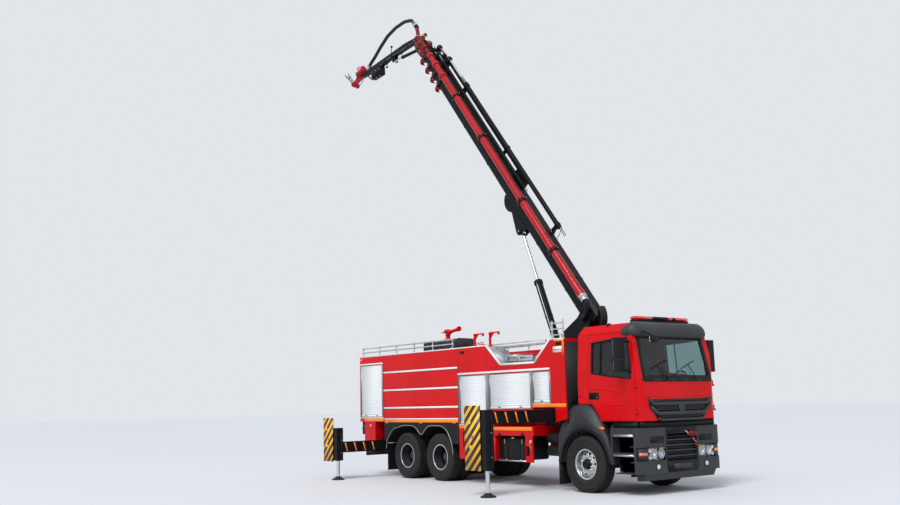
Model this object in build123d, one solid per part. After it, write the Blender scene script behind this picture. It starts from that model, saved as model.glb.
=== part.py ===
"""Telescopic boom fire truck on a three-axle chassis, standing on its outriggers with the boom raised.

Frame: +X towards the cab, +Y to the truck's left, +Z up, millimetres. The model is laid out from the
front axle (x = 0, on the ground), and every node is moved at the end so that the origin lies in the
middle of the whole truck's box, on the ground.
"""
import math
import os

from build123d import *

os.makedirs("parts", exist_ok=True)

# Chassis and wheels
WHEELBASE = 4750.0
BOGIE = 1350.0
TYRE_R = 545.0
TYRE_W = 310.0
RIM_R = 286.0
FRONT_FACE = 1200.0
REAR_FACE = 1220.0
TWIN_STEP = 350.0
RUNNING_FIT = 0.06
KING_PIN_Y = 850.0
RAIL_Y = 455.0
RAIL_WEB = 9.0
RAIL_FLANGE = 80.0
RAIL_BOTTOM = 940.0
RAIL_TOP = 1190.0
RAIL_FRONT = 1180.0
REAR_AXLE = -WHEELBASE - BOGIE
RAIL_REAR = REAR_AXLE - 1850.0
SEAT = 0.3
CLEAR = 5.0
TOW_EYE_X = RAIL_REAR - 80.0
TOW_EYE_TOP = 1040.0
TOW_EYE_T = 30.0
TOW_EYE_R = 21.0
ARCH_SKIN = 16.0

# Body
HALF_WIDTH = 1250.0
BODY_REAR = REAR_AXLE - 2065.0
TANK_REAR = REAR_AXLE - 935.0
TANK_FRONT = -WHEELBASE + 820.0
LOCKER_STEP = -2860.0
BODY_FRONT = -390.0
PILLAR_REAR = -815.0
BODY_FLOOR = 1360.0
BODY_TOP = 3020.0
DECK_TOP = 2860.0
DECK_EDGE = 1120.0
NOTCH_FLOOR = 2590.0
WELL_HALF = 730.0
WALL = 30.0
SHUTTER_T = 20.0

# Cab
CAB_REAR = -150.0
CAB_FRONT = 1450.0
CAB_FLOOR = 1370.0
CAB_ROOF = 3220.0
CAB_HALF = 1150.0
CAB_WALL = 45.0
DOOR_REAR = 140.0
DOOR_FRONT = 1330.0
DOOR_GAP = 6.0
HINGE_X = 1335.0
HINGE_Y = 1142.0
HINGE_Z = (1520.0, 2000.0)
SCREEN_LOW = 2190.0
SCREEN_HIGH = CAB_ROOF - 260.0
FENDER_IN = 870.0
FENDER_OUT = 1205.0

# Outriggers
FRONT_BEAM_Z = 1486.0
REAR_BEAM_Z = 778.0
BEAM_H = 258.0
BEAM_W = 150.0
BEAM_T = 12.0
FRONT_REACH = 2960.0
REAR_REACH = 2520.0
LEG_W = 180.0
JACK_R = 42.0
JACK_TRAVEL = 420.0
LEG_CAP = 60.0
FOOT_R = 150.0
FOOT_LIFT = 1.0

# Crane
SLEW_X = -1450.0
DECK_RING = 2560.0
PIVOT_X = -850.0
PIVOT_Z = 3500.0
BOOM_ANGLE = 52.9
BOOM_W = 280.0
BOOM_LOW = -108.0
BOOM_HIGH = 322.0
BOOM_LENGTH = 8400.0
BOOM_WALL = 9.0
STAGE_GAP = 7.0
STAGE_STEP = 385.0
STAGE_TAIL = 420.0
FOOT_X = -1800.0
FOOT_Z = 2780.0
EYE_S = 3019.0
EYE_O = -330.0
FOOT_HOSE_BEND = 400.0
FOOT_HOSE_START = -80.0
FOOT_HOSE_TURN = 115.0
FOOT_HOSE_R = 27.0
PIPE_R = 84.0
PIPE_Y = 246.0
PIPE_O = 300.0
KNUCKLE_S = BOOM_LENGTH + 3 * STAGE_STEP + 681.0
KNUCKLE_O = 93.0
JIB_ANGLE = 4.0
JIB_LENGTH = 2900.0
JIB_TIP_S = JIB_LENGTH + 15.0
NOZZLE_RISE = math.radians(43.4)
NOZZLE_R = 38.0


def block(x0, x1, y0, y1, z0, z1):
    """A box between two corners."""
    return Pos((x0 + x1) / 2, (y0 + y1) / 2, (z0 + z1) / 2) * Box(abs(x1 - x0), abs(y1 - y0), abs(z1 - z0))


def side_prism(points, y0, y1):
    """A side view outline of (x, z) points, drawn out from y0 to y1."""
    face = make_face(Polyline([(x, y0, z) for x, z in points], close=True))
    return extrude(face, amount=y1 - y0, dir=(0, 1, 0))


def cross_prism(points, x0, x1):
    """A cross-section of (y, z) points, drawn out from x0 to x1."""
    face = make_face(Polyline([(x0, y, z) for y, z in points], close=True))
    return extrude(face, amount=x1 - x0, dir=(1, 0, 0))


def plan_prism(points, z0, z1):
    """A plan view outline of (x, y) points, drawn up from z0 to z1."""
    face = make_face(Polyline([(x, y, z0) for x, y in points], close=True))
    return extrude(face, amount=z1 - z0, dir=(0, 0, 1))


def rod(start, end, radius):
    """A round bar between two points."""
    start, end = Vector(*start), Vector(*end)
    run = end - start
    return Plane(origin=start, z_dir=run) * Cylinder(
        radius, run.length, align=(Align.CENTER, Align.CENTER, Align.MIN))


def unit(start, end):
    """The direction from one (x, z) point to another."""
    run = math.hypot(end[0] - start[0], end[1] - start[1])
    return (end[0] - start[0]) / run, (end[1] - start[1]) / run


def both_sides(shape):
    """The shape and its mirror image on the truck's other side."""
    return [shape, mirror(shape, about=Plane.XZ)]


def fuse(shapes):
    """All shapes joined into one."""
    whole = shapes[0]
    for shape in shapes[1:]:
        whole = whole + shape
    return whole


nodes = {}


def node(name, *shapes):
    """Keeps shapes as one sub-part, one or more solids that don't touch."""
    solids = []
    for shape in shapes:
        solids.extend(shape.solids())
    nodes[name] = solids


def chassis_frame():
    """Two channel rails, their cross members and the rear underrun bar."""
    parts = []
    for side in (-1, 1):
        web = side * RAIL_Y
        inner = side * (RAIL_Y - RAIL_WEB)
        flange = side * (RAIL_Y - RAIL_FLANGE)
        parts.append(block(RAIL_REAR, RAIL_FRONT, inner, web, RAIL_BOTTOM, RAIL_TOP))
        parts.append(block(RAIL_REAR, RAIL_FRONT, flange, web, RAIL_BOTTOM, RAIL_BOTTOM + RAIL_WEB))
        parts.append(block(RAIL_REAR, RAIL_FRONT, flange, web, RAIL_TOP - RAIL_WEB, RAIL_TOP))
    for x in (RAIL_REAR + 50, REAR_AXLE - 600, REAR_AXLE + BOGIE / 2, -WHEELBASE + 600, -3000, -1900,
              -700, 1120):
        parts.append(block(x - 35, x + 35, -RAIL_Y + 2, RAIL_Y - 2, RAIL_BOTTOM + 30, RAIL_TOP - 30))
    bar_z = 560
    parts.append(block(RAIL_REAR - 90, RAIL_REAR + 10, -1150, 1150, bar_z - 60, bar_z + 60))
    for side in (-1, 1):
        parts.append(block(RAIL_REAR - 60, RAIL_REAR + 100, side * 400, side * 450, bar_z, RAIL_BOTTOM + 20))
    parts.append(block(RAIL_REAR - 130, RAIL_REAR + 100, -60, 60, TOW_EYE_TOP - TOW_EYE_T, TOW_EYE_TOP))
    eye = Pos(TOW_EYE_X, 0, TOW_EYE_TOP) * Cylinder(TOW_EYE_R, 200)
    return fuse(parts) - eye


def leaf_spring(x, y, half, low, high):
    """A pack of leaves, bowed down between two hangers under a rail."""
    thick = 70.0
    line = ThreePointArc((x - half, y, high), (x, y, low), (x + half, y, high))
    edge = Line((x + half, y, high), (x + half, y, high + thick * 0.5))
    back = ThreePointArc((x + half, y, high + thick * 0.5), (x, y, low + thick),
                         (x - half, y, high + thick * 0.5))
    shut = Line((x - half, y, high + thick * 0.5), (x - half, y, high))
    face = make_face([line, edge, back, shut])
    return Pos(0, 45, 0) * extrude(face, amount=90, dir=(0, -1, 0))


def front_axle():
    """The dropped beam with its king pin eyes and both leaf springs."""
    beam = cross_prism(
        [(-810, 470), (-560, 430), (560, 430), (810, 470), (810, 590), (560, 530), (-560, 530),
         (-810, 590)], -50, 50)
    parts = [beam]
    for side in (-1, 1):
        y = side * KING_PIN_Y
        parts.append(Pos(0, y, TYRE_R - 15) * Cylinder(58, 120))
        parts.append(leaf_spring(0, side * 410, 720, 540, 690))
        for x in (-700, 700):
            parts.append(block(x - 35, x + 35, side * 370, side * 450, 700, RAIL_BOTTOM - SEAT))
        parts.append(block(-70, 70, side * 365, side * 455, 480, 560))
    axle = fuse(parts)
    for side in (-1, 1):
        axle = axle - Pos(0, side * KING_PIN_Y, TYRE_R) * Cylinder(22 + RUNNING_FIT, 400)
    return axle


def knuckle(side):
    """The fork, king pin and stub shaft that carry a front wheel."""
    y = side * KING_PIN_Y
    parts = [
        Pos(0, y, TYRE_R - 15) * Cylinder(22, 240),
        Pos(0, y, TYRE_R - 15 + 85) * Cylinder(55, 38),
        Pos(0, y, TYRE_R - 15 - 85) * Cylinder(55, 38),
        block(-50, 50, y, y + side * 100, TYRE_R - 15 + 66, TYRE_R - 15 + 104),
        block(-50, 50, y, y + side * 100, TYRE_R - 15 - 104, TYRE_R - 15 - 66),
        block(-60, 60, y + side * 66, y + side * 100, TYRE_R - 119, TYRE_R + 89),
        rod((0, y + side * 90, TYRE_R), (0, side * 1090, TYRE_R), 45),
        block(-225, -40, y + side * 66, y + side * 95, TYRE_R - 110, TYRE_R - 70),
    ]
    return fuse(parts)


def tyre(x, y):
    """A tyre as a revolved section, centred on y."""
    half = TYRE_W / 2
    section = [
        (RIM_R + 0.5, -half + 40), (RIM_R + 40, -half + 20), (RIM_R + 120, -half), (TYRE_R - 60, -half + 8),
        (TYRE_R - 12, -half + 22), (TYRE_R, -half + 50), (TYRE_R, half - 50), (TYRE_R - 12, half - 22),
        (TYRE_R - 60, half - 8), (RIM_R + 120, half), (RIM_R + 40, half - 20), (RIM_R + 0.5, half - 40),
    ]
    face = make_face(Polyline([(r, a, 0) for r, a in section], close=True))
    body = revolve(face, axis=Axis.Y, revolution_arc=360)
    return Pos(x, y, TYRE_R) * body


def wheel_bar(x, y0, y1, radius):
    """A round slice of a wheel, on its axle line."""
    return rod((x, min(y0, y1), TYRE_R), (x, max(y0, y1), TYRE_R), radius)


def rim_shell(x, y):
    """A rim barrel with two flanges, centred on y."""
    half = TYRE_W / 2 - 40
    shell = wheel_bar(x, y - half, y + half, RIM_R)
    shell = shell + wheel_bar(x, y - half - 12, y - half, RIM_R + 18)
    shell = shell + wheel_bar(x, y + half, y + half + 12, RIM_R + 18)
    return shell - wheel_bar(x, y - half - 20, y + half + 20, RIM_R - 14)


def hand_holes(x, y, count, circle, radius):
    """Round holes through a wheel disc."""
    holes = []
    for i in range(count):
        a = 2 * math.pi * i / count
        cx, cz = x + circle * math.cos(a), TYRE_R + circle * math.sin(a)
        holes.append(rod((cx, y - 60, cz), (cx, y + 60, cz), radius))
    return fuse(holes)


def front_wheel(side):
    """A single wheel: tyre, and rim with its disc, hub and drum."""
    y = side * (FRONT_FACE - TYRE_W / 2)
    disc_y = y + side * 40
    rim = rim_shell(0, y) + wheel_bar(0, disc_y - 8, disc_y + 8, RIM_R - 10)
    rim = rim - hand_holes(0, disc_y, 10, 205, 28)
    rim = rim + wheel_bar(0, side * 965, side * 1150, 118) + wheel_bar(0, side * 1150, side * 1185, 85)
    rim = rim - wheel_bar(0, side * 900, side * 1100, 45 + RUNNING_FIT)
    return [tyre(0, y), rim]


def rear_wheel(x, side):
    """A twin wheel: two tyres on two rims, joined by one disc and hub."""
    outer = side * (REAR_FACE - TYRE_W / 2)
    inner = outer - side * TWIN_STEP
    mid = (outer + inner) / 2
    reach = TWIN_STEP / 2 + TYRE_W / 2 - 40
    rim = rim_shell(x, outer) + rim_shell(x, inner)
    rim = rim + wheel_bar(x, mid - side * 80, mid + side * 80, RIM_R) - wheel_bar(
        x, mid - side * 200, mid + side * 200, RIM_R - 14)
    rim = rim + wheel_bar(x, mid - side * 14, mid + side * 14, RIM_R - 10)
    rim = rim - hand_holes(x, mid, 10, 215, 26)
    rim = rim + wheel_bar(x, mid - side * reach * 0.8, mid + side * 20, 150)
    rim = rim + wheel_bar(x, mid, mid + side * reach * 0.75, 115)
    rim = rim - wheel_bar(x, mid - side * 400, side * 1030, 50 + RUNNING_FIT)
    return [tyre(x, outer), tyre(x, inner), rim]


def rear_bogie():
    """Two driven axles with their casings, on two leaf packs that rock on a middle shaft."""
    parts = []
    for x in (-WHEELBASE, -WHEELBASE - BOGIE):
        parts.append(rod((x, -560, TYRE_R), (x, 560, TYRE_R), 75))
        parts.append(rod((x, -1020, TYRE_R), (x, 1020, TYRE_R), 50))
        parts.append(Pos(x, 0, TYRE_R) * Sphere(205))
        parts.append(block(x + 120, x + 260, -90, 90, TYRE_R - 80, TYRE_R + 80))
    middle = -WHEELBASE - BOGIE / 2
    for side in (-1, 1):
        y = side * 420
        half = BOGIE / 2 + 60
        parts.append(side_prism(
            [(middle - half, 610), (middle - 150, 700), (middle + 150, 700), (middle + half, 610),
             (middle + half, 650), (middle + 150, 800), (middle - 150, 800), (middle - half, 650)],
            y - 45, y + 45))
        parts.append(block(middle - 110, middle + 110, y - 50, y + 35, 760, RAIL_BOTTOM - SEAT))
    return fuse(parts)


def engine_block():
    """The engine and gearbox as one plain block on four arms."""
    parts = [block(60, 1020, -330, 330, 640, 1290), block(-620, 60, -200, 200, 700, 1120)]
    for x in (200, 850):
        for side in (-1, 1):
            parts.append(block(x, x + 90, side * 320, side * (RAIL_Y - RAIL_WEB - SEAT), 985, 1085))
    return fuse(parts)


def fuel_tank():
    """A rounded tank on two brackets, on each side of the frame."""
    body = block(-2650, -1690, -1140, -560, 563, 1033)
    body = fillet(body.edges().filter_by(Axis.X), 55)
    brackets = [block(x - 30, x + 30, -600, -RAIL_Y - SEAT, 860, 1015) for x in (-2450, -1890)]
    rail = block(-2660, -1680, -1170, -1145, 530, 556) + block(-2420, -2390, -1170, -1100, 530, 570)
    rail = rail + block(-1950, -1920, -1170, -1100, 530, 570)
    return both_sides(fuse([body] + brackets + [rail]))


def front_bumper():
    """The moulded bumper with corner pieces, lamp pockets, step wells and a barred middle."""
    outer = plan_prism([(720, -1200), (1250, -1200), (1250, 1200), (720, 1200)], 400, 1245)
    nose = block(1180, 1430, -1200, 1200, 400, 1245)
    nose = fillet(nose.edges().filter_by(Axis.Z).sort_by(Axis.X)[2:], 170)
    shell = outer + nose
    shell = shell - block(600, 1180 + SEAT, -960, 960, 300, 1400)
    apron = side_prism([(1180 + SEAT, 270), (1180 + SEAT, 405), (1400, 405), (1330, 270)], -1020, 1020)
    shell = shell + apron
    for side in (-1, 1):
        for low in (770, 1135):
            shell = shell - block(760, 1290, side * 990, side * 1210, low - 350, low - 30)
        shell = shell - block(600, 800, side * 950, side * 1300, 300, 560)
        shell = shell - block(1330, 1500, side * 470, side * 1250, 640, 885)
    shell = shell - block(1370, 1500, -430, 430, 610, 1120)
    for z in (700, 800, 900, 1000):
        shell = shell + block(1366, 1412, -432, 432, z - 14, z + 14)
    return shell


def headlamp(side):
    """A lamp that fills its pocket and wraps round the bumper's corner."""
    lamp = block(1330 + SEAT, 1428, side * (470 + SEAT), side * 1190, 640 + SEAT, 885 - SEAT)
    edge = lamp.edges().filter_by(Axis.Z).sort_by(Axis.X)[2:]
    edge = edge.sort_by(Axis.Y)[-1:] if side > 0 else edge.sort_by(Axis.Y)[:1]
    return fillet(edge, 90)


def light_bar():
    """The beacon bar on two feet."""
    bar = block(960, 1140, -780, 780, CAB_ROOF + 48, CAB_ROOF + 150)
    bar = fillet(bar.edges().filter_by(Axis.Y), 30)
    for y in (-520, 520):
        bar = bar + block(1010, 1090, y - 60, y + 60, CAB_ROOF + SEAT, CAB_ROOF + 60)
    return bar


def rear_lamps(side):
    """The lamp board that hangs under the body's rear corner."""
    return block(BODY_REAR + 10, BODY_REAR + 60, side * 760, side * 1200, 1030, BODY_FLOOR - SEAT)


FENDER = [(-738, 560), (-738, 960), (-690, 1180), (-255, 1700), (225, 1700), (470, 1360), (700, 900),
          (715, 560), (640, 560)]


def fender(side):
    """A grey wheel guard with its rear flap."""
    outer = side_prism(FENDER, side * FENDER_IN, side * FENDER_OUT)
    outer = outer - wheel_bar(0, side * 800, side * 1300, 660)
    flap = block(-738, -726, side * 880, side * 1195, 130, 600)
    return outer + flap


def steps():
    """Two treads in each bumper corner."""
    treads = []
    for side in (-1, 1):
        for low in (770, 1135):
            treads.append(block(762, 1288, side * 995, side * 1200, low - 50, low - 30 - SEAT))
    return treads


# The double arch: places from the first rear axle, then from the second
ARCH_FIRST = [(580, 500), (515, 900), (350, 1170), (110, 1265), (-330, 1265), (-580, 1130)]
ARCH_SECOND = [(BOGIE / 2, 1060), (580, 1130), (330, 1265), (-130, 1265), (-460, 1190), (-700, 1010),
               (-825, 860),
               (-860, 500)]
ARCH = [(x - WHEELBASE, z) for x, z in ARCH_FIRST] + [(x + REAR_AXLE, z) for x, z in ARCH_SECOND]


def rear_mudguards(side):
    """A double arch over the two rear wheels, with its dark panel and rear flap."""
    inside, outside = side * 520, side * HALF_WIDTH
    outline = make_face(Polyline([(x, inside, z) for x, z in ARCH], close=True))
    hollow = offset(outline, -ARCH_SKIN, kind=Kind.INTERSECTION)
    arch = extrude(outline, amount=abs(outside - inside), dir=(0, side, 0))
    room = extrude(hollow, amount=abs(outside - inside), dir=(0, side, 0))
    shell = arch - room - block(REAR_AXLE - 1000, 750 - WHEELBASE, side * 400, side * 1300, 300, 840)
    panel = block(TANK_REAR + 20, TANK_FRONT - 20, side * (HALF_WIDTH - 16), outside, 860,
                  BODY_FLOOR - SEAT) - arch
    flap = block(REAR_AXLE - 838, REAR_AXLE - 822, side * 560, side * 1215, 170, 880)
    return (shell + panel - room) + flap


def rear_lockers():
    """The hollow rear bay, open at both sides and at the back, with its roof channel."""
    shell = block(BODY_REAR, TANK_REAR, -HALF_WIDTH, HALF_WIDTH, BODY_FLOOR, BODY_TOP)
    shell = shell - block(BODY_REAR + WALL, TANK_REAR - WALL, -HALF_WIDTH + WALL, HALF_WIDTH - WALL,
                          1400, DECK_TOP - WALL)
    shell = shell - block(BODY_REAR + 40, TANK_REAR - 60, -1400, 1400, 1470, 2800)
    shell = shell - block(BODY_REAR - 50, BODY_REAR + 100, -800, 800, 1470, 2700)
    shell = shell - block(BODY_REAR + 40, TANK_REAR + 10, -DECK_EDGE, DECK_EDGE, DECK_TOP, 3200)
    bearers = [block(BODY_REAR + 165, TANK_REAR, side * 375, side * RAIL_Y, RAIL_TOP + SEAT,
                     BODY_FLOOR + 10) for side in (-1, 1)]
    return fuse([shell] + bearers)


def water_tank():
    """The tank with pressed side panels, its roof channel and the bearers on the frame."""
    side = [(HALF_WIDTH, BODY_FLOOR)]
    for stripe in (1697, 2137, 2583):
        side += [(HALF_WIDTH, stripe - 60), (HALF_WIDTH - 12, stripe - 22), (HALF_WIDTH - 12, stripe - 14),
                 (HALF_WIDTH + 4, stripe - 12), (HALF_WIDTH + 4, stripe + 12), (HALF_WIDTH - 10,
                                                                                stripe + 16),
                 (HALF_WIDTH, stripe + 110)]
    side.append((HALF_WIDTH, BODY_TOP))
    outline = side + [(-y, z) for y, z in reversed(side)]
    tank = cross_prism(outline, TANK_REAR + SEAT, TANK_FRONT - SEAT)
    tank = tank - block(TANK_REAR - 50, TANK_FRONT + 50, -DECK_EDGE, DECK_EDGE, DECK_TOP, 3200)
    bearers = [block(TANK_REAR + 60, TANK_FRONT - 60, s * 375, s * RAIL_Y, RAIL_TOP + SEAT,
                     BODY_FLOOR + 10) for s in (-1, 1)]
    return fuse([tank] + bearers)


FRONT_SIDE = [(TANK_FRONT, 1210), (TANK_FRONT, BODY_TOP), (-2858, BODY_TOP), (-2395, NOTCH_FLOOR),
              (-1310, NOTCH_FLOOR), (-841, 3026), (BODY_FRONT, 3026), (BODY_FRONT, 1418), (-715, 1355),
              (-715, 1655), (-1400, 1655), (-1400, 1600), (LOCKER_STEP, 1600), (LOCKER_STEP, 1210)]

# Shutter openings on each side: rear x, front x, bottom z, top z
SHUTTERS = [(BODY_REAR + 40, TANK_REAR - 60, 1470, 2800), (TANK_FRONT + 54, -2909, 1313, 2389),
            (-2805, -1441, 1630, 2389),
            (-1379, -850, 1741, 2389)]


def front_lockers():
    """A full-width bay behind two side boxes, which leave a well between them for the crane."""
    shell = side_prism(FRONT_SIDE, -HALF_WIDTH, HALF_WIDTH)
    shell = shell - block(LOCKER_STEP, 0, -WELL_HALF, WELL_HALF, 1000, 3300)
    shell = shell - block(TANK_FRONT + WALL, LOCKER_STEP - WALL, -HALF_WIDTH + WALL, HALF_WIDTH - WALL, 1245,
                          DECK_TOP - WALL)
    shell = shell - block(TANK_FRONT - 50, LOCKER_STEP + 100, -DECK_EDGE, DECK_EDGE, DECK_TOP, 3300)
    for side in (-1, 1):
        y0, y1 = side * (WELL_HALF + WALL), side * (HALF_WIDTH - WALL)
        shell = shell - block(LOCKER_STEP + WALL, -1425, y0, y1, 1625, NOTCH_FLOOR - WALL)
        shell = shell - block(-1395, PILLAR_REAR - WALL, y0, y1, 1690, NOTCH_FLOOR - WALL)
        shell = shell - block(PILLAR_REAR + WALL, BODY_FRONT - WALL, y0, y1, 1690, 2990)
        shell = shell - block(-735, BODY_FRONT + 10, side * 600, side * (HALF_WIDTH - WALL), 1300, 1660)
        for x0, x1, z0, z1 in SHUTTERS[1:]:
            shell = shell - block(x0, x1, side * 1200, side * 1300, z0, z1)
    for side in (-1, 1):
        shell = shell + block(-3700, LOCKER_STEP, side * 375, side * RAIL_Y, RAIL_TOP + SEAT, 1230)
    return shell


def shutter(x0, x1, y, z0, z1, side):
    """A roller shutter of horizontal slats, standing in its opening."""
    slats = max(4, round((z1 - z0) / 90))
    pitch = (z1 - z0 - 2 * SEAT) / slats
    face_y = y
    back_y = y - side * SHUTTER_T
    points = [(back_y, z0 + SEAT)]
    for i in range(slats):
        low = z0 + SEAT + i * pitch
        points += [(face_y - side * 5, low), (face_y, low + 8), (face_y, low + pitch - 8)]
    points += [(face_y - side * 5, z1 - SEAT), (back_y, z1 - SEAT)]
    return cross_prism(points, x0 + SEAT, x1 - SEAT)


def shutters():
    """Every roller shutter: four a side and one at the back."""
    all_of_them = []
    for side in (-1, 1):
        for x0, x1, z0, z1 in SHUTTERS:
            all_of_them.append(shutter(x0, x1, side * (HALF_WIDTH - 6), z0, z1, side))
    back = block(BODY_REAR + 6, BODY_REAR + 6 + SHUTTER_T, -800 + SEAT, 800 - SEAT, 1470 + SEAT, 2700 - SEAT)
    all_of_them.append(back)
    return all_of_them


def lower_skirts(side):
    """The low boxes: ahead of the rear wheels, round the fuel tank, and behind the rear leg."""
    out, skin = side * HALF_WIDTH, side * (HALF_WIDTH - 30)
    front = block(TANK_FRONT + 5, -2864, skin, out, 540, 1210 - SEAT)
    hole = block(TANK_FRONT + 155, TANK_FRONT + 370, side * 1100, side * 1300, 715, 1178)
    hole = fillet(hole.edges().filter_by(Axis.Y), 90)
    front = front - hole
    front = front + block(TANK_FRONT + 5, TANK_FRONT + 30, side * 800, out, 540, 1210 - SEAT)
    top = block(-2700, -1400, side * (RAIL_Y + SEAT), out, 1070, 1260)
    posts = [block(-2700, -2672, side * 900, out, 530, 1080), block(-1668, -1440, skin, out, 530, 1080)]
    notch = Pos(-1600, side * 1200, 760) * Box(120, 200, 200)
    tank_box = fuse([top] + posts) - notch
    for x in (-2500, -1750):
        tank_box = tank_box - rod((x, side * 1240, 1075), (x, side * 1300, 1075), 60)
    rear = block(RAIL_REAR, REAR_AXLE - 1346, side * (RAIL_Y + SEAT), out, 850, BODY_FLOOR - SEAT)
    rear = rear - block(RAIL_REAR + 50, REAR_AXLE - 1390, side * 500, side * (HALF_WIDTH - 30), 900, 1320)
    return [front, tank_box, rear]


def roof_deck():
    """The tread plate in the roof channel."""
    return block(BODY_REAR + 45, LOCKER_STEP - 10, -DECK_EDGE + 5, DECK_EDGE - 5, DECK_TOP + SEAT,
                 DECK_TOP + 8)


def hand_rails():
    """Two bars on posts along both roof edges, a back rail and the ladder with its rungs."""
    parts = []
    y = 1185.0
    for side in (-1, 1):
        bars = []
        for z in (BODY_TOP + 120, BODY_TOP + 225):
            bars.append(rod((BODY_REAR + 60, side * y, z), (-WHEELBASE + 600, side * y, z), 17))
        for i in range(6):
            x = BODY_REAR + 80 + i * 780
            bars.append(rod((x, side * y, BODY_TOP + SEAT), (x, side * y, BODY_TOP + 225), 15))
        parts.append(fuse(bars))
    for side in (-1, 1):
        rungs = []
        for x in (-790, -470):
            rungs.append(rod((x, side * y, 3026 + SEAT), (x, side * y, 3400), 17))
        for z in (3110, 3230, 3350):
            rungs.append(rod((-860, side * y, z), (-440, side * y, z), 15))
        parts.append(fuse(rungs))
    rail_z = 3010.0
    ladder = [block(-3850, -1150, y0, y0 + 28, rail_z - 35, rail_z + 35) for y0 in (-1040, -728)]
    for i in range(10):
        x = -3720 + i * 275
        ladder.append(rod((x, -1030, rail_z), (x, -710, rail_z), 15))
    parts.append(fuse(ladder))
    return parts


def ladder_gantry():
    """Two goal posts that carry the roof ladder."""
    parts = []
    for x, foot in ((-3500, DECK_TOP + 8 + SEAT), (-2950, DECK_TOP + 8 + SEAT)):
        frame = [
            block(x - 20, x + 20, -1085, -1045, foot, 3330),
            block(x - 20, x + 20, -1085, -690, 2935, 2975 - SEAT),
            block(x - 20, x + 320, -1085, -1045, 3300, 3330),
        ]
        parts.append(fuse(frame))
    return parts


def covered_box():
    """A padded equipment cover on the roof."""
    cover = block(-WHEELBASE - 850, -WHEELBASE + 500, -1000, -470, DECK_TOP + 8 + SEAT, 3290)
    return fillet(cover.edges().filter_by(Axis.X).sort_by(Axis.Z)[2:], 70)


def roof_monitor():
    """The roof water monitor: base, swivel body and barrel."""
    x, y, z = -WHEELBASE - 200, -735.0, 3290.0 + SEAT
    parts = [
        rod((x, y, z), (x, y, z + 30), 110),
        rod((x, y, z + 20), (x, y, z + 170), 55),
        Pos(x, y, z + 180) * Sphere(78),
        rod((x, y, z + 180), (x + 430, y, z + 240), 42),
        rod((x + 410, y, z + 237), (x + 470, y, z + 245), 56),
        rod((x - 110, y - 90, z + 180), (x - 110, y + 90, z + 180), 14),
        rod((x, y, z + 180), (x - 110, y, z + 180), 16),
    ]
    valves = []
    for i in range(3):
        px = -WHEELBASE + 670 + i * 130
        valves.append(rod((px, -590, DECK_TOP + 8 + SEAT), (px, -590, 3080), 38))
    pipe = fuse(valves + [rod((-WHEELBASE + 590, -590, 3050), (-WHEELBASE + 1010, -590, 3050), 45)])
    return [fuse(parts), pipe]


# Beam places: name, x of the beam, side, beam height, foot reach, plate x range, plate z range
LEGS = [
    ("front_right", -835.0, -1, FRONT_BEAM_Z, FRONT_REACH, (-1385, -900), (490, 1727), 500.0, 1640.0),
    ("front_left", -1035.0, 1, FRONT_BEAM_Z, FRONT_REACH, (-1585, -1100), (490, 1727), 500.0, 1640.0),
    ("rear_right", REAR_AXLE - 1060, -1, REAR_BEAM_Z, REAR_REACH, (REAR_AXLE - 1580, REAR_AXLE - 1130),
     (437, 1486),
     463.0, 1244.0),
    ("rear_left", REAR_AXLE - 1230, 1, REAR_BEAM_Z, REAR_REACH, (REAR_AXLE - 1750, REAR_AXLE - 1300),
     (437, 1486),
     463.0, 1244.0),
]
HOUSING_HALF = 1060.0


def beam_inner(reach):
    """How far in a beam's inner end lies when it is out."""
    return 600.0 if reach == FRONT_REACH else 500.0


def outrigger_beam(name, x, side, z, reach, plate_x, plate_z, leg_low, leg_top):
    """A sliding beam with its leg tube and striped end plate."""
    inner, leg_in, leg_out = beam_inner(reach), reach - LEG_W / 2, reach + LEG_W / 2
    beam = block(x - BEAM_W / 2, x + BEAM_W / 2, side * inner, side * (leg_in + 10), z - BEAM_H / 2,
                 z + BEAM_H / 2)
    beam = beam - block(x - BEAM_W / 2 + BEAM_T, x + BEAM_W / 2 - BEAM_T, side * (inner - 10), side * leg_in,
                        z - BEAM_H / 2 + BEAM_T, z + BEAM_H / 2 - BEAM_T)
    leg = block(x - LEG_W / 2, x + LEG_W / 2, side * leg_in, side * leg_out, leg_low, leg_top)
    plate = block(plate_x[0], plate_x[1], side * leg_out, side * (leg_out + 15), plate_z[0], plate_z[1])
    whole = beam + leg + plate
    whole = whole - rod((x, side * reach, leg_low + 60), (x, side * reach, leg_top - LEG_CAP),
                        JACK_R + CLEAR)
    return whole - rod((x, side * reach, leg_low - 50), (x, side * reach, leg_low + 80),
                       JACK_R + RUNNING_FIT)


def jack(x, side, reach, leg_low, leg_top):
    """The sliding inner leg and its ball-jointed foot plate."""
    y = side * reach
    top = leg_top - LEG_CAP - JACK_TRAVEL - CLEAR
    stem = rod((x, y, FOOT_LIFT + 40), (x, y, top), JACK_R)
    foot = Pos(x, y, FOOT_LIFT) * Cylinder(FOOT_R, 22, align=(Align.CENTER, Align.CENTER, Align.MIN))
    cone = Pos(x, y, FOOT_LIFT + 22) * Cone(FOOT_R * 0.6, JACK_R + 12, 55,
                                            align=(Align.CENTER, Align.CENTER, Align.MIN))
    return stem + foot + cone


def beam_tunnel(x, z):
    """The room for one beam right through a housing."""
    grow = CLEAR + 1
    return block(x - BEAM_W / 2 - grow, x + BEAM_W / 2 + grow, -1400, 1400, z - BEAM_H / 2 - grow,
                 z + BEAM_H / 2 + grow)


def beam_pads(x, side, z):
    """The wear pads in a housing's mouth, under and over its beam."""
    mouth = (side * (HOUSING_HALF - 80), side * HOUSING_HALF)
    half = BEAM_H / 2
    low = block(x - 50, x + 50, mouth[0], mouth[1], z - half - 10, z - half - SEAT)
    high = block(x - 50, x + 50, mouth[0], mouth[1], z + half + SEAT, z + half + 10)
    return low + high


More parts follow.
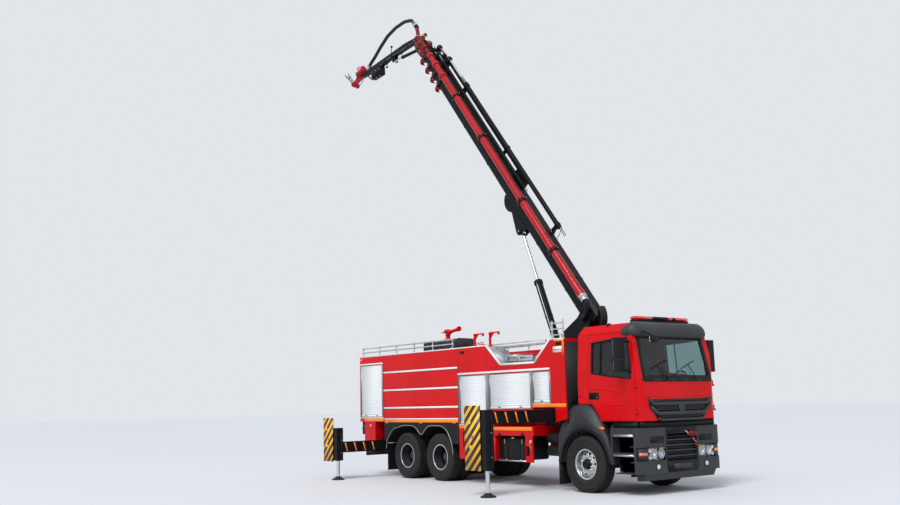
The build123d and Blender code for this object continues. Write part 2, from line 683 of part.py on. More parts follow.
def crane_subframe():
    """The crane's base: a box on the frame, the front beam housing and the pedestal; and the rear housing."""
    base = block(-1900, -640, -RAIL_Y, RAIL_Y, RAIL_TOP + SEAT, 1345)
    housing = block(-1150, -720, -HOUSING_HALF, HOUSING_HALF, 1340, 1636)
    pillar = Pos(SLEW_X, 0, 1300) * Cylinder(290, DECK_RING - 1300,
                                             align=(Align.CENTER, Align.CENTER, Align.MIN))
    flange = Pos(SLEW_X, 0, DECK_RING - 40) * Cylinder(400, 40,
                                                       align=(Align.CENTER, Align.CENTER, Align.MIN))
    front = base + housing + pillar + flange
    rear = block(REAR_AXLE - 1340, REAR_AXLE - 960, -HOUSING_HALF, HOUSING_HALF, 622, RAIL_BOTTOM - SEAT)
    for name, x, side, z, *rest in LEGS:
        pads = beam_pads(x, side, z)
        if z == FRONT_BEAM_Z:
            front = front - beam_tunnel(x, z) + pads
        else:
            rear = rear - beam_tunnel(x, z) + pads
    return [front, rear]


CAB_SIDE = [(CAB_REAR, CAB_FLOOR), (CAB_REAR, CAB_ROOF - 160), (-30, CAB_ROOF), (1130, CAB_ROOF),
            (1235, CAB_ROOF - 140),
            (1430, 2150), (CAB_FRONT, 1780), (1435, CAB_FLOOR)]


def cab_form(inset):
    """The cab's outer form, or its inner form when inset: side view, cross-section and plan together."""
    side = make_face(Polyline([(x, -2000, z) for x, z in CAB_SIDE], close=True))
    if inset:
        side = offset(side, -inset, kind=Kind.INTERSECTION)
    solid = extrude(side, amount=4000, dir=(0, 1, 0))
    half = CAB_HALF - inset
    cross = cross_prism(
        [(-half, 1000), (half, 1000), (half, 2150), (half - 75, CAB_ROOF - 140),
         (half - 210, CAB_ROOF + 180),
         (-half + 210, CAB_ROOF + 180), (-half + 75, CAB_ROOF - 140), (-half, 2150)], -1000, 2500)
    plan = Pos((CAB_REAR + CAB_FRONT) / 2, 0, 0) * Box(CAB_FRONT - CAB_REAR - 2 * inset, 2 * half, 9000)
    plan = fillet(plan.edges().filter_by(Axis.Z).sort_by(Axis.X)[2:], 260 - inset)
    return (solid & cross) & plan


DOOR = [(DOOR_REAR, 1720), (DOOR_REAR, CAB_ROOF - 180), (1185, CAB_ROOF - 180), (DOOR_FRONT, 2400),
        (DOOR_FRONT, CAB_FLOOR + 12),
        (490, CAB_FLOOR + 12), (250, 1720)]
DOOR_WINDOW = [(235, 2300), (235, CAB_ROOF - 340), (1140, CAB_ROOF - 290), (1240, 2420), (1240, 2168)]


def shrink(points, gap):
    """A side view outline moved inwards by gap."""
    face = make_face(Polyline([(x, 0, z) for x, z in points], close=True))
    return offset(face, -gap)


def through(face, side):
    """A side view face drawn out through one side of the cab."""
    solid = extrude(face, amount=1500, dir=(0, 1, 0))
    return solid if side > 0 else mirror(solid, about=Plane.XZ)


def fender_room(side, gap, inner):
    """The space that a fender takes out of the cab's lower corner."""
    outline = make_face(Polyline([(x, 0, z) for x, z in FENDER], close=True))
    solid = extrude(offset(outline, gap, kind=Kind.INTERSECTION), amount=1400, dir=(0, side, 0))
    return solid - block(-2000, 2000, -inner, inner, 0, 3000)


def shell_hinge(side, z):
    """The pin and lug on the cab's front pillar."""
    y = side * HINGE_Y
    lug = block(HINGE_X + 3, HINGE_X + 43, side * 1055, side * (HINGE_Y + 10), z, z + 35)
    eye = Pos(HINGE_X, y, z + 17.5) * Cylinder(16, 35)
    pin = Pos(HINGE_X, y, z + 60) * Cylinder(10, 120)
    return lug + eye + pin


def door_hinge(side, z):
    """The ring and lug on the door's front edge."""
    y = side * HINGE_Y
    lug = block(HINGE_X - 40, HINGE_X - 8, side * 1100, side * (HINGE_Y + 8), z + 41, z + 100)
    eye = Pos(HINGE_X, y, z + 70.5) * Cylinder(16, 59)
    return (lug + eye) - Pos(HINGE_X, y, z + 60) * Cylinder(10 + RUNNING_FIT, 200)


def cab_parts():
    """The hollow cab, its two doors and their glass, and the windscreen."""
    outer = cab_form(0)
    hollow = cab_form(CAB_WALL)
    room = [fender_room(side, CAB_WALL, FENDER_IN - CAB_WALL) for side in (-1, 1)]
    wheel_room = [fender_room(side, SEAT, FENDER_IN - SEAT) for side in (-1, 1)]
    shell = outer - (hollow - fuse(room)) - fuse(wheel_room)
    skin = outer - hollow
    for x in (-120, 1040):
        for side in (-1, 1):
            shell = shell + block(x, x + 70, side * 385, side * RAIL_Y, RAIL_TOP + SEAT, CAB_FLOOR + 5)
    screen = [(-940, SCREEN_LOW), (940, SCREEN_LOW), (890, SCREEN_HIGH), (-890, SCREEN_HIGH)]
    shell = shell - cross_prism(screen, 1000, 1600)
    pane = make_face(Polyline([(1100, y, z) for y, z in screen], close=True))
    windscreen = (cab_form(10) - cab_form(18)) & extrude(offset(pane, -SEAT), amount=500, dir=(1, 0, 0))
    doors, glass = [], []
    for side in (-1, 1):
        reach = block(-1000, 2000, side * 900, side * 1300, 1000, CAB_ROOF + 80)
        sill = block(-1000, 2000, side * 800, side * (CAB_HALF - CAB_WALL), 1000, CAB_FLOOR + CAB_WALL + 5)
        low_wall = block(-1000, 2000, side * 800, side * (CAB_HALF - CAB_WALL - DOOR_GAP), 1000,
                         CAB_FLOOR + CAB_WALL)
        shell = shell - ((through(shrink(DOOR, 0), side) & reach) - low_wall)
        door = (skin & through(shrink(DOOR, DOOR_GAP), side)) & (reach - sill)
        door = door - wheel_room[0] - wheel_room[1] - through(shrink(DOOR_WINDOW, 0), side)
        for z in HINGE_Z:
            shell = shell + shell_hinge(side, z)
            door = door + door_hinge(side, z)
        doors.append(door)
        glass.append(((cab_form(12) - cab_form(18)) & through(shrink(DOOR_WINDOW, SEAT), side)) & reach)
    return shell, doors, glass, windscreen


def mirror_arm(side):
    """The tall mirror on two arms from the door's front pillar."""
    head = block(1095, 1215, side * 1220, side * 1440, 2290, CAB_ROOF - 290)
    head = fillet(head.edges().filter_by(Axis.Z), 40)
    low = rod((1285, side * 1080, 2250), (1180, side * 1320, 2330), 14)
    high = rod((1198, side * 1040, CAB_ROOF - 390), (1180, side * 1320, CAB_ROOF - 350), 14)
    return (head + low + high) - cab_form(-SEAT)


def cab_trim():
    """Black mouldings: sun visor, grille, front mirror arm."""
    visor = side_prism([(1200, CAB_ROOF - 210), (1100, CAB_ROOF - 30), (1190, CAB_ROOF + 15),
                        (1330, CAB_ROOF - 160),
                        (1330, CAB_ROOF - 210)], -960, 960)
    grille = side_prism([(1400, 1360), (1400, 1790), (1470, 1790), (1484, 1600), (1462, 1360)], -950, 950)
    grille = grille & cross_prism([(-930, 1780), (930, 1780), (900, 1640), (620, 1360), (-620, 1360),
                                   (-900, 1640)],
                                  1300, 1500)
    for low, high, half in ((1650, 1735, 830), (1545, 1620, 720), (1425, 1500, 560)):
        slot = cross_prism([(-half, low), (half, low), (half + 60, high), (-half - 60, high)], 1458, 1500)
        grille = grille - slot
    skin = cab_form(-SEAT)
    return [visor - skin, grille - skin]


def cab_interior():
    """Two seats and the dashboard with its steering wheel."""
    parts = []
    for y in (-560, 560):
        seat = block(200, 700, y - 240, y + 240, CAB_FLOOR + CAB_WALL + SEAT, 1900)
        back = side_prism([(120, 1880), (60, CAB_ROOF - 520), (180, CAB_ROOF - 520), (280, 1880)],
                          y - 230, y + 230)
        parts.append(seat + back)
    dash = side_prism([(1080, 1700), (1080, 2120), (1250, 2170), (1300, 2100), (1300, 1700)], -850, 850)
    dash = dash + block(1100, 1280, -850, 850, CAB_FLOOR + CAB_WALL + SEAT, 1750)
    wheel = Pos(930, 560, 2130) * Rot(0, -55, 0) * Torus(220, 16)
    spoke = Pos(930, 560, 2130) * Rot(0, -55, 0) * Box(430, 40, 14)
    column = rod((930, 560, 2130), (1110, 560, 2003), 22)
    parts.append(fuse([dash, column, wheel, spoke]))
    return parts


BOOM_PLANE = Plane(
    origin=(PIVOT_X, 0, PIVOT_Z),
    x_dir=(-math.cos(math.radians(BOOM_ANGLE)), 0, math.sin(math.radians(BOOM_ANGLE))),
    z_dir=(math.sin(math.radians(BOOM_ANGLE)), 0, math.cos(math.radians(BOOM_ANGLE))))


def on_boom(shape):
    """Places a shape drawn along the boom: x along it, y to the truck's right, z to its top."""
    return BOOM_PLANE * shape


def boom_point(s, o):
    """The truck's (x, z) of a place along and above the boom's pivot."""
    a = math.radians(BOOM_ANGLE)
    return (PIVOT_X - s * math.cos(a) + o * math.sin(a), PIVOT_Z + s * math.sin(a) + o * math.cos(a))


def box_section(inset):
    """A folded eight-sided boom section, inset from the outermost one."""
    half, low, high = BOOM_W / 2 - inset, BOOM_LOW + inset, BOOM_HIGH - inset
    bend = 55.0 - inset * 0.4
    return [(-half, low + bend), (-half + bend, low), (half - bend, low), (half, low + bend),
            (half, high - bend), (half - bend, high), (-half + bend, high), (-half, high - bend)]


def boom_tube(s0, s1, inset):
    """One telescopic box with its wall."""
    outside = cross_prism(box_section(inset), s0, s1)
    return outside - cross_prism(box_section(inset + BOOM_WALL), s0 - 10, s1 + 10)


def head_collar(s1, inset):
    """The thick frame round a box's mouth."""
    return cross_prism(box_section(inset - 18), s1 - 130, s1) - cross_prism(
        box_section(inset + BOOM_WALL), s1 - 200, s1 + 10)


def mouth_pad(s1, inset):
    """The wear pad in a box's mouth, just under the next box."""
    low = BOOM_LOW + inset + BOOM_WALL
    return block(s1 - 150, s1 - 20, -60, 60, low - 4, low + STAGE_GAP - SEAT)


def tail_pad(s0, inset):
    """The wear pad on a box's tail, just under the roof of the box around it."""
    high = BOOM_HIGH - inset
    return block(s0 + 20, s0 + 180, -60, 60, high - 4, high + STAGE_GAP - SEAT)


def c_hook(s, inset):
    """A hooked guide under a boom head."""
    low = BOOM_LOW + inset
    arc = side_prism([(s - 60, low - 16), (s + 40, low - 16), (s + 40, low - 60), (s + 95, low - 100),
                      (s + 95, low - 170), (s + 50, low - 190), (s + 50, low - 150), (s, low - 110),
                      (s - 60, low - 60)], -45, 45)
    return arc


# Extension cylinders: y to the right, height above the pivot line, barrel radius, rod radius
RAMS = [(-80.0, 545.0, 55.0, 32.0), (30.0, 405.0, 42.0, 26.0), (-195.0, 405.0, 38.0, 24.0)]
RAM_START = [2255.0, 3850.0, 4300.0]


def stage_end(k):
    """Where the mouth of telescopic stage k lies, stage 0 being the outer box."""
    return BOOM_LENGTH + k * STAGE_STEP


def stage_inset(k):
    """How far stage k's box is inset from the outer one."""
    return k * (BOOM_WALL + STAGE_GAP)


def ram_barrel(k, s0, s1):
    """The barrel of extension cylinder k, closed at its tail."""
    y, o, radius, rod_r = RAMS[k]
    barrel = rod((s0, y, o), (s1, y, o), radius)
    return barrel - rod((s0 + 60, y, o), (s1 + 5, y, o), rod_r + CLEAR)


def ram_rod(k, s0, s1):
    """The rod of extension cylinder k."""
    y, o, radius, rod_r = RAMS[k]
    return rod((s0, y, o), (s1, y, o), rod_r)


def boom_outer():
    """The outer box with its foot, eye bracket, standoffs, first barrel and hose reel."""
    box = boom_tube(-180, BOOM_LENGTH, 0)
    foot = rod((0, -BOOM_W / 2, 0), (0, BOOM_W / 2, 0), 105)
    cheek = cross_prism(box_section(0), -180, 260)
    boss = rod((0, -BOOM_W / 2, 0), (0, BOOM_W / 2, 0), 62 + RUNNING_FIT)
    parts = [box, cheek, head_collar(BOOM_LENGTH, 0), mouth_pad(BOOM_LENGTH, 0), c_hook(BOOM_LENGTH - 40, 0)]
    for side in (-1, 1):
        parts.append(side_prism([(EYE_S - 130, BOOM_LOW + 10), (EYE_S - 95, EYE_O - 40),
                                 (EYE_S - 40, EYE_O - 95),
                                 (EYE_S + 60, EYE_O - 90), (EYE_S + 700, BOOM_LOW - 60), (EYE_S + 900,
                                         BOOM_LOW + 10)],
                                side * 75, side * 100))
    y, o, radius, rod_r = RAMS[0]
    parts.append(ram_barrel(0, RAM_START[0], BOOM_LENGTH - 760))
    for s, width in ((RAM_START[0] + 90, 60), (5050, 45), (BOOM_LENGTH - 860, 80)):
        parts.append(side_prism([(s - width, BOOM_HIGH - 8), (s + width, BOOM_HIGH - 8),
                                 (s + width * 0.6, o),
                                 (s - width * 0.6, o)], y - 25, y + 25))
    parts.append(block(3850, 4350, y - 45, y + 45, BOOM_HIGH - 8, o - 20))
    for s in (1700, 3330, 5640):
        parts.append(block(s - 45, s + 45, BOOM_W / 2 - 10, PIPE_Y - PIPE_R + 40, PIPE_O - 90, PIPE_O - 15))
    parts.append(rod((4030, -BOOM_W / 2 + 10, -210 + 60), (4030, -BOOM_W / 2 - 30, -210 + 60), 90))
    parts.append(rod((4030, -BOOM_W / 2 - 25, -210), (4030, -BOOM_W / 2 - 45, -210), 300))
    parts.append(rod((4030, -BOOM_W / 2 - 40, -210), (4030, -BOOM_W / 2 - 220, -210), 235))
    parts.append(rod((4030, -BOOM_W / 2 - 215, -210), (4030, -BOOM_W / 2 - 235, -210), 300))
    bore = rod((RAM_START[0] + 60, y, o), (BOOM_LENGTH - 700, y, o), rod_r + CLEAR)
    seat = rod((300, PIPE_Y, PIPE_O), (BOOM_LENGTH, PIPE_Y, PIPE_O), PIPE_R + SEAT)
    whole = fuse(parts) - boss - bore - seat
    trim = block(-400, 400, -400, 400, -600, 600) - rod((0, -500, 0), (0, 500, 0), 330)
    return whole - (trim & block(-500, 0, -500, 500, -700, 700))


def water_pipe():
    """The outer red water pipe with its flanges and end coupling."""
    start, end = 470.0, BOOM_LENGTH - 170.0
    pipe = rod((start, PIPE_Y, PIPE_O), (end, PIPE_Y, PIPE_O), PIPE_R)
    for s in (1700, 3330, 5640):
        pipe = pipe + rod((s + 60, PIPE_Y, PIPE_O), (s + 95, PIPE_Y, PIPE_O), PIPE_R + 24)
    pipe = pipe + rod((end - 60, PIPE_Y, PIPE_O), (end, PIPE_Y, PIPE_O), PIPE_R + 22)
    pipe = pipe + rod((start - 110, PIPE_Y, PIPE_O), (start + 20, PIPE_Y, PIPE_O), PIPE_R + 16)
    return pipe - rod((start + 60, PIPE_Y, PIPE_O), (end + 10, PIPE_Y, PIPE_O), PIPE_R - 6)


# Pipe stages inside the outer pipe: outer radius, wall
PIPE_STAGES = [(72.0, 4.0), (60.0, 4.0), (48.0, 4.0)]


def pipe_stage(k):
    """Water pipe of telescopic stage k, carried by that stage's head."""
    radius, wall = PIPE_STAGES[k - 1]
    end = stage_end(k) - 30
    start = 3500 + 400 * k
    pipe = rod((start, PIPE_Y, PIPE_O), (end, PIPE_Y, PIPE_O), radius)
    collar = rod((end - 60, PIPE_Y, PIPE_O), (end, PIPE_Y, PIPE_O), radius + 26)
    side = BOOM_W / 2 - stage_inset(k) - 5
    arm = block(end - 60, end - 5, side, PIPE_Y - radius * 0.5, PIPE_O - 75, PIPE_O - 35)
    return pipe + collar + arm - rod((start - 10, PIPE_Y, PIPE_O), (end + 10, PIPE_Y, PIPE_O), radius - wall)


def section(k):
    """Telescopic stage k: box, mouth frame, guide hook, ram lug, rod, next barrel and water pipe."""
    inset = stage_inset(k)
    end = stage_end(k)
    start = 500 + STAGE_TAIL * k
    parts = [boom_tube(start, end, inset), tail_pad(start, inset), c_hook(end - 40, inset), pipe_stage(k)]
    if k < 3:
        parts.append(head_collar(end, inset))
        parts.append(mouth_pad(end, inset))
    y, o, radius, rod_r = RAMS[k - 1]
    high = BOOM_HIGH - inset
    lug_s = end - 70
    lug = side_prism([(lug_s - 50, high - 8), (lug_s + 55, high - 8), (lug_s + 40, o + rod_r + 22),
                      (lug_s - 40, o + rod_r + 22)], y - 26, y + 26)
    parts.append(lug)
    parts.append(ram_rod(k - 1, RAM_START[k - 1] + 200, lug_s + 20))
    if abs(y) > 100:
        parts.append(block(lug_s - 45, lug_s + 45, y - 26, -20, high - 8, high + 60))
    whole = fuse(parts)
    if k < 3:
        ny, no, nr, nrod = RAMS[k]
        reach = max(ny + nr + 10, -20)
        whole = whole + block(lug_s - 45, lug_s + 45, ny - nr - 10, reach, high - 8, no)
        whole = whole + ram_barrel(k, RAM_START[k], lug_s + 60)
        whole = whole - rod((RAM_START[k] + 60, ny, no), (lug_s + 70, ny, no), nrod + CLEAR)
    return whole


def knuckle_head():
    """The last stage's fork that carries the jib."""
    inset = stage_inset(3)
    end = stage_end(3)
    s, o = KNUCKLE_S, KNUCKLE_O
    parts = [head_collar(end, inset)]
    for side in (-1, 1):
        parts.append(side_prism([(end - 60, BOOM_LOW + inset + 5), (end - 60, BOOM_HIGH - inset - 5),
                                 (end + 150, BOOM_HIGH - inset - 5), (s + 20, o + 95), (s + 90, o + 30),
                                 (s + 80, o - 70), (s - 60, o - 150), (JIB_FOOT_S + 60, JIB_FOOT_O - 75),
                                 (JIB_FOOT_S - 40, JIB_FOOT_O - 85), (end + 100, BOOM_LOW + 10)],
                                side * 78, side * 98))
    parts.append(rod((s, -98, o), (s, 98, o), 35))
    parts.append(rod((JIB_FOOT_S, -98, JIB_FOOT_O), (JIB_FOOT_S, 98, JIB_FOOT_O), 22))
    parts.append(block(end - 60, end + 60, -90, 90, BOOM_LOW + inset + 8, BOOM_HIGH - inset - 8))
    return fuse(parts)


JIB_PLANE = Plane(
    origin=(boom_point(KNUCKLE_S, KNUCKLE_O)[0], 0, boom_point(KNUCKLE_S, KNUCKLE_O)[1]),
    x_dir=(-math.cos(math.radians(JIB_ANGLE)), 0, -math.sin(math.radians(JIB_ANGLE))),
    z_dir=(-math.sin(math.radians(JIB_ANGLE)), 0, math.cos(math.radians(JIB_ANGLE))))
JIB_EYE_S = 1200.0
JIB_EYE_O = -165.0
JIB_BELLY = 42.0
JIB_FOOT_S = KNUCKLE_S - 256.0
JIB_FOOT_O = -40.0


# The hose over the jib: points along and above the jib, from its root to its end
HOSE_ROUTE = [(99, 448), (290, 702), (634, 796), (1075, 797), (1502, 716), (1895, 533),
              (JIB_LENGTH - 651, 327),
              (JIB_LENGTH - 202, 118)]
HOSE_R = 48.0


def jib_hose_path():
    """The large hose's centre line."""
    points = [(jib_point(s, o)[0], 0, jib_point(s, o)[1]) for s, o in HOSE_ROUTE]
    return FilletPolyline(points, radius=260)


def jib():
    """The tapered end arm with its root boss, cylinder lugs and under-box."""
    bar = side_prism([(-70, -50), (-40, 75), (600, 120), (JIB_LENGTH - 80, 60), (JIB_LENGTH - 80, -60),
                      (1700, -75), (1420, -JIB_BELLY), (40, -JIB_BELLY)], -60, 60)
    boss = rod((0, -60, 0), (0, 60, 0), 85)
    bore = rod((0, -70, 0), (0, 70, 0), 35 + RUNNING_FIT)
    lugs = [side_prism([(JIB_EYE_S - 90, 5 - JIB_BELLY), (JIB_EYE_S + 120, 5 - JIB_BELLY),
                        (JIB_EYE_S + 50, JIB_EYE_O - 45),
                        (JIB_EYE_S - 40, JIB_EYE_O - 45)], side * 42, side * 58) for side in (-1, 1)]
    under = block(1850, 2350, -75, 75, -330, -60) - block(1870, 2330, -60, 60, -312, -75)
    tip = []
    for side in (-1, 1):
        tip.append(side_prism([(JIB_LENGTH - 160, -60), (JIB_LENGTH - 160, 60), (JIB_LENGTH + 30, 55),
                               (JIB_LENGTH + 60, 0), (JIB_LENGTH + 30, -55)], side * 48, side * 62))
    pin = rod((JIB_TIP_S, -62, 0), (JIB_TIP_S, 62, 0), 25)
    first, second = HOSE_ROUTE[0], HOSE_ROUTE[1]
    last, end = HOSE_ROUTE[-2], HOSE_ROUTE[-1]
    ax, az = unit(last, end)
    socket = rod((end[0] + ax * SEAT, 0, end[1] + az * SEAT), (end[0] + ax * 130, 0, end[1] + az * 130),
                 HOSE_R + 10)
    bx, bz = unit(second, first)
    cup = rod((first[0] + bx * SEAT, 0, first[1] + bz * SEAT), (first[0] + bx * 90, 0, first[1] + bz * 90),
              HOSE_R + 10)
    post = side_prism([(10, 60), (75, 60), (first[0] + 10, first[1] - 60),
                       (first[0] - 50, first[1] - 60)], -14, 14)
    whole = fuse([bar, boss, under, pin, socket, cup, post] + lugs + tip) - bore
    return whole - block(JIB_LENGTH - 80, JIB_LENGTH - 20, -48, 48, -200, 200)


def tip_monitor():
    """The nozzle on the jib's end, in the truck's own axes: inlet valve, swivel body and barrel."""
    px, pz = tip_pin()
    bx, bz = px - 470, pz - 135
    ux, uz = -math.cos(NOZZLE_RISE), math.sin(NOZZLE_RISE)
    parts = [
        rod((px, -42, pz), (px, 42, pz), 52),
        rod((px - 20, 0, pz), (px - 420, 0, pz - 110), 38),
        rod((px + 40, 0, pz + 285), (px - 250, 0, pz + 45), 62),
        rod((px - 250, 0, pz + 45), (px - 470, 0, pz - 135), 52),
        Pos(px - 470, 0, pz - 135) * Sphere(88),
        rod((bx, 0, bz), (bx + ux * 495, 0, bz + uz * 495), 44),
        rod((bx + ux * 450, 0, bz + uz * 450), (bx + ux * 650, 0, bz + uz * 650), 60),
        rod((px - 110, -95, pz + 161), (px - 110, 95, pz + 161), 22),
    ]
    whole = fuse(parts) - rod((bx + ux * 550, 0, bz + uz * 550), (bx + ux * 660, 0, bz + uz * 660), NOZZLE_R)
    return whole - rod((px, -60, pz), (px, 60, pz), 25 + RUNNING_FIT)


def tip_pin():
    """Where the pin at the jib's end lies, as the truck's (x, z)."""
    return jib_point(JIB_TIP_S, 0)


def jib_hose():
    """The large hose that loops over the jib from the boom head to the nozzle."""
    line = jib_hose_path()
    start = Plane(origin=line @ 0, z_dir=line % 0)
    return sweep(start * Circle(HOSE_R), path=line)


def lift_line():
    """The unit vector from the lift cylinder's foot to its eye, and the distance."""
    ex, ez = boom_point(EYE_S, EYE_O)
    run = math.hypot(ex - FOOT_X, ez - FOOT_Z)
    return (ex - FOOT_X) / run, (ez - FOOT_Z) / run, run


def along_lift(d):
    """A place on the lift cylinder's line, d from its foot."""
    ux, uz, run = lift_line()
    return (FOOT_X + ux * d, 0, FOOT_Z + uz * d)


LIFT_BARREL = 1830.0


def lift_barrel():
    """The lift cylinder's barrel with its foot eye."""
    barrel = rod(along_lift(60), along_lift(LIFT_BARREL), 88) + rod(
        (FOOT_X, -60, FOOT_Z), (FOOT_X, 60, FOOT_Z), 95)
    barrel = barrel + rod(along_lift(LIFT_BARREL - 90), along_lift(LIFT_BARREL), 98)
    barrel = barrel - rod((FOOT_X, -90, FOOT_Z), (FOOT_X, 90, FOOT_Z), 40 + RUNNING_FIT)
    return barrel - rod(along_lift(140), along_lift(LIFT_BARREL + 10), 42.5 + RUNNING_FIT)


def lift_rod():
    """The lift cylinder's rod with its eye and pin."""
    ux, uz, run = lift_line()
    ex, ez = boom_point(EYE_S, EYE_O)
    eye = rod((ex, -55, ez), (ex, 55, ez), 75)
    return rod(along_lift(run - 2020), along_lift(run - 20), 42.5) + eye


def turret():
    """The slewing ring and the gooseneck plates that carry the boom and the lift cylinder."""
    base = DECK_RING + SEAT
    parts = [Pos(SLEW_X, 0, base) * Cylinder(390, 90, align=(Align.CENTER, Align.CENTER, Align.MIN))]
    neck = [(-1930, base + 60), (-1960, 2790), (-1800, 2930), (-1660, 2900), (-1530, 3240), (-1060, 3520),
            (-900, 3700), (-760, 3690), (-660, 3560), (-700, 3380), (-980, 2980), (-1060, base + 60)]
    for side in (-1, 1):
        parts.append(side_prism(neck, side * (BOOM_W / 2 + CLEAR), side * (BOOM_W / 2 + CLEAR + 38)))
    parts.append(rod((FOOT_X, -BOOM_W / 2 - 20, FOOT_Z), (FOOT_X, BOOM_W / 2 + 20, FOOT_Z), 40))
    parts.append(rod((PIVOT_X, -BOOM_W / 2 - 60, PIVOT_Z), (PIVOT_X, BOOM_W / 2 + 60, PIVOT_Z), 62))
    parts.append(block(-1500, -1080, -BOOM_W / 2 - 20, BOOM_W / 2 + 20, base + 60, 2960))
    start = math.radians(FOOT_HOSE_START)
    hose_x = PIVOT_X + FOOT_HOSE_BEND * math.cos(start) - FOOT_HOSE_R * math.cos(start) - SEAT
    parts.append(block(-950, hose_x, -BOOM_W / 2 - 20, BOOM_W / 2 + 20, 3050, 3145))
    return fuse(parts)


def foot_hoses():
    """Hydraulic hoses that loop from the turret's manifold round the front of the boom's foot."""
    loops = []
    for y in (-70, 0, 70):
        plane = Plane(origin=(PIVOT_X, y, PIVOT_Z), x_dir=(1, 0, 0), z_dir=(0, -1, 0))
        path = plane * CenterArc((0, 0, 0), FOOT_HOSE_BEND, FOOT_HOSE_START, FOOT_HOSE_TURN)
        start = Plane(origin=path @ 0, z_dir=path % 0)
        loops.append(sweep(start * Circle(FOOT_HOSE_R), path=path))
    return loops


def jib_point(s, o):
    """The truck's (x, z) of a place along and above the jib's pivot."""
    a = math.radians(JIB_ANGLE)
    jx, jz = boom_point(KNUCKLE_S, KNUCKLE_O)
    return (jx - s * math.cos(a) - o * math.sin(a), jz - s * math.sin(a) + o * math.cos(a))


def jib_ram(d):
    """A place on the jib cylinder's line, d from its foot."""
    fx, fz = jib_foot()
    ex, ez = jib_point(JIB_EYE_S, JIB_EYE_O)
    run = math.hypot(ex - fx, ez - fz)
    return (fx + (ex - fx) / run * d, 0, fz + (ez - fz) / run * d)


def jib_foot():
    """The jib cylinder's foot pin on the boom head."""
    return boom_point(JIB_FOOT_S, JIB_FOOT_O)


JIB_BARREL = 860.0


def jib_barrel():
    """The jib cylinder's barrel with its foot eye."""
    fx, fz = jib_foot()
    barrel = rod(jib_ram(30), jib_ram(JIB_BARREL), 45) + rod((fx, -55, fz), (fx, 55, fz), 48)
    barrel = barrel - rod((fx, -70, fz), (fx, 70, fz), 22 + RUNNING_FIT)
    return barrel - rod(jib_ram(90), jib_ram(JIB_BARREL + 10), 24 + RUNNING_FIT)


def jib_rod():
    """The jib cylinder's rod with its eye."""
    fx, fz = jib_foot()
    ex, ez = jib_point(JIB_EYE_S, JIB_EYE_O)
    run = math.hypot(ex - fx, ez - fz)
    return rod(jib_ram(run - 860), jib_ram(run - 10), 24) + rod((ex, -36, ez), (ex, 36, ez), 38)


node("chassis_frame", chassis_frame())
node("front_axle", front_axle())
node("rear_bogie", rear_bogie())
node("engine_block", engine_block())
node("fuel_tanks", *fuel_tank())
node("front_bumper", front_bumper())
node("lamps", headlamp(-1), headlamp(1), light_bar(), rear_lamps(-1), rear_lamps(1))
node("fenders_and_steps", fender(-1), fender(1), *steps())
node("rear_mudguards", rear_mudguards(-1), rear_mudguards(1))
node("rear_lockers", rear_lockers())
node("water_tank", water_tank())
node("front_lockers", front_lockers())
node("shutters", *shutters())
node("lower_skirts", *(lower_skirts(-1) + lower_skirts(1)))
node("roof_deck", roof_deck())
node("roof_rails", *hand_rails())
node("ladder_gantry", *ladder_gantry())
node("covered_box", covered_box())
node("roof_monitor", *roof_monitor())
node("crane_subframe", *crane_subframe())
cab, cab_doors, cab_glass, screen = cab_parts()
node("cab_shell", cab)
node("windscreen", screen)
node("cab_trim", *cab_trim())
node("cab_interior", *cab_interior())
for index, word in enumerate(("right", "left")):
    side = -1 if word == "right" else 1
    node("door_" + word, cab_doors[index])
    node("door_glass_" + word, cab_glass[index])
    node("door_mirror_" + word, mirror_arm(side))
    node("knuckle_" + word, knuckle(side))
    node("front_wheel_" + word, *front_wheel(side))
    node("rear_wheel_1_" + word, *rear_wheel(-WHEELBASE, side))
    node("rear_wheel_2_" + word, *rear_wheel(-WHEELBASE - BOGIE, side))
for name, x, side, z, reach, plate_x, plate_z, leg_low, leg_top in LEGS:
    node("beam_" + name, outrigger_beam(name, x, side, z, reach, plate_x, plate_z, leg_low, leg_top))
    node("jack_" + name, jack(x, side, reach, leg_low, leg_top))
node("turret", turret())
node("foot_hoses", *foot_hoses())
node("lift_barrel", lift_barrel())
node("lift_rod", lift_rod())
node("boom_outer", on_boom(boom_outer()))
node("water_pipe", on_boom(water_pipe()))
node("section_1", on_boom(section(1)))
node("section_2", on_boom(section(2)))
node("section_3", on_boom(section(3) + knuckle_head()))
node("jib", JIB_PLANE * jib())
node("jib_hose", jib_hose())
node("tip_monitor", tip_monitor())
node("jib_barrel", jib_barrel())
node("jib_rod", jib_rod())

low_x = min(s.bounding_box().min.X for group in nodes.values() for s in group)
high_x = max(s.bounding_box().max.X for group in nodes.values() for s in group)
shift = -(low_x + high_x) / 2
print("front axle at x", shift, "nodes", len(nodes))
for name, solids in nodes.items():
    moved = [Pos(shift, 0, 0) * solid for solid in solids]
    export_step(Compound(children=moved), "parts/" + name + ".step")
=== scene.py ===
# %% [markdown]
# # A telescopic boom fire truck, dressed for its picture
# The CAD model gives the places and the main forms: chassis, cab, body, outriggers, boom and jib. This
# lesson loads it as a fixed frame, measures it, and then makes what a plain solid lacks: tyre treads,
# slats, trim, lamps, hoses, stripes and finishes. All lengths are in metres.

# %% Load the frame
import math

import bmesh
import bpy
from mathutils import Matrix, Vector


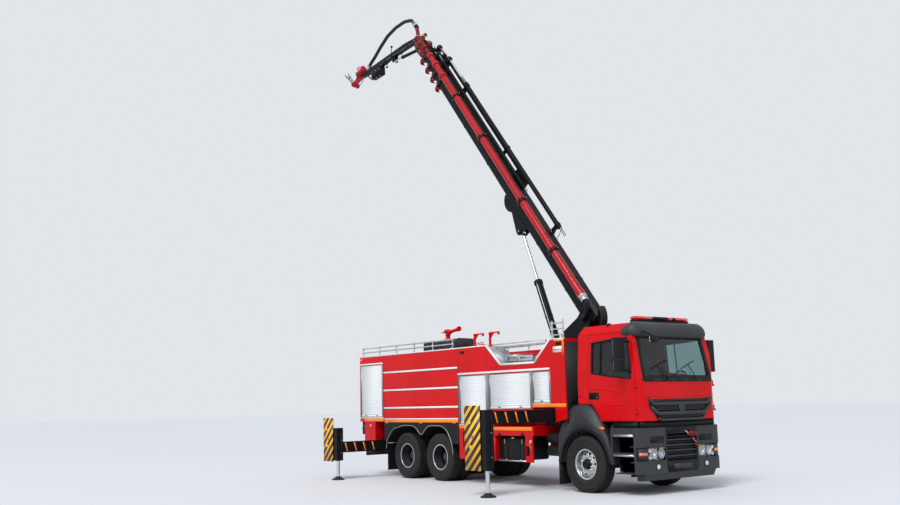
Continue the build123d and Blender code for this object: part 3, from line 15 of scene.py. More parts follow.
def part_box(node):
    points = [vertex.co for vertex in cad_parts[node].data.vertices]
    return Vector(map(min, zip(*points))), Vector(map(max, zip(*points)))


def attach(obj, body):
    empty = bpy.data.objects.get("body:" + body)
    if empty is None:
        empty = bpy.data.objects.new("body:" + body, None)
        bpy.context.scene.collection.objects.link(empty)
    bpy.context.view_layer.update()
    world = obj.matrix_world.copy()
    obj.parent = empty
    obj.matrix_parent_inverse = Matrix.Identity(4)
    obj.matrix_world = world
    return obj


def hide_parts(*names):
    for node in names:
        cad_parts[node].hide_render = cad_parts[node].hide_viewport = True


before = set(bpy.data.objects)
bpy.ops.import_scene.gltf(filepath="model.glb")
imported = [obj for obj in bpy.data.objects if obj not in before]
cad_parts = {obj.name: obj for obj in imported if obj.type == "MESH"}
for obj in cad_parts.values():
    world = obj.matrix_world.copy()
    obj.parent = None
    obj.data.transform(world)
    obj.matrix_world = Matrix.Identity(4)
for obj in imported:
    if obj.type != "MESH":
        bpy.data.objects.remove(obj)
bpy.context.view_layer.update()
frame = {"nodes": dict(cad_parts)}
nodes = frame["nodes"]
wheel_low, wheel_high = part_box("front_wheel_right")
AXLE = (wheel_low[0] + wheel_high[0]) / 2

# %% [markdown]
# The truck is easiest to describe from its front axle, as a workshop does: x grows towards the cab, y to
# the truck's left and z upwards from the ground. The frame has its origin in the middle of the whole
# truck, so every piece is drawn from the axle and moved by AXLE at the end. The boom and the jib have
# their own directions. A matrix for each lets a bracket be drawn as so far along it and so far above it.

# %% The boom's and the jib's own axes
PIVOT = (-0.85, 3.5)
BOOM_TILT = math.radians(52.9)
KNUCKLE = (10.236, 0.093)
JIB_TILT = math.radians(4.0)


def along(origin, tilt):
    """A matrix whose x runs back along an arm, y to the truck's right and z out of the arm's top."""
    c, s = math.cos(tilt), math.sin(tilt)
    return Matrix(((-c, 0, s, origin[0]), (0, -1, 0, 0), (s, 0, c, origin[1]), (0, 0, 0, 1)))


ON_BOOM = along(PIVOT, BOOM_TILT)
knuckle_at = ON_BOOM @ Vector((KNUCKLE[0], 0, KNUCKLE[1]))
ON_JIB = along((knuckle_at.x, knuckle_at.z), -JIB_TILT)
print("the jib's pivot is at", [round(v, 3) for v in knuckle_at])

# %% [markdown]
# ## The camera
# The picture is taken from the truck's front right, from about a grown person's eye height, with the lens
# tipped up to take in the boom. Place, turn and focal length were found by matching points of the wheels,
# the body's corners and the boom head, so the render can be laid beside the picture.

# %% Camera
EYE = Vector((13.806, -14.835, 1.790))
YAW, PITCH, ROLL = (math.radians(v) for v in (52.83, 8.83, -1.36))
LENS = 967.4 / 900 * 36
ahead = Vector((-math.sin(YAW) * math.cos(PITCH), math.cos(YAW) * math.cos(PITCH), math.sin(PITCH)))
right = ahead.cross(Vector((0, 0, 1))).normalized()
up = right.cross(ahead)
tilted_right = right * math.cos(ROLL) + up * math.sin(ROLL)
tilted_up = up * math.cos(ROLL) - right * math.sin(ROLL)
camera = bpy.data.objects.new("camera", bpy.data.cameras.new("camera"))
bpy.context.scene.collection.objects.link(camera)
camera.matrix_world = Matrix.Translation(EYE + Vector((AXLE, 0, 0))) @ Matrix(
    (tilted_right, tilted_up, -ahead)).transposed().to_4x4()
camera.data.sensor_fit = "HORIZONTAL"
camera.data.sensor_width = 36
camera.data.lens = LENS
camera.data.clip_end = 400
bpy.context.scene.camera = camera
print("lens", round(LENS, 2), "mm, camera at", [round(v, 2) for v in camera.location])

# %% [markdown]
# ## Finishes
# Each finish is a small node tree on the Principled shader. Two things make a paint look real at this
# scale: slow changes of tone over a metre or so, as on panels that have weathered, and a fine grain that
# breaks up the reflections. Both come from Noise textures on Object coordinates, so they stay where they
# are when a part moves. What is the same all over, such as a coat, is set on the shader's own socket.

# %% A helper for finishes
def srgb(r, g, b):
    """A colour given as it is seen on a screen, 0 to 255, as the light values that shaders use."""
    return tuple(((v / 255 + 0.055) / 1.055) ** 2.4 if v > 10 else v / 255 / 12.92 for v in (r, g, b)) + (1.0,)


def build(tree, nodes, links):
    """Adds nodes to a tree and links them.

    A node is given as name: type, or name: (type, settings). A setting's key is the name or number of an
    input, or else a property of the node. A link is written as "node.output > node.input".
    """
    for name, kind in nodes.items():
        kind, settings = (kind, {}) if isinstance(kind, str) else kind
        node = tree.nodes.new(kind)
        node.name = name
        for key, value in settings.items():
            if isinstance(key, int) or key in node.inputs:
                node.inputs[key].default_value = value
            else:
                setattr(node, key, value)
    for link in links.split(", "):
        (start, output), (end, socket) = (side.split(".", 1) for side in link.split(" > "))
        socket = int(socket) if socket.isdigit() else socket
        tree.links.new(tree.nodes[start].outputs[output], tree.nodes[end].inputs[socket])


def finish(name, tone, other, rough, metal=0.0, patch=0.8, grain=60.0, bump=0.02, spread=0.06, **more):
    """A finish whose colour wanders between tone and other, with a fine grain in its surface."""
    mat = bpy.data.materials.new(name)
    mat.use_nodes = True
    for socket, value in {"Metallic": metal, **more}.items():
        mat.node_tree.nodes["Principled BSDF"].inputs[socket.replace("_", " ")].default_value = value
    build(mat.node_tree, {
        "place": "ShaderNodeTexCoord",
        "slow": ("ShaderNodeTexNoise", {"Scale": patch, "Detail": 4}),
        "fine": ("ShaderNodeTexNoise", {"Scale": grain, "Detail": 3}),
        "ramp": ("ShaderNodeMapRange", {"From Min": 0.35, "From Max": 0.68}),
        "mix": ("ShaderNodeMix", {"data_type": "RGBA", "A": srgb(*tone), "B": srgb(*other)}),
        "dull": ("ShaderNodeMapRange", {"To Min": max(0.02, rough - spread), "To Max": rough + spread}),
        "relief": ("ShaderNodeBump", {"Strength": bump, "Distance": 0.002}),
    }, "place.Object > slow.Vector, place.Object > fine.Vector, slow.Fac > ramp.Value, ramp.Result > mix.Factor, "
        "mix.Result > Principled BSDF.Base Color, slow.Fac > dull.Value, dull.Result > Principled BSDF.Roughness, "
        "fine.Fac > relief.Height, relief.Normal > Principled BSDF.Normal")
    return mat


# %% The truck's plain finishes
red = finish("fire_red", (208, 10, 18), (192, 6, 14), 0.3, grain=40, bump=0.004,
             Specular_IOR_Level=0.12, Coat_Weight=0.18, Coat_IOR=1.35, Coat_Roughness=0.04)
pipe_red = finish("pipe_red", (176, 10, 20), (152, 8, 16), 0.3, grain=40, bump=0.004,
                  Specular_IOR_Level=0.2, Coat_Weight=0.2, Coat_Roughness=0.06)
dark_red = finish("dark_red", (128, 16, 16), (96, 10, 12), 0.46, grain=60, bump=0.01, Specular_IOR_Level=0.25)
boom_black = finish("boom_black", (19, 21, 25), (13, 15, 18), 0.48, grain=120, bump=0.02,
                    Specular_IOR_Level=0.12, Coat_Weight=0.04, Coat_Roughness=0.3)
frame_black = finish("frame_black", (25, 26, 28), (34, 34, 33), 0.6, grain=150, bump=0.06,
                     Specular_IOR_Level=0.3)
plastic = finish("dark_plastic", (49, 51, 55), (41, 43, 46), 0.5, grain=900, bump=0.08, Specular_IOR_Level=0.35)
black = finish("black_plastic", (18, 19, 21), (25, 26, 28), 0.52, grain=300, bump=0.06,
                       Specular_IOR_Level=0.18)
white = finish("white_paint", (232, 233, 232), (222, 223, 222), 0.3, grain=300, bump=0.02,
               Coat_Weight=0.4, Coat_Roughness=0.08)
slat_white = finish("slat_aluminium", (232, 234, 235), (226, 228, 230), 0.46, patch=1.6,
                    grain=500, bump=0.01, Specular_IOR_Level=0.3)
grey_frame = finish("grey_frame", (150, 153, 157), (132, 135, 139), 0.36, metal=0.6, grain=400)
silver = finish("silver", (206, 208, 211), (184, 186, 189), 0.3, metal=0.9, patch=3, grain=300)
chrome = finish("hard_chrome", (214, 218, 224), (202, 206, 212), 0.2, metal=1.0, grain=30, bump=0.0,
                spread=0.03)
brass = finish("brass", (205, 170, 92), (182, 146, 74), 0.3, metal=1.0, grain=200)
rubber = finish("tyre_rubber", (28, 28, 29), (40, 38, 37), 0.78, patch=5, grain=420, bump=0.12,
                Specular_IOR_Level=0.3)
hose_black = finish("hose_rubber", (18, 18, 20), (25, 25, 27), 0.5, patch=6, grain=300, bump=0.06,
                    Specular_IOR_Level=0.3)
# Dark grey for the rear wheels' barrels, discs and hubs, which lie deep between the twin tyres: painted shade, while
# their outer lips are silver.
wheel_grey_painted_shade = finish("wheel_grey_painted_shade", (66, 67, 70), (50, 50, 52), 0.5, metal=0.3, patch=5, grain=260)
orange = finish("reflective_orange", (250, 138, 18), (240, 122, 10), 0.4, grain=700, bump=0.1)
yellow = finish("reflective_yellow", (250, 190, 30), (240, 176, 20), 0.4, grain=700, bump=0.1)
amber = finish("amber_lens", (240, 110, 12), (225, 96, 8), 0.14, grain=120, bump=0.1, Coat_Weight=0.8)
red_lens = finish("red_lens", (226, 18, 26), (198, 10, 18), 0.12, patch=9, grain=90, bump=0.2, Coat_Weight=1.0)
reflector = finish("lamp_reflector", (244, 247, 250), (222, 228, 236), 0.16, metal=0.55, patch=22, grain=40,
                   bump=0.35, Coat_Weight=1.0)
clear_lens = finish("clear_lens", (214, 222, 228), (190, 200, 208), 0.1, patch=14, grain=60, bump=0.3,
                    Coat_Weight=1.0, metal=0.35)
seat_cloth = finish("seat_cloth", (52, 54, 60), (40, 42, 48), 0.9, grain=1200, bump=0.3)
grey_steel = finish("cast_steel", (96, 98, 101), (78, 79, 82), 0.5, metal=0.5, grain=160, bump=0.15)
cover_black = finish("cover_black", (30, 31, 33), (42, 43, 45), 0.62, patch=2.5, grain=700, bump=0.2)
print("plain finishes:", len(bpy.data.materials))

# %% [markdown]
# Glass has to let the seats show through and still catch the sky. The Principled shader with full
# transmission does that. It is tinted a little, as a truck's glass is.

# %% Glass, mirror and tread plate
glass = finish("cab_glass", (172, 196, 194), (166, 190, 190), 0.03, grain=3, bump=0.0, spread=0.01,
               Transmission_Weight=1.0, IOR=1.12, Coat_Weight=0.6, Coat_Roughness=0.02)
lamp_glass = finish("lamp_glass", (250, 252, 253), (246, 249, 250), 0.02, grain=3, bump=0.0, spread=0.01,
                    Transmission_Weight=1.0, IOR=1.08)
dark_glass = finish("dark_glass", (26, 32, 36), (20, 25, 28), 0.06, grain=3, bump=0.0, spread=0.02,
                    Coat_Weight=1.0, Coat_Roughness=0.02)
mirror_glass = finish("mirror_glass", (196, 204, 210), (190, 198, 204), 0.03, metal=1.0, bump=0.0,
                      spread=0.01)


def tread_plate():
    """Aluminium plate with small raised bars that lie in turns along and across."""
    mat = finish("tread_plate", (182, 185, 188), (160, 163, 166), 0.46, metal=0.55, patch=1.5)
    low, high = (0.1, 0.1, 0.1, 1), (1, 1, 1, 1)
    build(mat.node_tree, {
        "bars": ("ShaderNodeTexBrick", {"Scale": 22, "Mortar Size": 0.03, "Mortar Smooth": 0.6, "Color1": low,
                                        "Color2": low, "Mortar": high}),
        "turn": ("ShaderNodeMapping", {"Rotation": (0, 0, math.radians(45))}),
    }, "place.Object > turn.Vector, turn.Vector > bars.Vector, bars.Color > relief.Height")
    mat.node_tree.nodes["relief"].inputs["Strength"].default_value = 0.5
    return mat


plate = tread_plate()
print("glass and plate ready")

# %% [markdown]
# The outriggers' end plates carry slanting bands, yellow on black, so that nobody walks into them. A band
# is where x minus z, counted in band widths, has a small remainder: subtract, divide, take the fraction
# and compare. On the truck's left the bands lean the other way, so the sign of x changes there.

# %% Slanting warning bands
def warning_bands(name, lean, pitch):
    """Yellow bands on black that lean forwards (lean 1) or backwards (lean -1)."""
    mat = finish(name, (248, 182, 26), (240, 168, 18), 0.45, grain=500, bump=0.05)
    build(mat.node_tree, {
        "split": "ShaderNodeSeparateXYZ",
        "lean": ("ShaderNodeMath", {"operation": "MULTIPLY_ADD", 1: -lean}),
        "count": ("ShaderNodeMath", {"operation": "DIVIDE", 1: pitch}),
        "part": ("ShaderNodeMath", {"operation": "FRACT"}),
        "band": ("ShaderNodeMath", {"operation": "GREATER_THAN", 1: 0.46}),
        "paint": ("ShaderNodeMix", {"data_type": "RGBA", "B": srgb(24, 25, 27)}),
    }, "place.Object > split.Vector, split.X > lean.0, split.Z > lean.2, lean.Value > count.0, "
        "count.Value > part.0, part.Value > band.0, band.Value > paint.Factor, mix.Result > paint.A, "
        "paint.Result > Principled BSDF.Base Color")
    return mat


bands_right = warning_bands("warning_bands_right", 1, 0.205)
bands_left = warning_bands("warning_bands_left", -1, 0.205)
print("warning bands ready")

# %% [markdown]
# ## The workbench
# Most pieces here are sheet metal, bars, tubes and turned parts. `Bench` makes them one form at a time, with
# a small bevel on each, because no real edge is sharp, and it is the bevel that catches the light. Each form
# has its own finish. `keep` turns what lies on the bench into one object and lets it ride on a CAD body.
#
# The truck is much the same on both sides, so forms are given as they lie on its left. Where a bench's side
# is -1, it mirrors them to the right, and a loop over both sides draws each of them twice.

# %% A bench for mesh pieces
def circle(middle, side, other, radius, steps):
    """Points round a middle, from the direction side towards the direction other."""
    return [middle + (side * math.cos(t) + other * math.sin(t)) * radius
            for t in (2 * math.pi * k / steps for k in range(steps))]


class Bench:
    """Forms that are made one by one, in metres from the front axle or along an arm, and kept as one piece."""

    def __init__(self, place=Matrix(), side=1):
        self.work = bmesh.new()
        self.finishes = []
        self.place = place
        self.side = side

    def at(self, point):
        """A point as a vector, on the left as it is given or, where side is -1, mirrored to the right."""
        return Vector((point[0], point[1] * self.side, point[2]))

    def take(self, form, mat):
        """Moves a finished form onto the bench, with its finish."""
        if mat not in self.finishes:
            self.finishes.append(mat)
        spot = self.finishes.index(mat)
        bmesh.ops.recalc_face_normals(form, faces=form.faces[:])
        bmesh.ops.transform(form, matrix=self.place, verts=form.verts[:])
        form.verts.index_update()
        new = [self.work.verts.new(v.co) for v in form.verts]
        for face in form.faces:
            made = self.work.faces.new([new[v.index] for v in face.verts])
            made.material_index = spot
        form.free()

    def soften(self, form, size, steps=2):
        """Rounds a form's sharp edges."""
        sharp = [e for e in form.edges if len(e.link_faces) == 2 and e.calc_face_angle(0) > 0.5]
        if size and sharp:
            bmesh.ops.bevel(form, geom=sharp, offset=size, segments=steps, affect="EDGES", clamp_overlap=True)

    def prism(self, points, low, high, mat, axis="y", soft=0.004, steps=2):
        """An outline drawn out along an axis: (x, z) points for y, (y, z) for x, (x, y) for z."""
        spots = {"y": lambda a, b, d: (a, d, b), "x": lambda a, b, d: (d, a, b), "z": lambda a, b, d: (a, b, d)}
        form = bmesh.new()
        near = [form.verts.new(self.at(spots[axis](a, b, low))) for a, b in points]
        far = [form.verts.new(self.at(spots[axis](a, b, high))) for a, b in points]
        form.faces.new(near)
        form.faces.new(far)
        for i in range(len(points)):
            j = (i + 1) % len(points)
            form.faces.new((near[i], near[j], far[j], far[i]))
        bmesh.ops.recalc_face_normals(form, faces=form.faces[:])
        self.soften(form, soft, steps)
        self.take(form, mat)

    def slab(self, x0, x1, y0, y1, z0, z1, mat, soft=0.004, steps=2):
        """A block between two corners."""
        self.prism([(x0, z0), (x1, z0), (x1, z1), (x0, z1)], y0, y1, mat, soft=soft, steps=steps)

    def slabs(self, mat, *rows):
        """Blocks of one finish, each as (x0, x1, y0, y1, z0, z1, softness)."""
        for row in rows:
            self.slab(*row[:6], mat, row[6])

    def skin(self, rings, mat, closed=False):
        """Faces between neighbouring rings of points. The ends are closed too, or joined where closed is set."""
        form = bmesh.new()
        made = [[form.verts.new(p) for p in ring] for ring in rings]
        steps = max(len(ring) for ring in made)
        for a, b in zip(made, made[1:] + made[:1] if closed else made[1:]):
            for k in range(steps):
                corners = (a[k % len(a)], a[(k + 1) % len(a)], b[(k + 1) % len(b)], b[k % len(b)])
                corners = list(dict.fromkeys(corners))
                if len(corners) > 2:
                    form.faces.new(corners)
        for end in (() if closed else (made[0], made[-1])):
            if len(end) > 1:
                form.faces.new(end)
        self.take(form, mat)

    def turned(self, profile, start, run, mat, steps=32, ring=False):
        """A turned part: (distance, radius) points along the line from start in the direction run."""
        start, run = self.at(start), self.at(run).normalized()
        side = run.orthogonal().normalized()
        self.skin([circle(start + run * d, side, run.cross(side), r, steps) if r > 1e-6 else [start + run * d]
                   for d, r in profile], mat, ring)

    def knob(self, profile, start, run, mat, steps=32):
        """A turned part that is solid, its two ends closed by flat discs."""
        self.turned([(profile[0][0], 0), *profile, (profile[-1][0], 0)], start, run, mat, steps)

    def hoop(self, profile, start, run, mat, steps=32):
        """A turned part with a hole through it; the profile is its section."""
        self.turned(profile, start, run, mat, steps, ring=True)

    def bar(self, start, end, radius, mat, steps=20, soft=0.003):
        """A round bar with softened ends."""
        run = Vector(end) - Vector(start)
        soft = min(soft, radius * 0.4)
        self.turned([(0, 0), (0, radius - soft), (soft, radius), (run.length - soft, radius),
                     (run.length, radius - soft), (run.length, 0)], start, run, mat, steps)

    def pipe(self, points, radius, mat, steps=12, smooth=6, loop=False):
        """A round tube that passes smoothly through its points."""
        line = self.smooth_line([self.at(p) for p in points], smooth, loop)
        count = len(line)
        rings = []
        side = None
        for i, p in enumerate(line):
            ahead_p = line[(i + 1) % count] if loop or i + 1 < count else p
            behind_p = line[i - 1] if loop or i > 0 else p
            run = (ahead_p - behind_p).normalized()
            side = run.orthogonal() if side is None else side - run * side.dot(run)
            side = side.normalized()
            rings.append(circle(p, side, run.cross(side), radius, steps))
        self.skin(rings, mat, loop)

    def smooth_line(self, points, steps, loop=False):
        """Points on a smooth curve through the given ones."""
        if steps < 2 or len(points) < 3:
            return points
        count = len(points)
        line = []
        for i in range(count if loop else count - 1):
            a = points[i - 1] if loop or i else points[0] * 2 - points[1]
            b, c = points[i], points[(i + 1) % count]
            d = points[(i + 2) % count] if loop or i + 2 < count else points[-1] * 2 - points[-2]
            for k in range(steps):
                t = k / steps
                line.append(0.5 * ((2 * b) + (c - a) * t + (2 * a - 5 * b + 4 * c - d) * t * t
                                   + (3 * b - a - 3 * c + d) * t ** 3))
        return line if loop else line + [points[-1]]

    def loft(self, rings, mat, closed=False):
        """A skin over rings of points, given as for the left; closed joins the last ring to the first."""
        self.skin([[self.at(p) for p in ring] for ring in rings], mat, closed)

    def mesh(self, mesh, mat, place=Matrix()):
        """Puts a ready mesh on the bench."""
        form = bmesh.new()
        form.from_mesh(mesh)
        bmesh.ops.transform(form, matrix=place, verts=form.verts[:])
        self.take(form, mat)

    def keep(self, name, body, stands_for=()):
        """One object from all that lies on the bench, riding on a CAD body."""
        for face in self.work.faces:
            face.smooth = True
        for edge in self.work.edges:
            edge.smooth = len(edge.link_faces) == 2 and edge.calc_face_angle(0) < 0.6
        bmesh.ops.translate(self.work, vec=(AXLE, 0, 0), verts=self.work.verts[:])
        data = bpy.data.meshes.new(name)
        self.work.to_mesh(data)
        self.work.free()
        for mat in self.finishes:
            data.materials.append(mat)
        piece = bpy.data.objects.new(name, data)
        bpy.context.scene.collection.objects.link(piece)
        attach(piece, body)
        if stands_for:
            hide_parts(*stands_for)
        print(f"{name}: {sum(len(p.vertices) - 2 for p in data.polygons)} triangles on {body}")
        return piece


SIDES = (("right", -1), ("left", 1))
print("bench ready")

# %% [markdown]
# ## Finishes on the CAD nodes
# Where a solid's shape is already right, it stays and gets its finish. The colours follow the picture: a
# red cab and body, pale shutters, and a boom, jib and outriggers that are close to black.

# %% Give every CAD node its finish
node_finish = {
    "chassis_frame": frame_black, "front_axle": frame_black, "rear_bogie": frame_black,
    "engine_block": grey_steel, "fuel_tanks": black, "front_bumper": plastic, "lamps": clear_lens,
    "fenders_and_steps": plastic, "rear_mudguards": black, "rear_lockers": red, "water_tank": red,
    "front_lockers": red, "shutters": slat_white, "lower_skirts": red, "roof_deck": plate, "roof_rails": silver,
    "ladder_gantry": red, "covered_box": cover_black, "roof_monitor": red, "crane_subframe": boom_black,
    "cab_shell": red, "windscreen": glass, "cab_trim": plastic, "cab_interior": seat_cloth,
    "turret": boom_black, "foot_hoses": hose_black, "boom_outer": boom_black, "water_pipe": pipe_red,
    "section_1": boom_black, "section_2": boom_black, "section_3": boom_black, "jib": boom_black,
    "jib_hose": hose_black, "tip_monitor": red, "lift_barrel": boom_black, "lift_rod": chrome,
    "jib_barrel": boom_black, "jib_rod": chrome,
}
for word, _ in SIDES:
    node_finish["door_" + word] = red
    node_finish["door_glass_" + word] = glass
    node_finish["door_mirror_" + word] = black
    node_finish["knuckle_" + word] = frame_black
    for wheel in ("front_wheel_", "rear_wheel_1_", "rear_wheel_2_"):
        node_finish[wheel + word] = rubber
    for end in ("front_", "rear_"):
        node_finish["beam_" + end + word] = boom_black
        node_finish["jack_" + end + word] = chrome
for name, mat in node_finish.items():
    nodes[name].data.materials.clear()
    nodes[name].data.materials.append(mat)
print("nodes without a finish:", sorted(set(nodes) - set(node_finish)))

# %% [markdown]
# ## Tyre treads
# A truck tyre has rows of rubber blocks. They repeat round the wheel, so Geometry Nodes lays them out: one
# block is copied round a circle, and that ring is copied across the tyre, each row turned half a block
# from the last. The tree's inputs are its sizes, so a wider or coarser tread is one number away.

# %% A Geometry Nodes tree for the tread
def new_tree(name, inputs, nodes, links):
    """A geometry tree with named inputs and one finish on all it makes; returned with its inputs' identifiers."""
    tree = bpy.data.node_groups.new(name, "GeometryNodeTree")
    tree.interface.new_socket("Geometry", in_out="OUTPUT", socket_type="NodeSocketGeometry")
    tree.interface.new_socket("Geometry", in_out="INPUT", socket_type="NodeSocketGeometry")
    keys = {label: tree.interface.new_socket(label, in_out="INPUT", socket_type="NodeSocket" + kind).identifier
            for label, kind in {**inputs, "Finish": "Material"}.items()}
    build(tree, {"given": "NodeGroupInput", "out": "NodeGroupOutput", **nodes, "real": "GeometryNodeRealizeInstances",
                 "coat": "GeometryNodeSetMaterial"}, links + " > real.Geometry, real.Geometry > coat.Geometry, "
          "given.Finish > coat.Material, coat.Geometry > out.Geometry")
    return tree, keys


def grow(made, values):
    """Runs a geometry tree with the given values and returns its result as a plain mesh."""
    host = bpy.data.objects.new("host", bpy.data.meshes.new("host"))
    bpy.context.scene.collection.objects.link(host)
    step = host.modifiers.new("grow", "NODES")
    step.node_group = made[0]
    for label, value in values.items():
        step[made[1][label]] = value
    evaluated = host.evaluated_get(bpy.context.evaluated_depsgraph_get())
    mesh = bpy.data.meshes.new_from_object(evaluated)
    host.modifiers.remove(step)
    bpy.data.objects.remove(host)
    return mesh


tread_tree = new_tree("tread blocks", {
    "Blocks": "Int", "Rows": "Int", "Radius": "Float", "Block": "Vector", "Row Step": "Vector",
    "First Row": "Vector"}, {
    "circle": "GeometryNodeMeshCircle",
    "turn_up": ("GeometryNodeTransform", {"Rotation": (math.pi / 2, 0, 0)}),
    "block": "GeometryNodeMeshCube",
    "place": "GeometryNodeInputPosition",
    "aim": ("FunctionNodeAlignRotationToVector", {"axis": "Z", "pivot_axis": "Y"}),
    "ring": "GeometryNodeInstanceOnPoints",
    "rows": "GeometryNodeMeshLine",
    "number": "GeometryNodeInputIndex",
    "pitch": ("ShaderNodeMath", {"operation": "MULTIPLY", 1: math.pi}),
    "half": ("ShaderNodeMath", {"operation": "DIVIDE"}),
    "turn": "ShaderNodeCombineXYZ",
    "across": "GeometryNodeInstanceOnPoints",
}, "given.Blocks > circle.Vertices, given.Radius > circle.Radius, circle.Mesh > turn_up.Geometry, "
    "given.Block > block.Size, place.Position > aim.Vector, turn_up.Geometry > ring.Points, "
    "block.Mesh > ring.Instance, "
    "aim.Rotation > ring.Rotation, given.Rows > rows.Count, given.First Row > rows.Start Location, "
    "given.Row Step > rows.Offset, number.Index > pitch.0, pitch.Value > half.0, given.Blocks > half.1, "
    "half.Value > turn.Y, rows.Mesh > across.Points, ring.Instances > across.Instance, "
    "turn.Vector > across.Rotation, across.Instances")
TYRE_R, TYRE_W = 0.545, 0.31
tread = grow(tread_tree, {"Blocks": 56, "Rows": 5, "Radius": TYRE_R - 0.01, "Block": (0.047, 0.04, 0.02),
    "Row Step": (0, 0.0505, 0), "First Row": (0, -0.101, 0), "Finish": rubber})
print("tread:", len(tread.polygons), "faces")

# %% [markdown]
# ## Wheels
# A tyre's side is not one curve: it has a shoulder, a bulge, a thin raised ring and a bead that sits on the
# rim. A turned profile gives all of them. The pressed disc has ten round hand holes. Each hole's surround is
# a fan of faces between the hole and the edges of its tenth of the disc, so that the hole is truly round.

# %% Tyre, disc and nuts
TYRE_SIDE = [(0.287, 0.112), (0.2965, 0.129), (0.318, 0.14), (0.352, 0.149), (0.356, 0.152), (0.366, 0.152),
    (0.37, 0.151), (0.42, 0.1545), (0.462, 0.1535), (0.466, 0.1565), (0.478, 0.156), (0.482, 0.15), (0.51, 0.144),
    (0.532, 0.133), (0.54, 0.118), (0.53, 0.112), (0.528, 0.06)]


def lathe(bench, x, y, profile, mat, steps):
    """A closed section, as (across, radius) points, carried round a wheel's axle."""
    bench.skin([[Vector((x + r * math.cos(t), y + d, TYRE_R + r * math.sin(t))) for d, r in profile]
                for t in (2 * math.pi * k / steps for k in range(steps))], mat, closed=True)


def add_tyre(bench, x, y, spin=0.0):
    """A tyre with its tread, centred on y."""
    profile = [(-w, r) for r, w in TYRE_SIDE] + [(w, r) for r, w in reversed(TYRE_SIDE)]
    lathe(bench, x, y, profile + [(0.1, 0.287), (-0.1, 0.287)], rubber, 72)
    bench.mesh(tread, rubber, Matrix.Translation((x, y, TYRE_R)) @ Matrix.Rotation(spin, 4, "Y"))


def add_disc(bench, x, y, side, depth, hole_circle, hole, mat, inner=0.1, outer=0.27, thick=0.01):
    """A pressed wheel disc with ten round holes; depth(r) is how far out it lies at radius r."""
    form = bmesh.new()
    cuts, rows = 6, 3

    def spot(px, pz):
        return form.verts.new((x + px, y + side * depth(math.hypot(px, pz)), TYRE_R + pz))
    for i in range(10):
        mid = 2 * math.pi * i / 10
        half = math.pi / 10
        edge = []
        for k in range(cuts):
            edge.append((inner + (outer - inner) * k / cuts, mid - half))
        for k in range(cuts):
            edge.append((outer, mid - half + 2 * half * k / cuts))
        for k in range(cuts):
            edge.append((outer - (outer - inner) * k / cuts, mid + half))
        for k in range(cuts):
            edge.append((inner, mid + half - 2 * half * k / cuts))
        hx, hz = hole_circle * math.cos(mid), hole_circle * math.sin(mid)
        lines = []
        for r, t in edge:
            ex, ez = r * math.cos(t), r * math.sin(t)
            way = math.atan2(ez - hz, ex - hx)
            cx, cz = hx + hole * math.cos(way), hz + hole * math.sin(way)
            lines.append([spot(cx + (ex - cx) * v / rows, cz + (ez - cz) * v / rows) for v in range(rows + 1)])
        for k in range(len(lines)):
            a, b = lines[k], lines[(k + 1) % len(lines)]
            for v in range(rows):
                form.faces.new((a[v], b[v], b[v + 1], a[v + 1]))
    bmesh.ops.remove_doubles(form, verts=form.verts[:], dist=0.0002)
    bmesh.ops.recalc_face_normals(form, faces=form.faces[:])
    bmesh.ops.solidify(form, geom=form.faces[:], thickness=thick)
    bench.take(form, mat)


def add_nuts(bench, x, y, side, circle, mat, size=0.017, length=0.032):
    """Ten wheel nuts with their studs."""
    for i in range(10):
        t = 2 * math.pi * (i + 0.5) / 10
        cx, cz = x + circle * math.cos(t), TYRE_R + circle * math.sin(t)
        bench.knob([(0, size + 0.003), (0.004, size + 0.003), (0.005, size), (length - 0.004, size),
            (length, size - 0.004)], (cx, y, cz), (0, side, 0), mat, steps=6)
        bench.turned([(0, 0), (0, 0.008), (0.014, 0.008), (0.016, 0)], (cx, y + side * length, cz), (0, side, 0), mat,
            steps=8)


def add_barrel(bench, x, y, mat, width=0.115):
    """The rim's barrel with its rolled lip on both sides."""
    profile = [(-width, 0.262), (-width - 0.008, 0.268), (-width - 0.012, 0.296), (-width - 0.004, 0.304),
        (-width + 0.004, 0.292), (-width + 0.008, 0.286), (-width * 0.3, 0.285), (width * 0.3, 0.285),
        (width - 0.008, 0.286), (width - 0.004, 0.292), (width + 0.004, 0.304), (width + 0.012, 0.296),
        (width + 0.008, 0.268), (width, 0.262), (width - 0.02, 0.268), (-width + 0.02, 0.268)]
    lathe(bench, x, y, profile, mat, 60)


print("wheel helpers ready")

# %% Front wheels
def front_depth(r):
    """A front disc bulges outwards round its hub and falls back to the rim."""
    if r < 0.17:
        return 0.085
    return 0.085 - 0.055 * ((r - 0.17) / 0.1) ** 1.6


for word, side in SIDES:
    y = side * (1.2 - TYRE_W / 2)
    bench = Bench()
    add_tyre(bench, 0, y, 0.03)
    add_barrel(bench, 0, y, silver)
    add_disc(bench, 0, y, side, front_depth, 0.212, 0.029, silver, inner=0.09)
    add_nuts(bench, 0, y + side * 0.085, side, 0.1675 - 0.03, silver)
    bench.turned([(0, 0.1), (0.012, 0.112), (0.03, 0.11), (0.045, 0.092), (0.085, 0.088), (0.098, 0.076), (0.1, 0.05),
        (0.1, 0)], (0, y + side * 0.045, TYRE_R), (0, side, 0), black, 40)
    bench.knob([(0, 0.125), (0.1, 0.13)], (0, y - side * 0.06, TYRE_R), (0, side, 0), frame_black, 40)
    bench.keep("dressed_front_wheel_" + word, "front_wheel_" + word, ["front_wheel_" + word])

# %% Rear twin wheels
REAR_AXLES = (-4.75, -6.1)


def rear_depth(r):
    """A rear disc lies deep between the twin tyres and rises a little round its hub."""
    return -0.135 - 0.02 * min(1.0, max(0.0, (r - 0.16) / 0.1)) ** 2


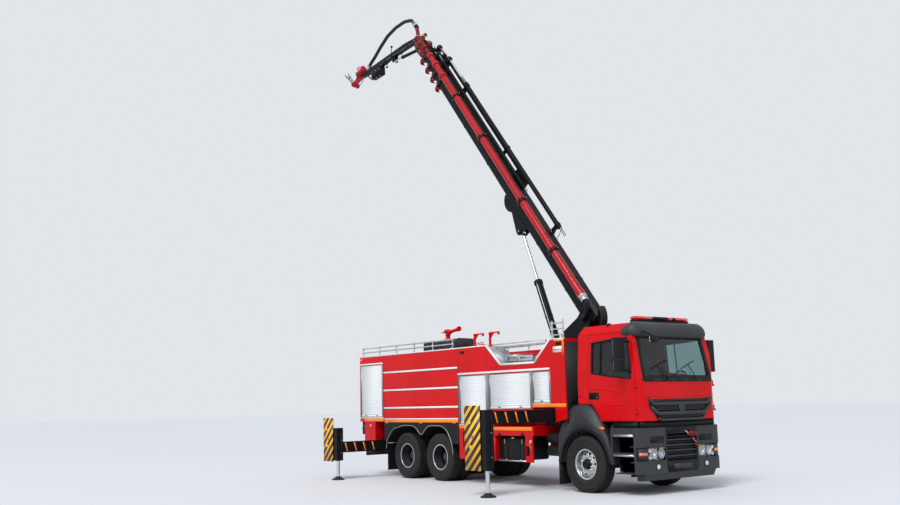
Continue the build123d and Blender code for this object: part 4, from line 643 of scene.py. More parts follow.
for word, side in SIDES:
    for number, x in enumerate(REAR_AXLES, 1):
        outer = side * (1.22 - TYRE_W / 2)
        bench = Bench()
        # The barrels, disc and hub take the dark grey painted shade of the deep dish; the outer lip is silver.
        for k, y in enumerate((outer, outer - side * 0.35)):
            add_tyre(bench, x, y, 0.06 * k + number)
            add_barrel(bench, x, y, wheel_grey_painted_shade)
        bench.hoop([(0, 0.296), (0.006, 0.304), (0.012, 0.299), (0.012, 0.272), (0.004, 0.268)],
            (x, outer + side * 0.1165, TYRE_R), (0, side, 0), silver, 60)
        add_disc(bench, x, outer, side, rear_depth, 0.216, 0.026, wheel_grey_painted_shade, inner=0.1)
        add_nuts(bench, x, outer - side * 0.135, side, 0.1675, grey_steel)
        bench.knob([(-0.05, 0.128), (0.03, 0.124), (0.05, 0.112), (0.098, 0.106), (0.112, 0.094), (0.115, 0.03)],
            (x, outer - side * 0.135, TYRE_R), (0, side, 0), wheel_grey_painted_shade, 40)
        for i in range(8):
            t = 2 * math.pi * i / 8
            spot = (x + 0.082 * math.cos(t), outer - side * 0.022, TYRE_R + 0.082 * math.sin(t))
            bench.knob([(0, 0.01), (0.008, 0.009)], spot, (0, side, 0), grey_steel, 6)
        name = f"rear_wheel_{number}_{word}"
        bench.keep("dressed_" + name, name, [name])

# %% [markdown]
# ## Roller shutters
# A roller shutter is one slat, repeated. Geometry Nodes makes a rounded slat from a flattened cylinder and
# sets it on a line of points, one above the other. The tree's inputs are the number of slats, their pitch,
# their length and how far they bulge, so the same tree serves every opening.

# %% A Geometry Nodes tree for slats
slat_tree = new_tree("slats", {"Slats": "Int", "Length": "Float", "Flatten": "Vector", "Step": "Vector"}, {
    "bar": ("GeometryNodeMeshCylinder", {"Vertices": 12, "Radius": 0.5}),
    "lie": ("GeometryNodeTransform", {"Rotation": (0, math.pi / 2, 0)}),
    "press": "GeometryNodeTransform",
    "line": "GeometryNodeMeshLine",
    "stack": "GeometryNodeInstanceOnPoints",
}, "given.Length > bar.Depth, bar.Mesh > lie.Geometry, lie.Geometry > press.Geometry, given.Flatten > press.Scale, "
    "given.Slats > line.Count, given.Step > line.Offset, line.Mesh > stack.Points, press.Geometry > stack.Instance, "
    "stack.Instances")
SHUTTERS = ((-8.125, -7.095, 1.47, 2.8), (-3.876, -2.909, 1.313, 2.389), (-2.805, -1.441, 1.63, 2.389),
    (-1.379, -0.85, 1.741, 2.389))
PITCH = 0.045
FACE = 1.244


def slats(length, height):
    """The slats of one shutter as a mesh, its middle at x = 0 and its foot at z = 0."""
    count = round(height / PITCH)
    pitch = height / count
    return grow(slat_tree, {"Slats": count, "Length": length, "Flatten": (1, 0.01, pitch * 0.97),
                            "Step": (0, 0, pitch), "Finish": slat_white}), pitch


# %% Shutters in their frames
bench = Bench()
for bench.side in (-1, 1):
    for rear, front, low, high in SHUTTERS:
        mesh, pitch = slats(front - rear - 0.05, high - low - 0.075)
        spot = bench.at(((rear + front) / 2, FACE - 0.008, low + 0.065 + pitch / 2))
        bench.mesh(mesh, slat_white, Matrix.Translation(spot))
        bench.slabs(slat_white, (rear + 0.002, front - 0.002, FACE - 0.02, FACE - 0.009, low + 0.002, high - 0.002,
            0), (rear + 0.003, front - 0.003, FACE - 0.012, FACE + 0.006, low + 0.004, low + 0.062, 0.005))
        bench.slab(rear + 0.003, front - 0.003, FACE - 0.012, FACE + 0.002, high - 0.014, high - 0.002, grey_frame,
            0.002)
        for x in (rear + 0.003, front - 0.029):
            bench.slab(x, x + 0.026, FACE - 0.015, FACE + 0.007, low + 0.003, high - 0.003, grey_frame, 0.003)
            bench.slab(x + 0.01, x + 0.014, FACE + 0.005, FACE + 0.0085, low + 0.003, high - 0.003, black, 0)
        wide = front - rear
        for share in (0.24, 0.76) if wide > 0.9 else (0.5,):
            x = rear + wide * share
            bench.slab(x - 0.045, x + 0.045, FACE, FACE + 0.013, low + 0.026, low + 0.052, black, 0.005)
            bench.bar((x, FACE + 0.008, low + 0.04), (x, FACE + 0.02, low + 0.04), 0.011, silver)
mesh, pitch = slats(1.55, 1.155)
bench.mesh(mesh, slat_white, Matrix.Translation((-8.15, 0, 1.536 + pitch / 2)) @ Matrix.Rotation(math.pi / 2, 4, "Z"))
bench.slab(-8.149, -8.138, -0.798, 0.798, 1.472, 2.698, slat_white, 0)
bench.slab(-8.158, -8.14, -0.797, 0.797, 1.473, 1.532, slat_white)
for y in (-0.797, 0.771):
    bench.slab(-8.16, -8.143, y, y + 0.026, 1.473, 2.697, grey_frame, 0.003)
for y in (-0.4, 0.4):
    bench.slab(-8.166, -8.152, y - 0.05, y + 0.05, 1.492, 1.52, black)
bench.keep("roller_shutters", "truck", ["shutters"])

# %% [markdown]
# ## Stripes, seams and trims on the body
# The body's panels are plain in the CAD model. On the truck they have three white lines on the tank, bands
# of orange reflective tape, white trims over the shutters and round the notch for the boom, and dark seams
# where panels meet. They are thin strips that stand a millimetre or two proud, so that their edges throw a
# hair of shadow, as tape and trims do. The strips are blank: nothing on them can be read.

# %% Stripes and tape on both sides
BODY_SIDE = 1.25


def strip(bench, x0, x1, z0, z1, mat, proud=0.004):
    """A flat strip on a body side."""
    bench.slab(x0, x1, BODY_SIDE - 0.002, BODY_SIDE + proud, z0, z1, mat, 0.0015, 1)


bench = Bench()
for bench.side in (-1, 1):
    for z in (1.697, 2.137, 2.583):
        strip(bench, -7.03, -3.94, z - 0.021, z + 0.021, white, proud=0.008)
    strip(bench, -7.01, -3.955, 1.342, 1.412, orange)
    strip(bench, -7.01, -3.955, 1.415, 1.44, white, proud=0.006)
    strip(bench, -7.95, -7.05, 1.363, 1.437, orange)
    strip(bench, -3.92, -2.88, 1.214, 1.29, orange)
    strip(bench, -1.4, -0.4, 1.655, 1.724, orange)
    strip(bench, -2.69, -1.45, 1.178, 1.25, orange)
    strip(bench, -3.925, -0.845, 2.412, 2.454, white, proud=0.01)
    strip(bench, -8.16, -7.06, 2.812, 2.846, white, proud=0.008)
    strip(bench, -8.16, -7.06, 1.442, 1.464, white, proud=0.008)
    strip(bench, -3.9, -2.88, 1.294, 1.31, white, proud=0.008)
    strip(bench, -1.395, -0.845, 1.727, 1.739, white, proud=0.008)
    for rear, front, low, high in SHUTTERS:
        for x in (rear - 0.02, front + 0.002):
            strip(bench, x, x + 0.018, low, high, grey_frame, proud=0.005)
    for x in (-7.035, -3.93):
        strip(bench, x - 0.007, x + 0.007, 1.362, 3.018, frame_black, proud=0.002)
    for rear, front, low in ((-3.92, -3.88, 1.315), (-2.905, -2.809, 1.632), (-1.437, -1.383, 1.742)):
        strip(bench, rear, front, low, 2.408, grey_frame, proud=0.003)
        strip(bench, front - 0.03, front - 0.006, low, 2.408, frame_black, proud=0.004)
    for x, low, high in ((-2.858, 2.456, 3.0), (-0.835, 1.74, 3.02), (-2.857, 1.605, 2.41), (-1.41, 1.66, 2.41)):
        strip(bench, x - 0.004, x + 0.004, low, high, frame_black, proud=0.0012)
    # White trim along the body's top edge; its front stretch, x -0.842 to -0.392, is a painted highlight on the red
    # edge.
    for x in ((-8.162, -2.86), (-0.842, -0.392)):
        bench.slab(*x, 1.215, 1.258, 3.012, 3.036, white)
    path = ((-2.864, 3.03), (-2.398, 2.604), (-1.307, 2.597), (-0.836, 3.036))
    for (xa, za), (xb, zb) in zip(path, path[1:]):
        run = Vector((xb - xa, 0, zb - za)).normalized()
        out = Vector((-run.z, 0, run.x)) * 0.04
        a, b = Vector((xa, 0, za)) - run * 0.008, Vector((xb, 0, zb)) + run * 0.008
        ring = [(p.x, p.z) for p in (a - out, b - out, b, a)]
        bench.prism(ring, 1.246, 1.262, white, soft=0.003)
        bench.prism([(p.x, p.z) for p in (a, b, b + out * 0.15, a + out * 0.15)], 1.205, 1.26, white, soft=0.002)
bench.keep("body_stripes", "truck")

# %% Small things on the body sides
bench = Bench()
for bench.side in (-1, 1):
    y = BODY_SIDE
    bench.slabs(black, (-3.845, -3.665, y - 0.002, y + 0.016, 2.905, 2.945, 0.008),
        (-3.745, -3.7, y, y + 0.03, 2.885, 2.955, 0.01))
    bench.slab(-0.722, -0.466, y - 0.002, y + 0.0025, 2.752, 2.872, white, 0.001)
    bench.slab(-0.722, -0.466, y, y + 0.0032, 2.8, 2.816, grey_frame, 0)
    bench.slab(-0.68, -0.398, y - 0.002, y + 0.01, 2.978, 3.01, yellow)
    bench.slab(-0.442, -0.4, y - 0.002, y + 0.012, 2.692, 2.99, orange, 0.006)
    bench.slab(-0.64, -0.47, y - 0.002, y + 0.012, 2.9, 2.96, black, 0.008)
    bench.slab(-8.168, -8.06, y - 0.05, y + 0.012, 2.9, 2.99, amber, 0.014)
    bench.knob([(0, 0.032), (0.01, 0.03), (0.014, 0.02)], (-7.665, y, 1.262), (0, 1, 0), clear_lens, 20)
    for x in (-5.43, -6.9, -4.1):
        bench.slab(x - 0.055, x + 0.055, 1.246, 1.262, 1.318, 1.342, amber, 0.005)
    for i in range(12):
        x = -7.95 + i * 0.62
        if x < -3.0:
            bench.turned([(0, 0), (0, 0.009), (0.003, 0.008), (0.005, 0)], (x, y, 3.0), (0, 1, 0), grey_frame, 6)
bench.keep("body_fittings", "truck")

# %% [markdown]
# ## Outriggers
# Each leg ends in a plate with slanting bands and a few small reflectors. The beams have orange dashes on
# their black faces. Both are thin, and ride on the sliding beam, so they go in with it.

# %% Striped plates, dashes and collars
LEGS = (("front_right", -0.835, -1, 1.486, 2.96, (-1.385, -0.9), (0.49, 1.727), 0.5, 1.64),
    ("front_left", -1.035, 1, 1.486, 2.96, (-1.585, -1.1), (0.49, 1.727), 0.5, 1.64),
    ("rear_right", -7.16, -1, 0.778, 2.52, (-7.68, -7.23), (0.437, 1.486), 0.463, 1.244),
    ("rear_left", -7.33, 1, 0.778, 2.52, (-7.85, -7.4), (0.437, 1.486), 0.463, 1.244))
for name, x, side, z, reach, plate_x, plate_z, leg_low, leg_top in LEGS:
    bench = Bench(side=side)
    face = reach + 0.105
    bands = bands_right if side < 0 else bands_left
    bench.slab(*plate_x, face - 0.002, face + 0.004, *plate_z, bands, 0.002)
    bench.slab(plate_x[0] - 0.001, plate_x[1] + 0.001, face - 0.0155, face - 0.001, *plate_z, boom_black, 0.003)
    wide, tall = plate_x[1] - plate_x[0], plate_z[1] - plate_z[0]
    for u, v, mat in ((0.34, 0.74, yellow), (0.5, 0.52, red_lens), (0.38, 0.36, yellow)):
        spot = (plate_x[0] + wide * u, face + 0.003, plate_z[0] + tall * v)
        bench.turned([(0, 0), (0, 0.036), (0.006, 0.036), (0.009, 0.028), (0.01, 0)], spot, (0, 1, 0), mat, 20)
    for u in (0.1, 0.9):
        for v in (0.06, 0.5, 0.94):
            spot = (plate_x[0] + wide * u, face + 0.003, plate_z[0] + tall * v)
            bench.turned([(0, 0), (0, 0.01), (0.004, 0.009), (0.006, 0)], spot, (0, 1, 0), silver, 6)
    for i in range(4):
        y = reach - 1.02 + i * 0.26
        for face_x, way in ((x - 0.075, -1), (x + 0.075, 1)):
            points = [(y + dy, z + dz) for dy, dz in ((0.0, -0.105), (0.035, -0.105), (0.095, 0.105), (0.06, 0.105))]
            bench.prism(points, face_x - way * 0.001, face_x + way * 0.0035, orange, axis="x", soft=0)
    bench.slabs(boom_black, (x - 0.092, x + 0.092, reach - 0.092, reach + 0.0915, leg_low, leg_low + 0.035, 0.006),
        (x - 0.092, x + 0.092, reach - 0.092, reach + 0.0915, leg_top - 0.03, leg_top, 0.006))
    bench.hoop([(0, 0.047), (0, 0.066), (0.008, 0.066), (0.011, 0.062), (0.011, 0.047)], (x, reach, leg_low - 0.011),
        (0, 0, 1), grey_steel, 28)
    bench.pipe([(x + 0.08, reach - 0.04, leg_low + 0.075), (x + 0.104, reach - 0.04, leg_low + 0.13),
        (x + 0.104, reach - 0.04, leg_top - 0.22), (x + 0.08, reach - 0.04, leg_top - 0.13)], 0.01, hose_black, 8, 5)
    for v in (0.2, 0.6):
        bench.slab(x + 0.088, x + 0.117, reach - 0.058, reach - 0.022, leg_low + v * (leg_top - leg_low),
            leg_low + v * (leg_top - leg_low) + 0.03, grey_steel, 0.003)
    bench.keep("dressed_beam_" + name, "beam_" + name)
    bench = Bench(side=side)
    bench.knob([(0, 0.1515), (0.01, 0.1525), (0.02, 0.1525), (0.026, 0.146), (0.04, 0.1), (0.078, 0.06),
        (0.086, 0.052)], (x, reach, 0.0005), (0, 0, 1), frame_black, 40)
    bench.keep("dressed_foot_" + name, "jack_" + name)

# %% [markdown]
# ## The cab
# The cab's skin is the CAD solid, so what is drawn here lies on it: rubbers round the windows, creases, the
# handle, lamps and black mouldings. The skin isn't flat. Its sides lean in above the belt, its front leans
# back, and its corners are round. Two small functions say where the skin lies, and every piece on the cab
# is placed with them.

# %% Where the cab's skin lies
def side_skin(x, z, out=0.0):
    """A point on the cab's left side, out metres off the skin."""
    flat = 1.15 - max(0.0, z - 2.15) * 0.075 / 0.93
    corner = 0.89 + math.sqrt(max(0.0, 0.26 ** 2 - max(0.0, x - 1.19) ** 2))
    return Vector((x, min(flat, corner) + out, z))


def front_skin(y, z, out=0.0):
    """A point on the cab's front, out metres off the skin."""
    flat = 1.43 - (z - 2.15) * 0.195 / 0.93 if z > 2.15 else 1.45 - abs(z - 1.78) * 0.02 / 0.37
    corner = 1.19 + math.sqrt(max(0.0, 0.26 ** 2 - max(0.0, abs(y) - 0.89) ** 2))
    return Vector((min(flat, corner) + out, y, z))


def in_steps(points, step=0.06):
    """Points along a closed outline with no gap longer than step."""
    line = []
    for (a, b), (c, d) in zip(points, points[1:] + points[:1]):
        count = max(1, round(math.hypot(c - a, d - b) / step))
        line += [(a + (c - a) * k / count, b + (d - b) * k / count) for k in range(count)]
    return line


def moulding(bench, outer, inner, spot, mat, thick):
    """A flat moulding between two outlines of the same number of points, laid on a skin."""
    bench.loft([[spot(*o, -0.003), spot(*o, thick * 0.6), spot(*Vector(o) * 0.7 + Vector(i) * 0.3, thick),
        spot(*Vector(o) * 0.3 + Vector(i) * 0.7, thick), spot(*i, thick * 0.6), spot(*i, -0.003)] for o,
        i in zip(outer, inner)], mat, closed=True)


print("the screen's foot lies at x", round(front_skin(0, 2.19).x, 3))

# %% [markdown]
# The window rubbers are mouldings between two outlines. The outline is walked in short steps, so the
# rubber bends with the skin round the cab's corners.

# %% Window rubbers, screen border, creases and handles
DOOR_GLASS = [(0.235, 2.3), (0.235, 2.88), (1.14, 2.93), (1.24, 2.42), (1.24, 2.168)]
for word, side in SIDES:
    bench = Bench(side=side)
    middle = Vector((0.76, 2.58))
    inner = in_steps(DOOR_GLASS)
    outer = [tuple(Vector(p) + (Vector(p) - middle).normalized() * 0.03) for p in inner]
    inner = [tuple(Vector(p) - (Vector(p) - middle).normalized() * 0.012) for p in inner]
    moulding(bench, outer, inner, side_skin, black, 0.01)
    bench.loft([[side_skin(0.46 + dx, z, o) for dx, o in ((-0.012, -0.004), (-0.012, 0.004), (0.012, 0.004),
        (0.012, -0.004))] for z in (2.262, 2.5, 2.7, 2.888)], black)
    for points, radius in ((((0.146, 1.984), (0.3, 1.99), (0.67, 1.966), (1.05, 1.9), (1.326, 1.812)), 0.016),
            (((0.4, 1.688), (0.7, 1.686), (1.05, 1.68), (1.326, 1.678)), 0.016)):
        bench.pipe([side_skin(x, z, -0.006) for x, z in points], radius, red, 10, 8)
    bench.loft([[side_skin(x, z, -0.004), side_skin(x, z, 0.005), side_skin(x + dx, z + dz, 0.005),
        side_skin(x + dx, z + dz, -0.004)] for x, z, dx, dz in ((0.15, 1.786, 0.02, 0.02),
        (0.412, 1.786, -0.02, 0.02), (0.412, 1.922, -0.02, -0.02), (0.15, 1.922, 0.02, -0.02))], black,
        closed=True)
    bench.slab(0.168, 0.394, 1.146, 1.1515, 1.804, 1.904, black, 0.002)
    bench.pipe([(0.18, 1.156, 1.868), (0.215, 1.178, 1.872), (0.35, 1.178, 1.872), (0.384, 1.156, 1.868)], 0.013,
        black, 10, 6)
    bench.knob([(0, 0.013), (0.004, 0.012)], (0.352, 1.151, 1.83), (0, 1, 0), silver, 16)
    bench.keep("door_fittings_" + word, "door_" + word)

bench = Bench()
inner = in_steps([(-0.915, 2.215), (0.915, 2.215), (0.868, 2.94), (-0.868, 2.94)])
outer = in_steps([(-1.014, 2.094), (1.014, 2.094), (0.968, 2.985), (-0.968, 2.985)])
shared = min(len(inner), len(outer))
inner = [inner[round(k * len(inner) / shared) % len(inner)] for k in range(shared)]
outer = [outer[round(k * len(outer) / shared) % len(outer)] for k in range(shared)]
moulding(bench, outer, inner, front_skin, black, 0.008)
for low, tip, away in ((-0.3, -0.62, 0.34), (0.52, 0.2, 0.34)):
    foot, head = front_skin(low, 2.155, 0.018), front_skin(tip + 0.14, 2.42, 0.022)
    bench.knob([(0, 0.026), (0.022, 0.022), (0.026, 0.012)], front_skin(low, 2.155, 0.004), (1, 0, 0.2),
        black, 18)
    bench.pipe([foot, foot * 0.6 + head * 0.4 + Vector((0.008, 0, 0)), head], 0.008, black, 8, 4)
    blade = [front_skin(tip + 0.14 + (k - 0.5) * away * 1.3, 2.42 + (k - 0.5) * 0.16, 0.016) for k in (0, 0.25, 0.5,
        0.75, 1)]
    bench.pipe(blade, 0.008, black, 6, 3)
    bench.loft([[p + Vector((0.004, 0, 0.01)), p + Vector((-0.01, 0, 0.004)), p + Vector((-0.01, 0, -0.006)),
        p + Vector((0.004, 0, -0.01))] for p in blade], rubber)
for y in (-0.6, -0.2, 0.2, 0.6):
    bench.slab(front_skin(y, 2.13).x - 0.01, front_skin(y, 2.13).x + 0.013, y - 0.1, y + 0.1, 2.118, 2.14, plastic,
        0.004)
for bench.side in (-1, 1):
    bench.pipe([front_skin(y, z, -0.007) for y, z in ((1.06, 1.676), (0.99, 1.678), (0.93, 1.69))], 0.014, red, 10, 4)
    bench.pipe([front_skin(y, 2.075, -0.008) for y in (1.08, 1.0, 0.8, 0.5, 0.2, 0.0)], 0.014, red, 10, 4)
    bench.pipe([front_skin(y, 1.83, -0.008) for y in (1.08, 1.0, 0.8, 0.5, 0.2, 0.0)], 0.014, red, 10, 4)
    bench.slab(-0.149, 0.06, 1.147, 1.1525, 1.836, 1.862, red)
    for z in (1.72, 2.3):
        bench.pipe([side_skin(-0.12, z, -0.006), side_skin(0.0, z, -0.006), side_skin(0.128, z, -0.006)], 0.009, red,
            8, 3)
    bench.turned([(0, 0), (0, 0.055), (0.03, 0.05), (0.05, 0.034), (0.055, 0)], (0.62, 0.985, 3.196), (0, 0.35, 1),
        black, 20)
for x in (0.05, 0.3, 0.55, 0.8):
    bench.slab(x, x + 0.1, -0.8, 0.8, 3.212, 3.2265, red, 0.008)
bench.slab(0.3, 0.86, -0.3, 0.3, 3.218, 3.25, red, 0.02)
bench.slab(0.27, 0.89, -0.33, 0.33, 3.214, 3.226, black)
bench.keep("cab_front_trim", "truck")

# %% [markdown]
# The visor is a loft: one cross-section is set at points of a path that follows the cab's brow and turns
# round both corners, and it grows thinner towards the ends.

# %% Visor and front mirror
VISOR = [(-0.03, 2.956), (0.01, 2.942), (0.06, 2.95), (0.096, 2.985), (0.106, 3.045), (0.088, 3.125), (0.04, 3.198),
    (-0.036, 3.248), (-0.11, 3.254), (-0.15, 3.216), (-0.13, 3.12)]


def visor_ring(x, y, turn, size):
    """The visor's section at one place of the cab's brow, facing turn radians from straight ahead."""
    ring = []
    for out, z in VISOR:
        out, z = out * size, 3.045 + (z - 3.045) * (0.3 + 0.7 * size)
        ring.append(Vector((x + out * math.cos(turn), y + out * math.sin(turn), z)))
    return ring


bench = Bench()
half = [(1.252, 0.0, 0.0, 1.0), (1.252, 0.45, 0.0, 1.0), (1.252, 0.8, 0.0, 1.0)]
half += [(1.122 + 0.13 * math.cos(t), 0.947 + 0.13 * math.sin(t), t,
    0.98 - 0.54 * (t / 1.571)) for t in (math.pi / 2 * k / 8 for k in range(9))]
half += [(1.1, 1.079, 1.571, 0.38), (1.065, 1.08, 1.571, 0.3), (1.03, 1.081, 1.571, 0.18),
    (1.005, 1.082, 1.571, 0.06)]
rings = [visor_ring(x, -y, -turn, size) for x, y, turn, size in reversed(half[1:])]
rings += [visor_ring(*place) for place in half]
bench.loft(rings, plastic)
for y in (-0.62, 0.62):
    bench.knob([(0, 0.03), (0.006, 0.03), (0.012, 0.02)], (1.333, y, 3.055), (1, 0, 0.25), amber, 18)
bench.pipe([(1.27, -0.86, 3.02), (1.4, -0.88, 3.04), (1.5, -0.84, 2.99), (1.528, -0.76, 2.93)], 0.013, black,
    10, 6)
bench.pipe([(1.25, -0.96, 2.9), (1.38, -0.95, 2.96), (1.5, -0.84, 2.99)], 0.009, black, 8, 5)
bench.slab(1.5, 1.556, -0.86, -0.62, 2.83, 2.955, black, 0.026)
bench.slab(1.494, 1.502, -0.845, -0.635, 2.845, 2.94, mirror_glass, 0.003)

# %% Grille
GRILLE = [(-0.93, 1.78), (0.93, 1.78), (0.9, 1.64), (0.62, 1.36), (-0.62, 1.36), (-0.9, 1.64)]
bench.prism([(y, z) for y, z in GRILLE], 1.402, 1.456, black, axis="x", soft=0.012)
for path, tall in ((((-0.905, 1.778), (-0.8, 1.7), (-0.74, 1.68), (0.74, 1.68), (0.8, 1.7), (0.905, 1.778)), 0.036),
        (((-0.85, 1.63), (-0.7, 1.52), (-0.64, 1.5), (0.64, 1.5), (0.7, 1.52), (0.85, 1.63)), 0.038),
        (((-0.66, 1.42), (-0.6, 1.382), (0.6, 1.382), (0.66, 1.42)), 0.026)):
    rings = []
    for k, (y, z) in enumerate(path):
        before, after = path[max(k - 1, 0)], path[min(k + 1, len(path) - 1)]
        run = Vector((after[0] - before[0], after[1] - before[1])).normalized()
        nx, nz = -run.y * tall, run.x * tall
        rings.append([Vector((1.45, y + nx, z + nz)), Vector((1.474, y + nx * 0.9, z + nz * 0.9)),
            Vector((1.486, y + nx * 0.5, z + nz * 0.5)), Vector((1.486, y - nx * 0.5, z - nz * 0.5)),
            Vector((1.474, y - nx * 0.9, z - nz * 0.9)), Vector((1.45, y - nx, z - nz))])
    bench.loft(rings, plastic)
for z, wide in ((1.742, 0.74), (1.628, 0.72), (1.6, 0.7), (1.572, 0.68), (1.452, 0.6), (1.43, 0.58)):
    bench.slab(1.45, 1.466, -wide, wide, z - 0.007, z + 0.007, plastic, 0.003)
for k in range(25):
    y = -0.6 + k * 0.05
    bench.slab(1.45, 1.462, y - 0.004, y + 0.004, 1.545, 1.64, black, 0)
bench.knob([(0, 0.088), (0.01, 0.088), (0.016, 0.08), (0.018, 0.06)], (1.47, 0, 1.6), (1, 0, 0), plastic, 40)
bench.keep("visor_and_grille", "truck", ["cab_trim"])

# %% [markdown]
# ## Lamps
# A headlamp is a bright reflector with bowls behind a clear cover. The cover is real glass here, and the
# bowls are turned from a dish profile, so that the lamp changes as the eye moves.

# %% Headlamps, beacon bar and rear lamp boards
bench = Bench()
for bench.side in (-1, 1):
    bench.slab(1.332, 1.345, 0.473, 1.15, 0.643, 0.882, black, 0.003)
    bench.slab(1.345, 1.372, 0.476, 0.955, 0.646, 0.879, reflector, 0.01)
    for y, z, radius in ((0.59, 0.762, 0.094), (0.8, 0.762, 0.094), (0.905, 0.7, 0.04), (0.905, 0.826, 0.04)):
        bench.turned([(0.046, radius), (0.05, radius - 0.006), (0.022, radius * 0.72), (0.006, radius * 0.3),
            (0.004, 0.0)], (1.372, y, z), (1, 0, 0), reflector, 32)
        bench.turned([(0, 0), (0, radius * 0.26), (0.02, radius * 0.26), (0.03, radius * 0.15), (0.033, 0)],
            (1.372, y, z), (1, 0, 0), mirror_glass, 16)
    for k in range(5):
        bench.bar((1.376, 0.695, 0.672 + 0.044 * k), (1.4, 0.695, 0.672 + 0.044 * k), 0.012, reflector, 12)
    bench.slab(1.4, 1.41, 0.48, 0.64, 0.846, 0.874, yellow, 0.003)
    cover = [(0.476, 1.378), (0.476, 1.424), (0.9, 1.424), (0.955, 1.42), (0.955, 1.412), (0.9, 1.416),
        (0.484, 1.416), (0.484, 1.378)]
    bench.prism([(x, y) for y, x in cover], 0.645, 0.88, lamp_glass, axis="z", soft=0)
    corner = [(1.345, 0.96), (1.42, 0.96), (1.424, 1.0), (1.405, 1.085), (1.365, 1.145), (1.345, 1.16)]
    bench.prism(corner, 0.646, 0.879, plastic, axis="z", soft=0.004)
    bench.prism([(x + 0.004, y * 1.004) for x, y in corner[1:5]] + [(x - 0.01, y) for x, y in reversed(corner[1:5])],
        0.735, 0.79, amber, axis="z", soft=0.001)
bench.slab(0.965, 1.135, -0.78, 0.78, 3.262, 3.292, black, 0.01)
for y0, y1, mat in ((-0.78, -0.29, red_lens), (-0.28, 0.19, black), (0.2, 0.3, red_lens),
        (0.31, 0.4, black), (0.41, 0.78, red_lens)):
    bench.slab(0.962, 1.138, y0, y1, 3.29, 3.362, mat, 0.022)
for y in (-0.52, 0.52):
    bench.slab(1.0, 1.1, y - 0.065, y + 0.065, 3.2205, 3.266, black, 0.012)
    bench.turned([(0, 0), (0, 0.012), (0.006, 0.012), (0.01, 0)], (1.05, y + 0.08, 3.258), (0, 0, 1), silver, 6)
for bench.side in (-1, 1):
    bench.slab(-8.154, -8.106, 0.762, 1.198, 1.032, 1.358, plastic, 0.01)
    for y, mat in ((0.83, red_lens), (0.94, red_lens), (1.05, amber), (1.15, clear_lens)):
        bench.turned([(0, 0), (0, 0.046), (0.008, 0.046), (0.014, 0.04), (0.016, 0)], (-8.152, y, 1.19), (-1, 0, 0),
            mat, 24)
        bench.hoop([(0, 0.046), (0, 0.052), (0.01, 0.052), (0.012, 0.046)], (-8.151, y, 1.19), (-1, 0, 0),
            black, 24)
    bench.slab(-8.158, -8.15, 0.8, 1.16, 1.29, 1.332, red_lens)
    bench.slab(-8.158, -8.15, 0.8, 1.16, 1.052, 1.08, orange, 0.003)
bench.keep("lamp_units", "truck", ["lamps"])

# %% Bumper, steps and wings
bench = Bench()
for bench.side in (-1, 1):
    for low in (0.748, 1.118):
        bench.slab(0.78, 1.28, 1.18, 1.206, low - 0.016, low + 0.012, silver, 0.006)
        bench.slab(0.77, 1.285, 1.0, 1.196, low - 0.028, low - 0.008, black)
        for k in range(9):
            x = 0.8 + k * 0.055
            bench.slab(x, x + 0.02, 1.02, 1.175, low - 0.008, low - 0.003, silver, 0.002)
    bench.prism([(0.43, 1.222), (0.56, 1.205), (0.585, 1.235), (0.545, 1.268), (0.45, 1.276)], 1.203, 1.222, amber,
        soft=0.008)
    bench.slab(-0.2, -0.192, 1.15, 1.2065, 1.08, 1.69, frame_black, 0)
    bench.slab(-0.745, -0.738, 1.0, 1.12, 0.36, 0.44, amber, 0.003)
    bench.slab(-0.748, -0.716, 0.882, 1.196, 0.585, 0.615, frame_black)
    for z in (1.233, 0.905, 0.618):
        bench.pipe([(1.2, 1.197, z), (1.262, 1.197, z), (1.372, 1.145, z), (1.427, 1.03, z), (1.428, 0.8, z),
            (1.428, 0.5, z)], 0.01, plastic, 8, 6)
    bench.slabs(black, (1.42, 1.434, 0.5, 0.9, 0.955, 1.085, 0.006),
        (1.428, 1.436, 0.44, 0.452, 0.46, 1.235, 0.003))
    bench.knob([(0, 0.05), (0.01, 0.05), (0.016, 0.038)], (1.424, 0.7, 0.52), (1, 0, 0), clear_lens, 28)
    bench.hoop([(0, 0.05), (0, 0.066), (0.016, 0.062), (0.016, 0.05)], (1.422, 0.7, 0.52), (1, 0, 0), black,
        28)
bench.slab(1.372, 1.378, -0.428, 0.428, 0.615, 1.115, black, 0.002)
for z in (0.655, 0.75, 0.85, 0.95, 1.06):
    bench.slab(1.376, 1.418, -0.43, 0.43, z - 0.016, z + 0.016, black, 0.008)
bench.slab(1.424, 1.436, -0.436, 0.436, 1.126, 1.24, black, 0.006)
bench.slab(1.424, 1.436, -0.436, 0.436, 0.408, 0.606, black, 0.006)
bench.slab(1.43, 1.44, -0.26, 0.26, 0.455, 0.565, plastic)
bench.slab(1.376, 1.424, 0.17, 0.43, 1.04, 1.16, dark_red, 0.02)
bench.knob([(0, 0.052), (0.06, 0.052), (0.066, 0.064), (0.084, 0.064), (0.09, 0.05), (0.11, 0.046)], (1.44, 0.2, 1.1),
    (0, 1, 0), dark_red, 26)
bench.knob([(0, 0.046), (0.02, 0.05), (0.06, 0.05), (0.066, 0.04), (0.1, 0.038)], (1.44, 0.34, 1.096), (0, 1, 0),
    dark_red, 26)
bench.turned([(0, 0), (0, 0.036), (0.012, 0.04), (0.05, 0.04), (0.056, 0.03), (0.06, 0)], (1.4, 0.4, 0.9), (1, 0, 0),
    dark_red, 24)
bench.pipe([(1.45, 0.3, 1.03), (1.462, 0.33, 0.97), (1.45, 0.4, 0.945)], 0.007, silver, 6, 6)
bench.pipe([(1.44, 0.2, 1.09), (1.452, 0.14, 1.13), (1.44, 0.1, 1.16)], 0.012, silver, 8, 5)
bench.keep("front_trim", "truck")

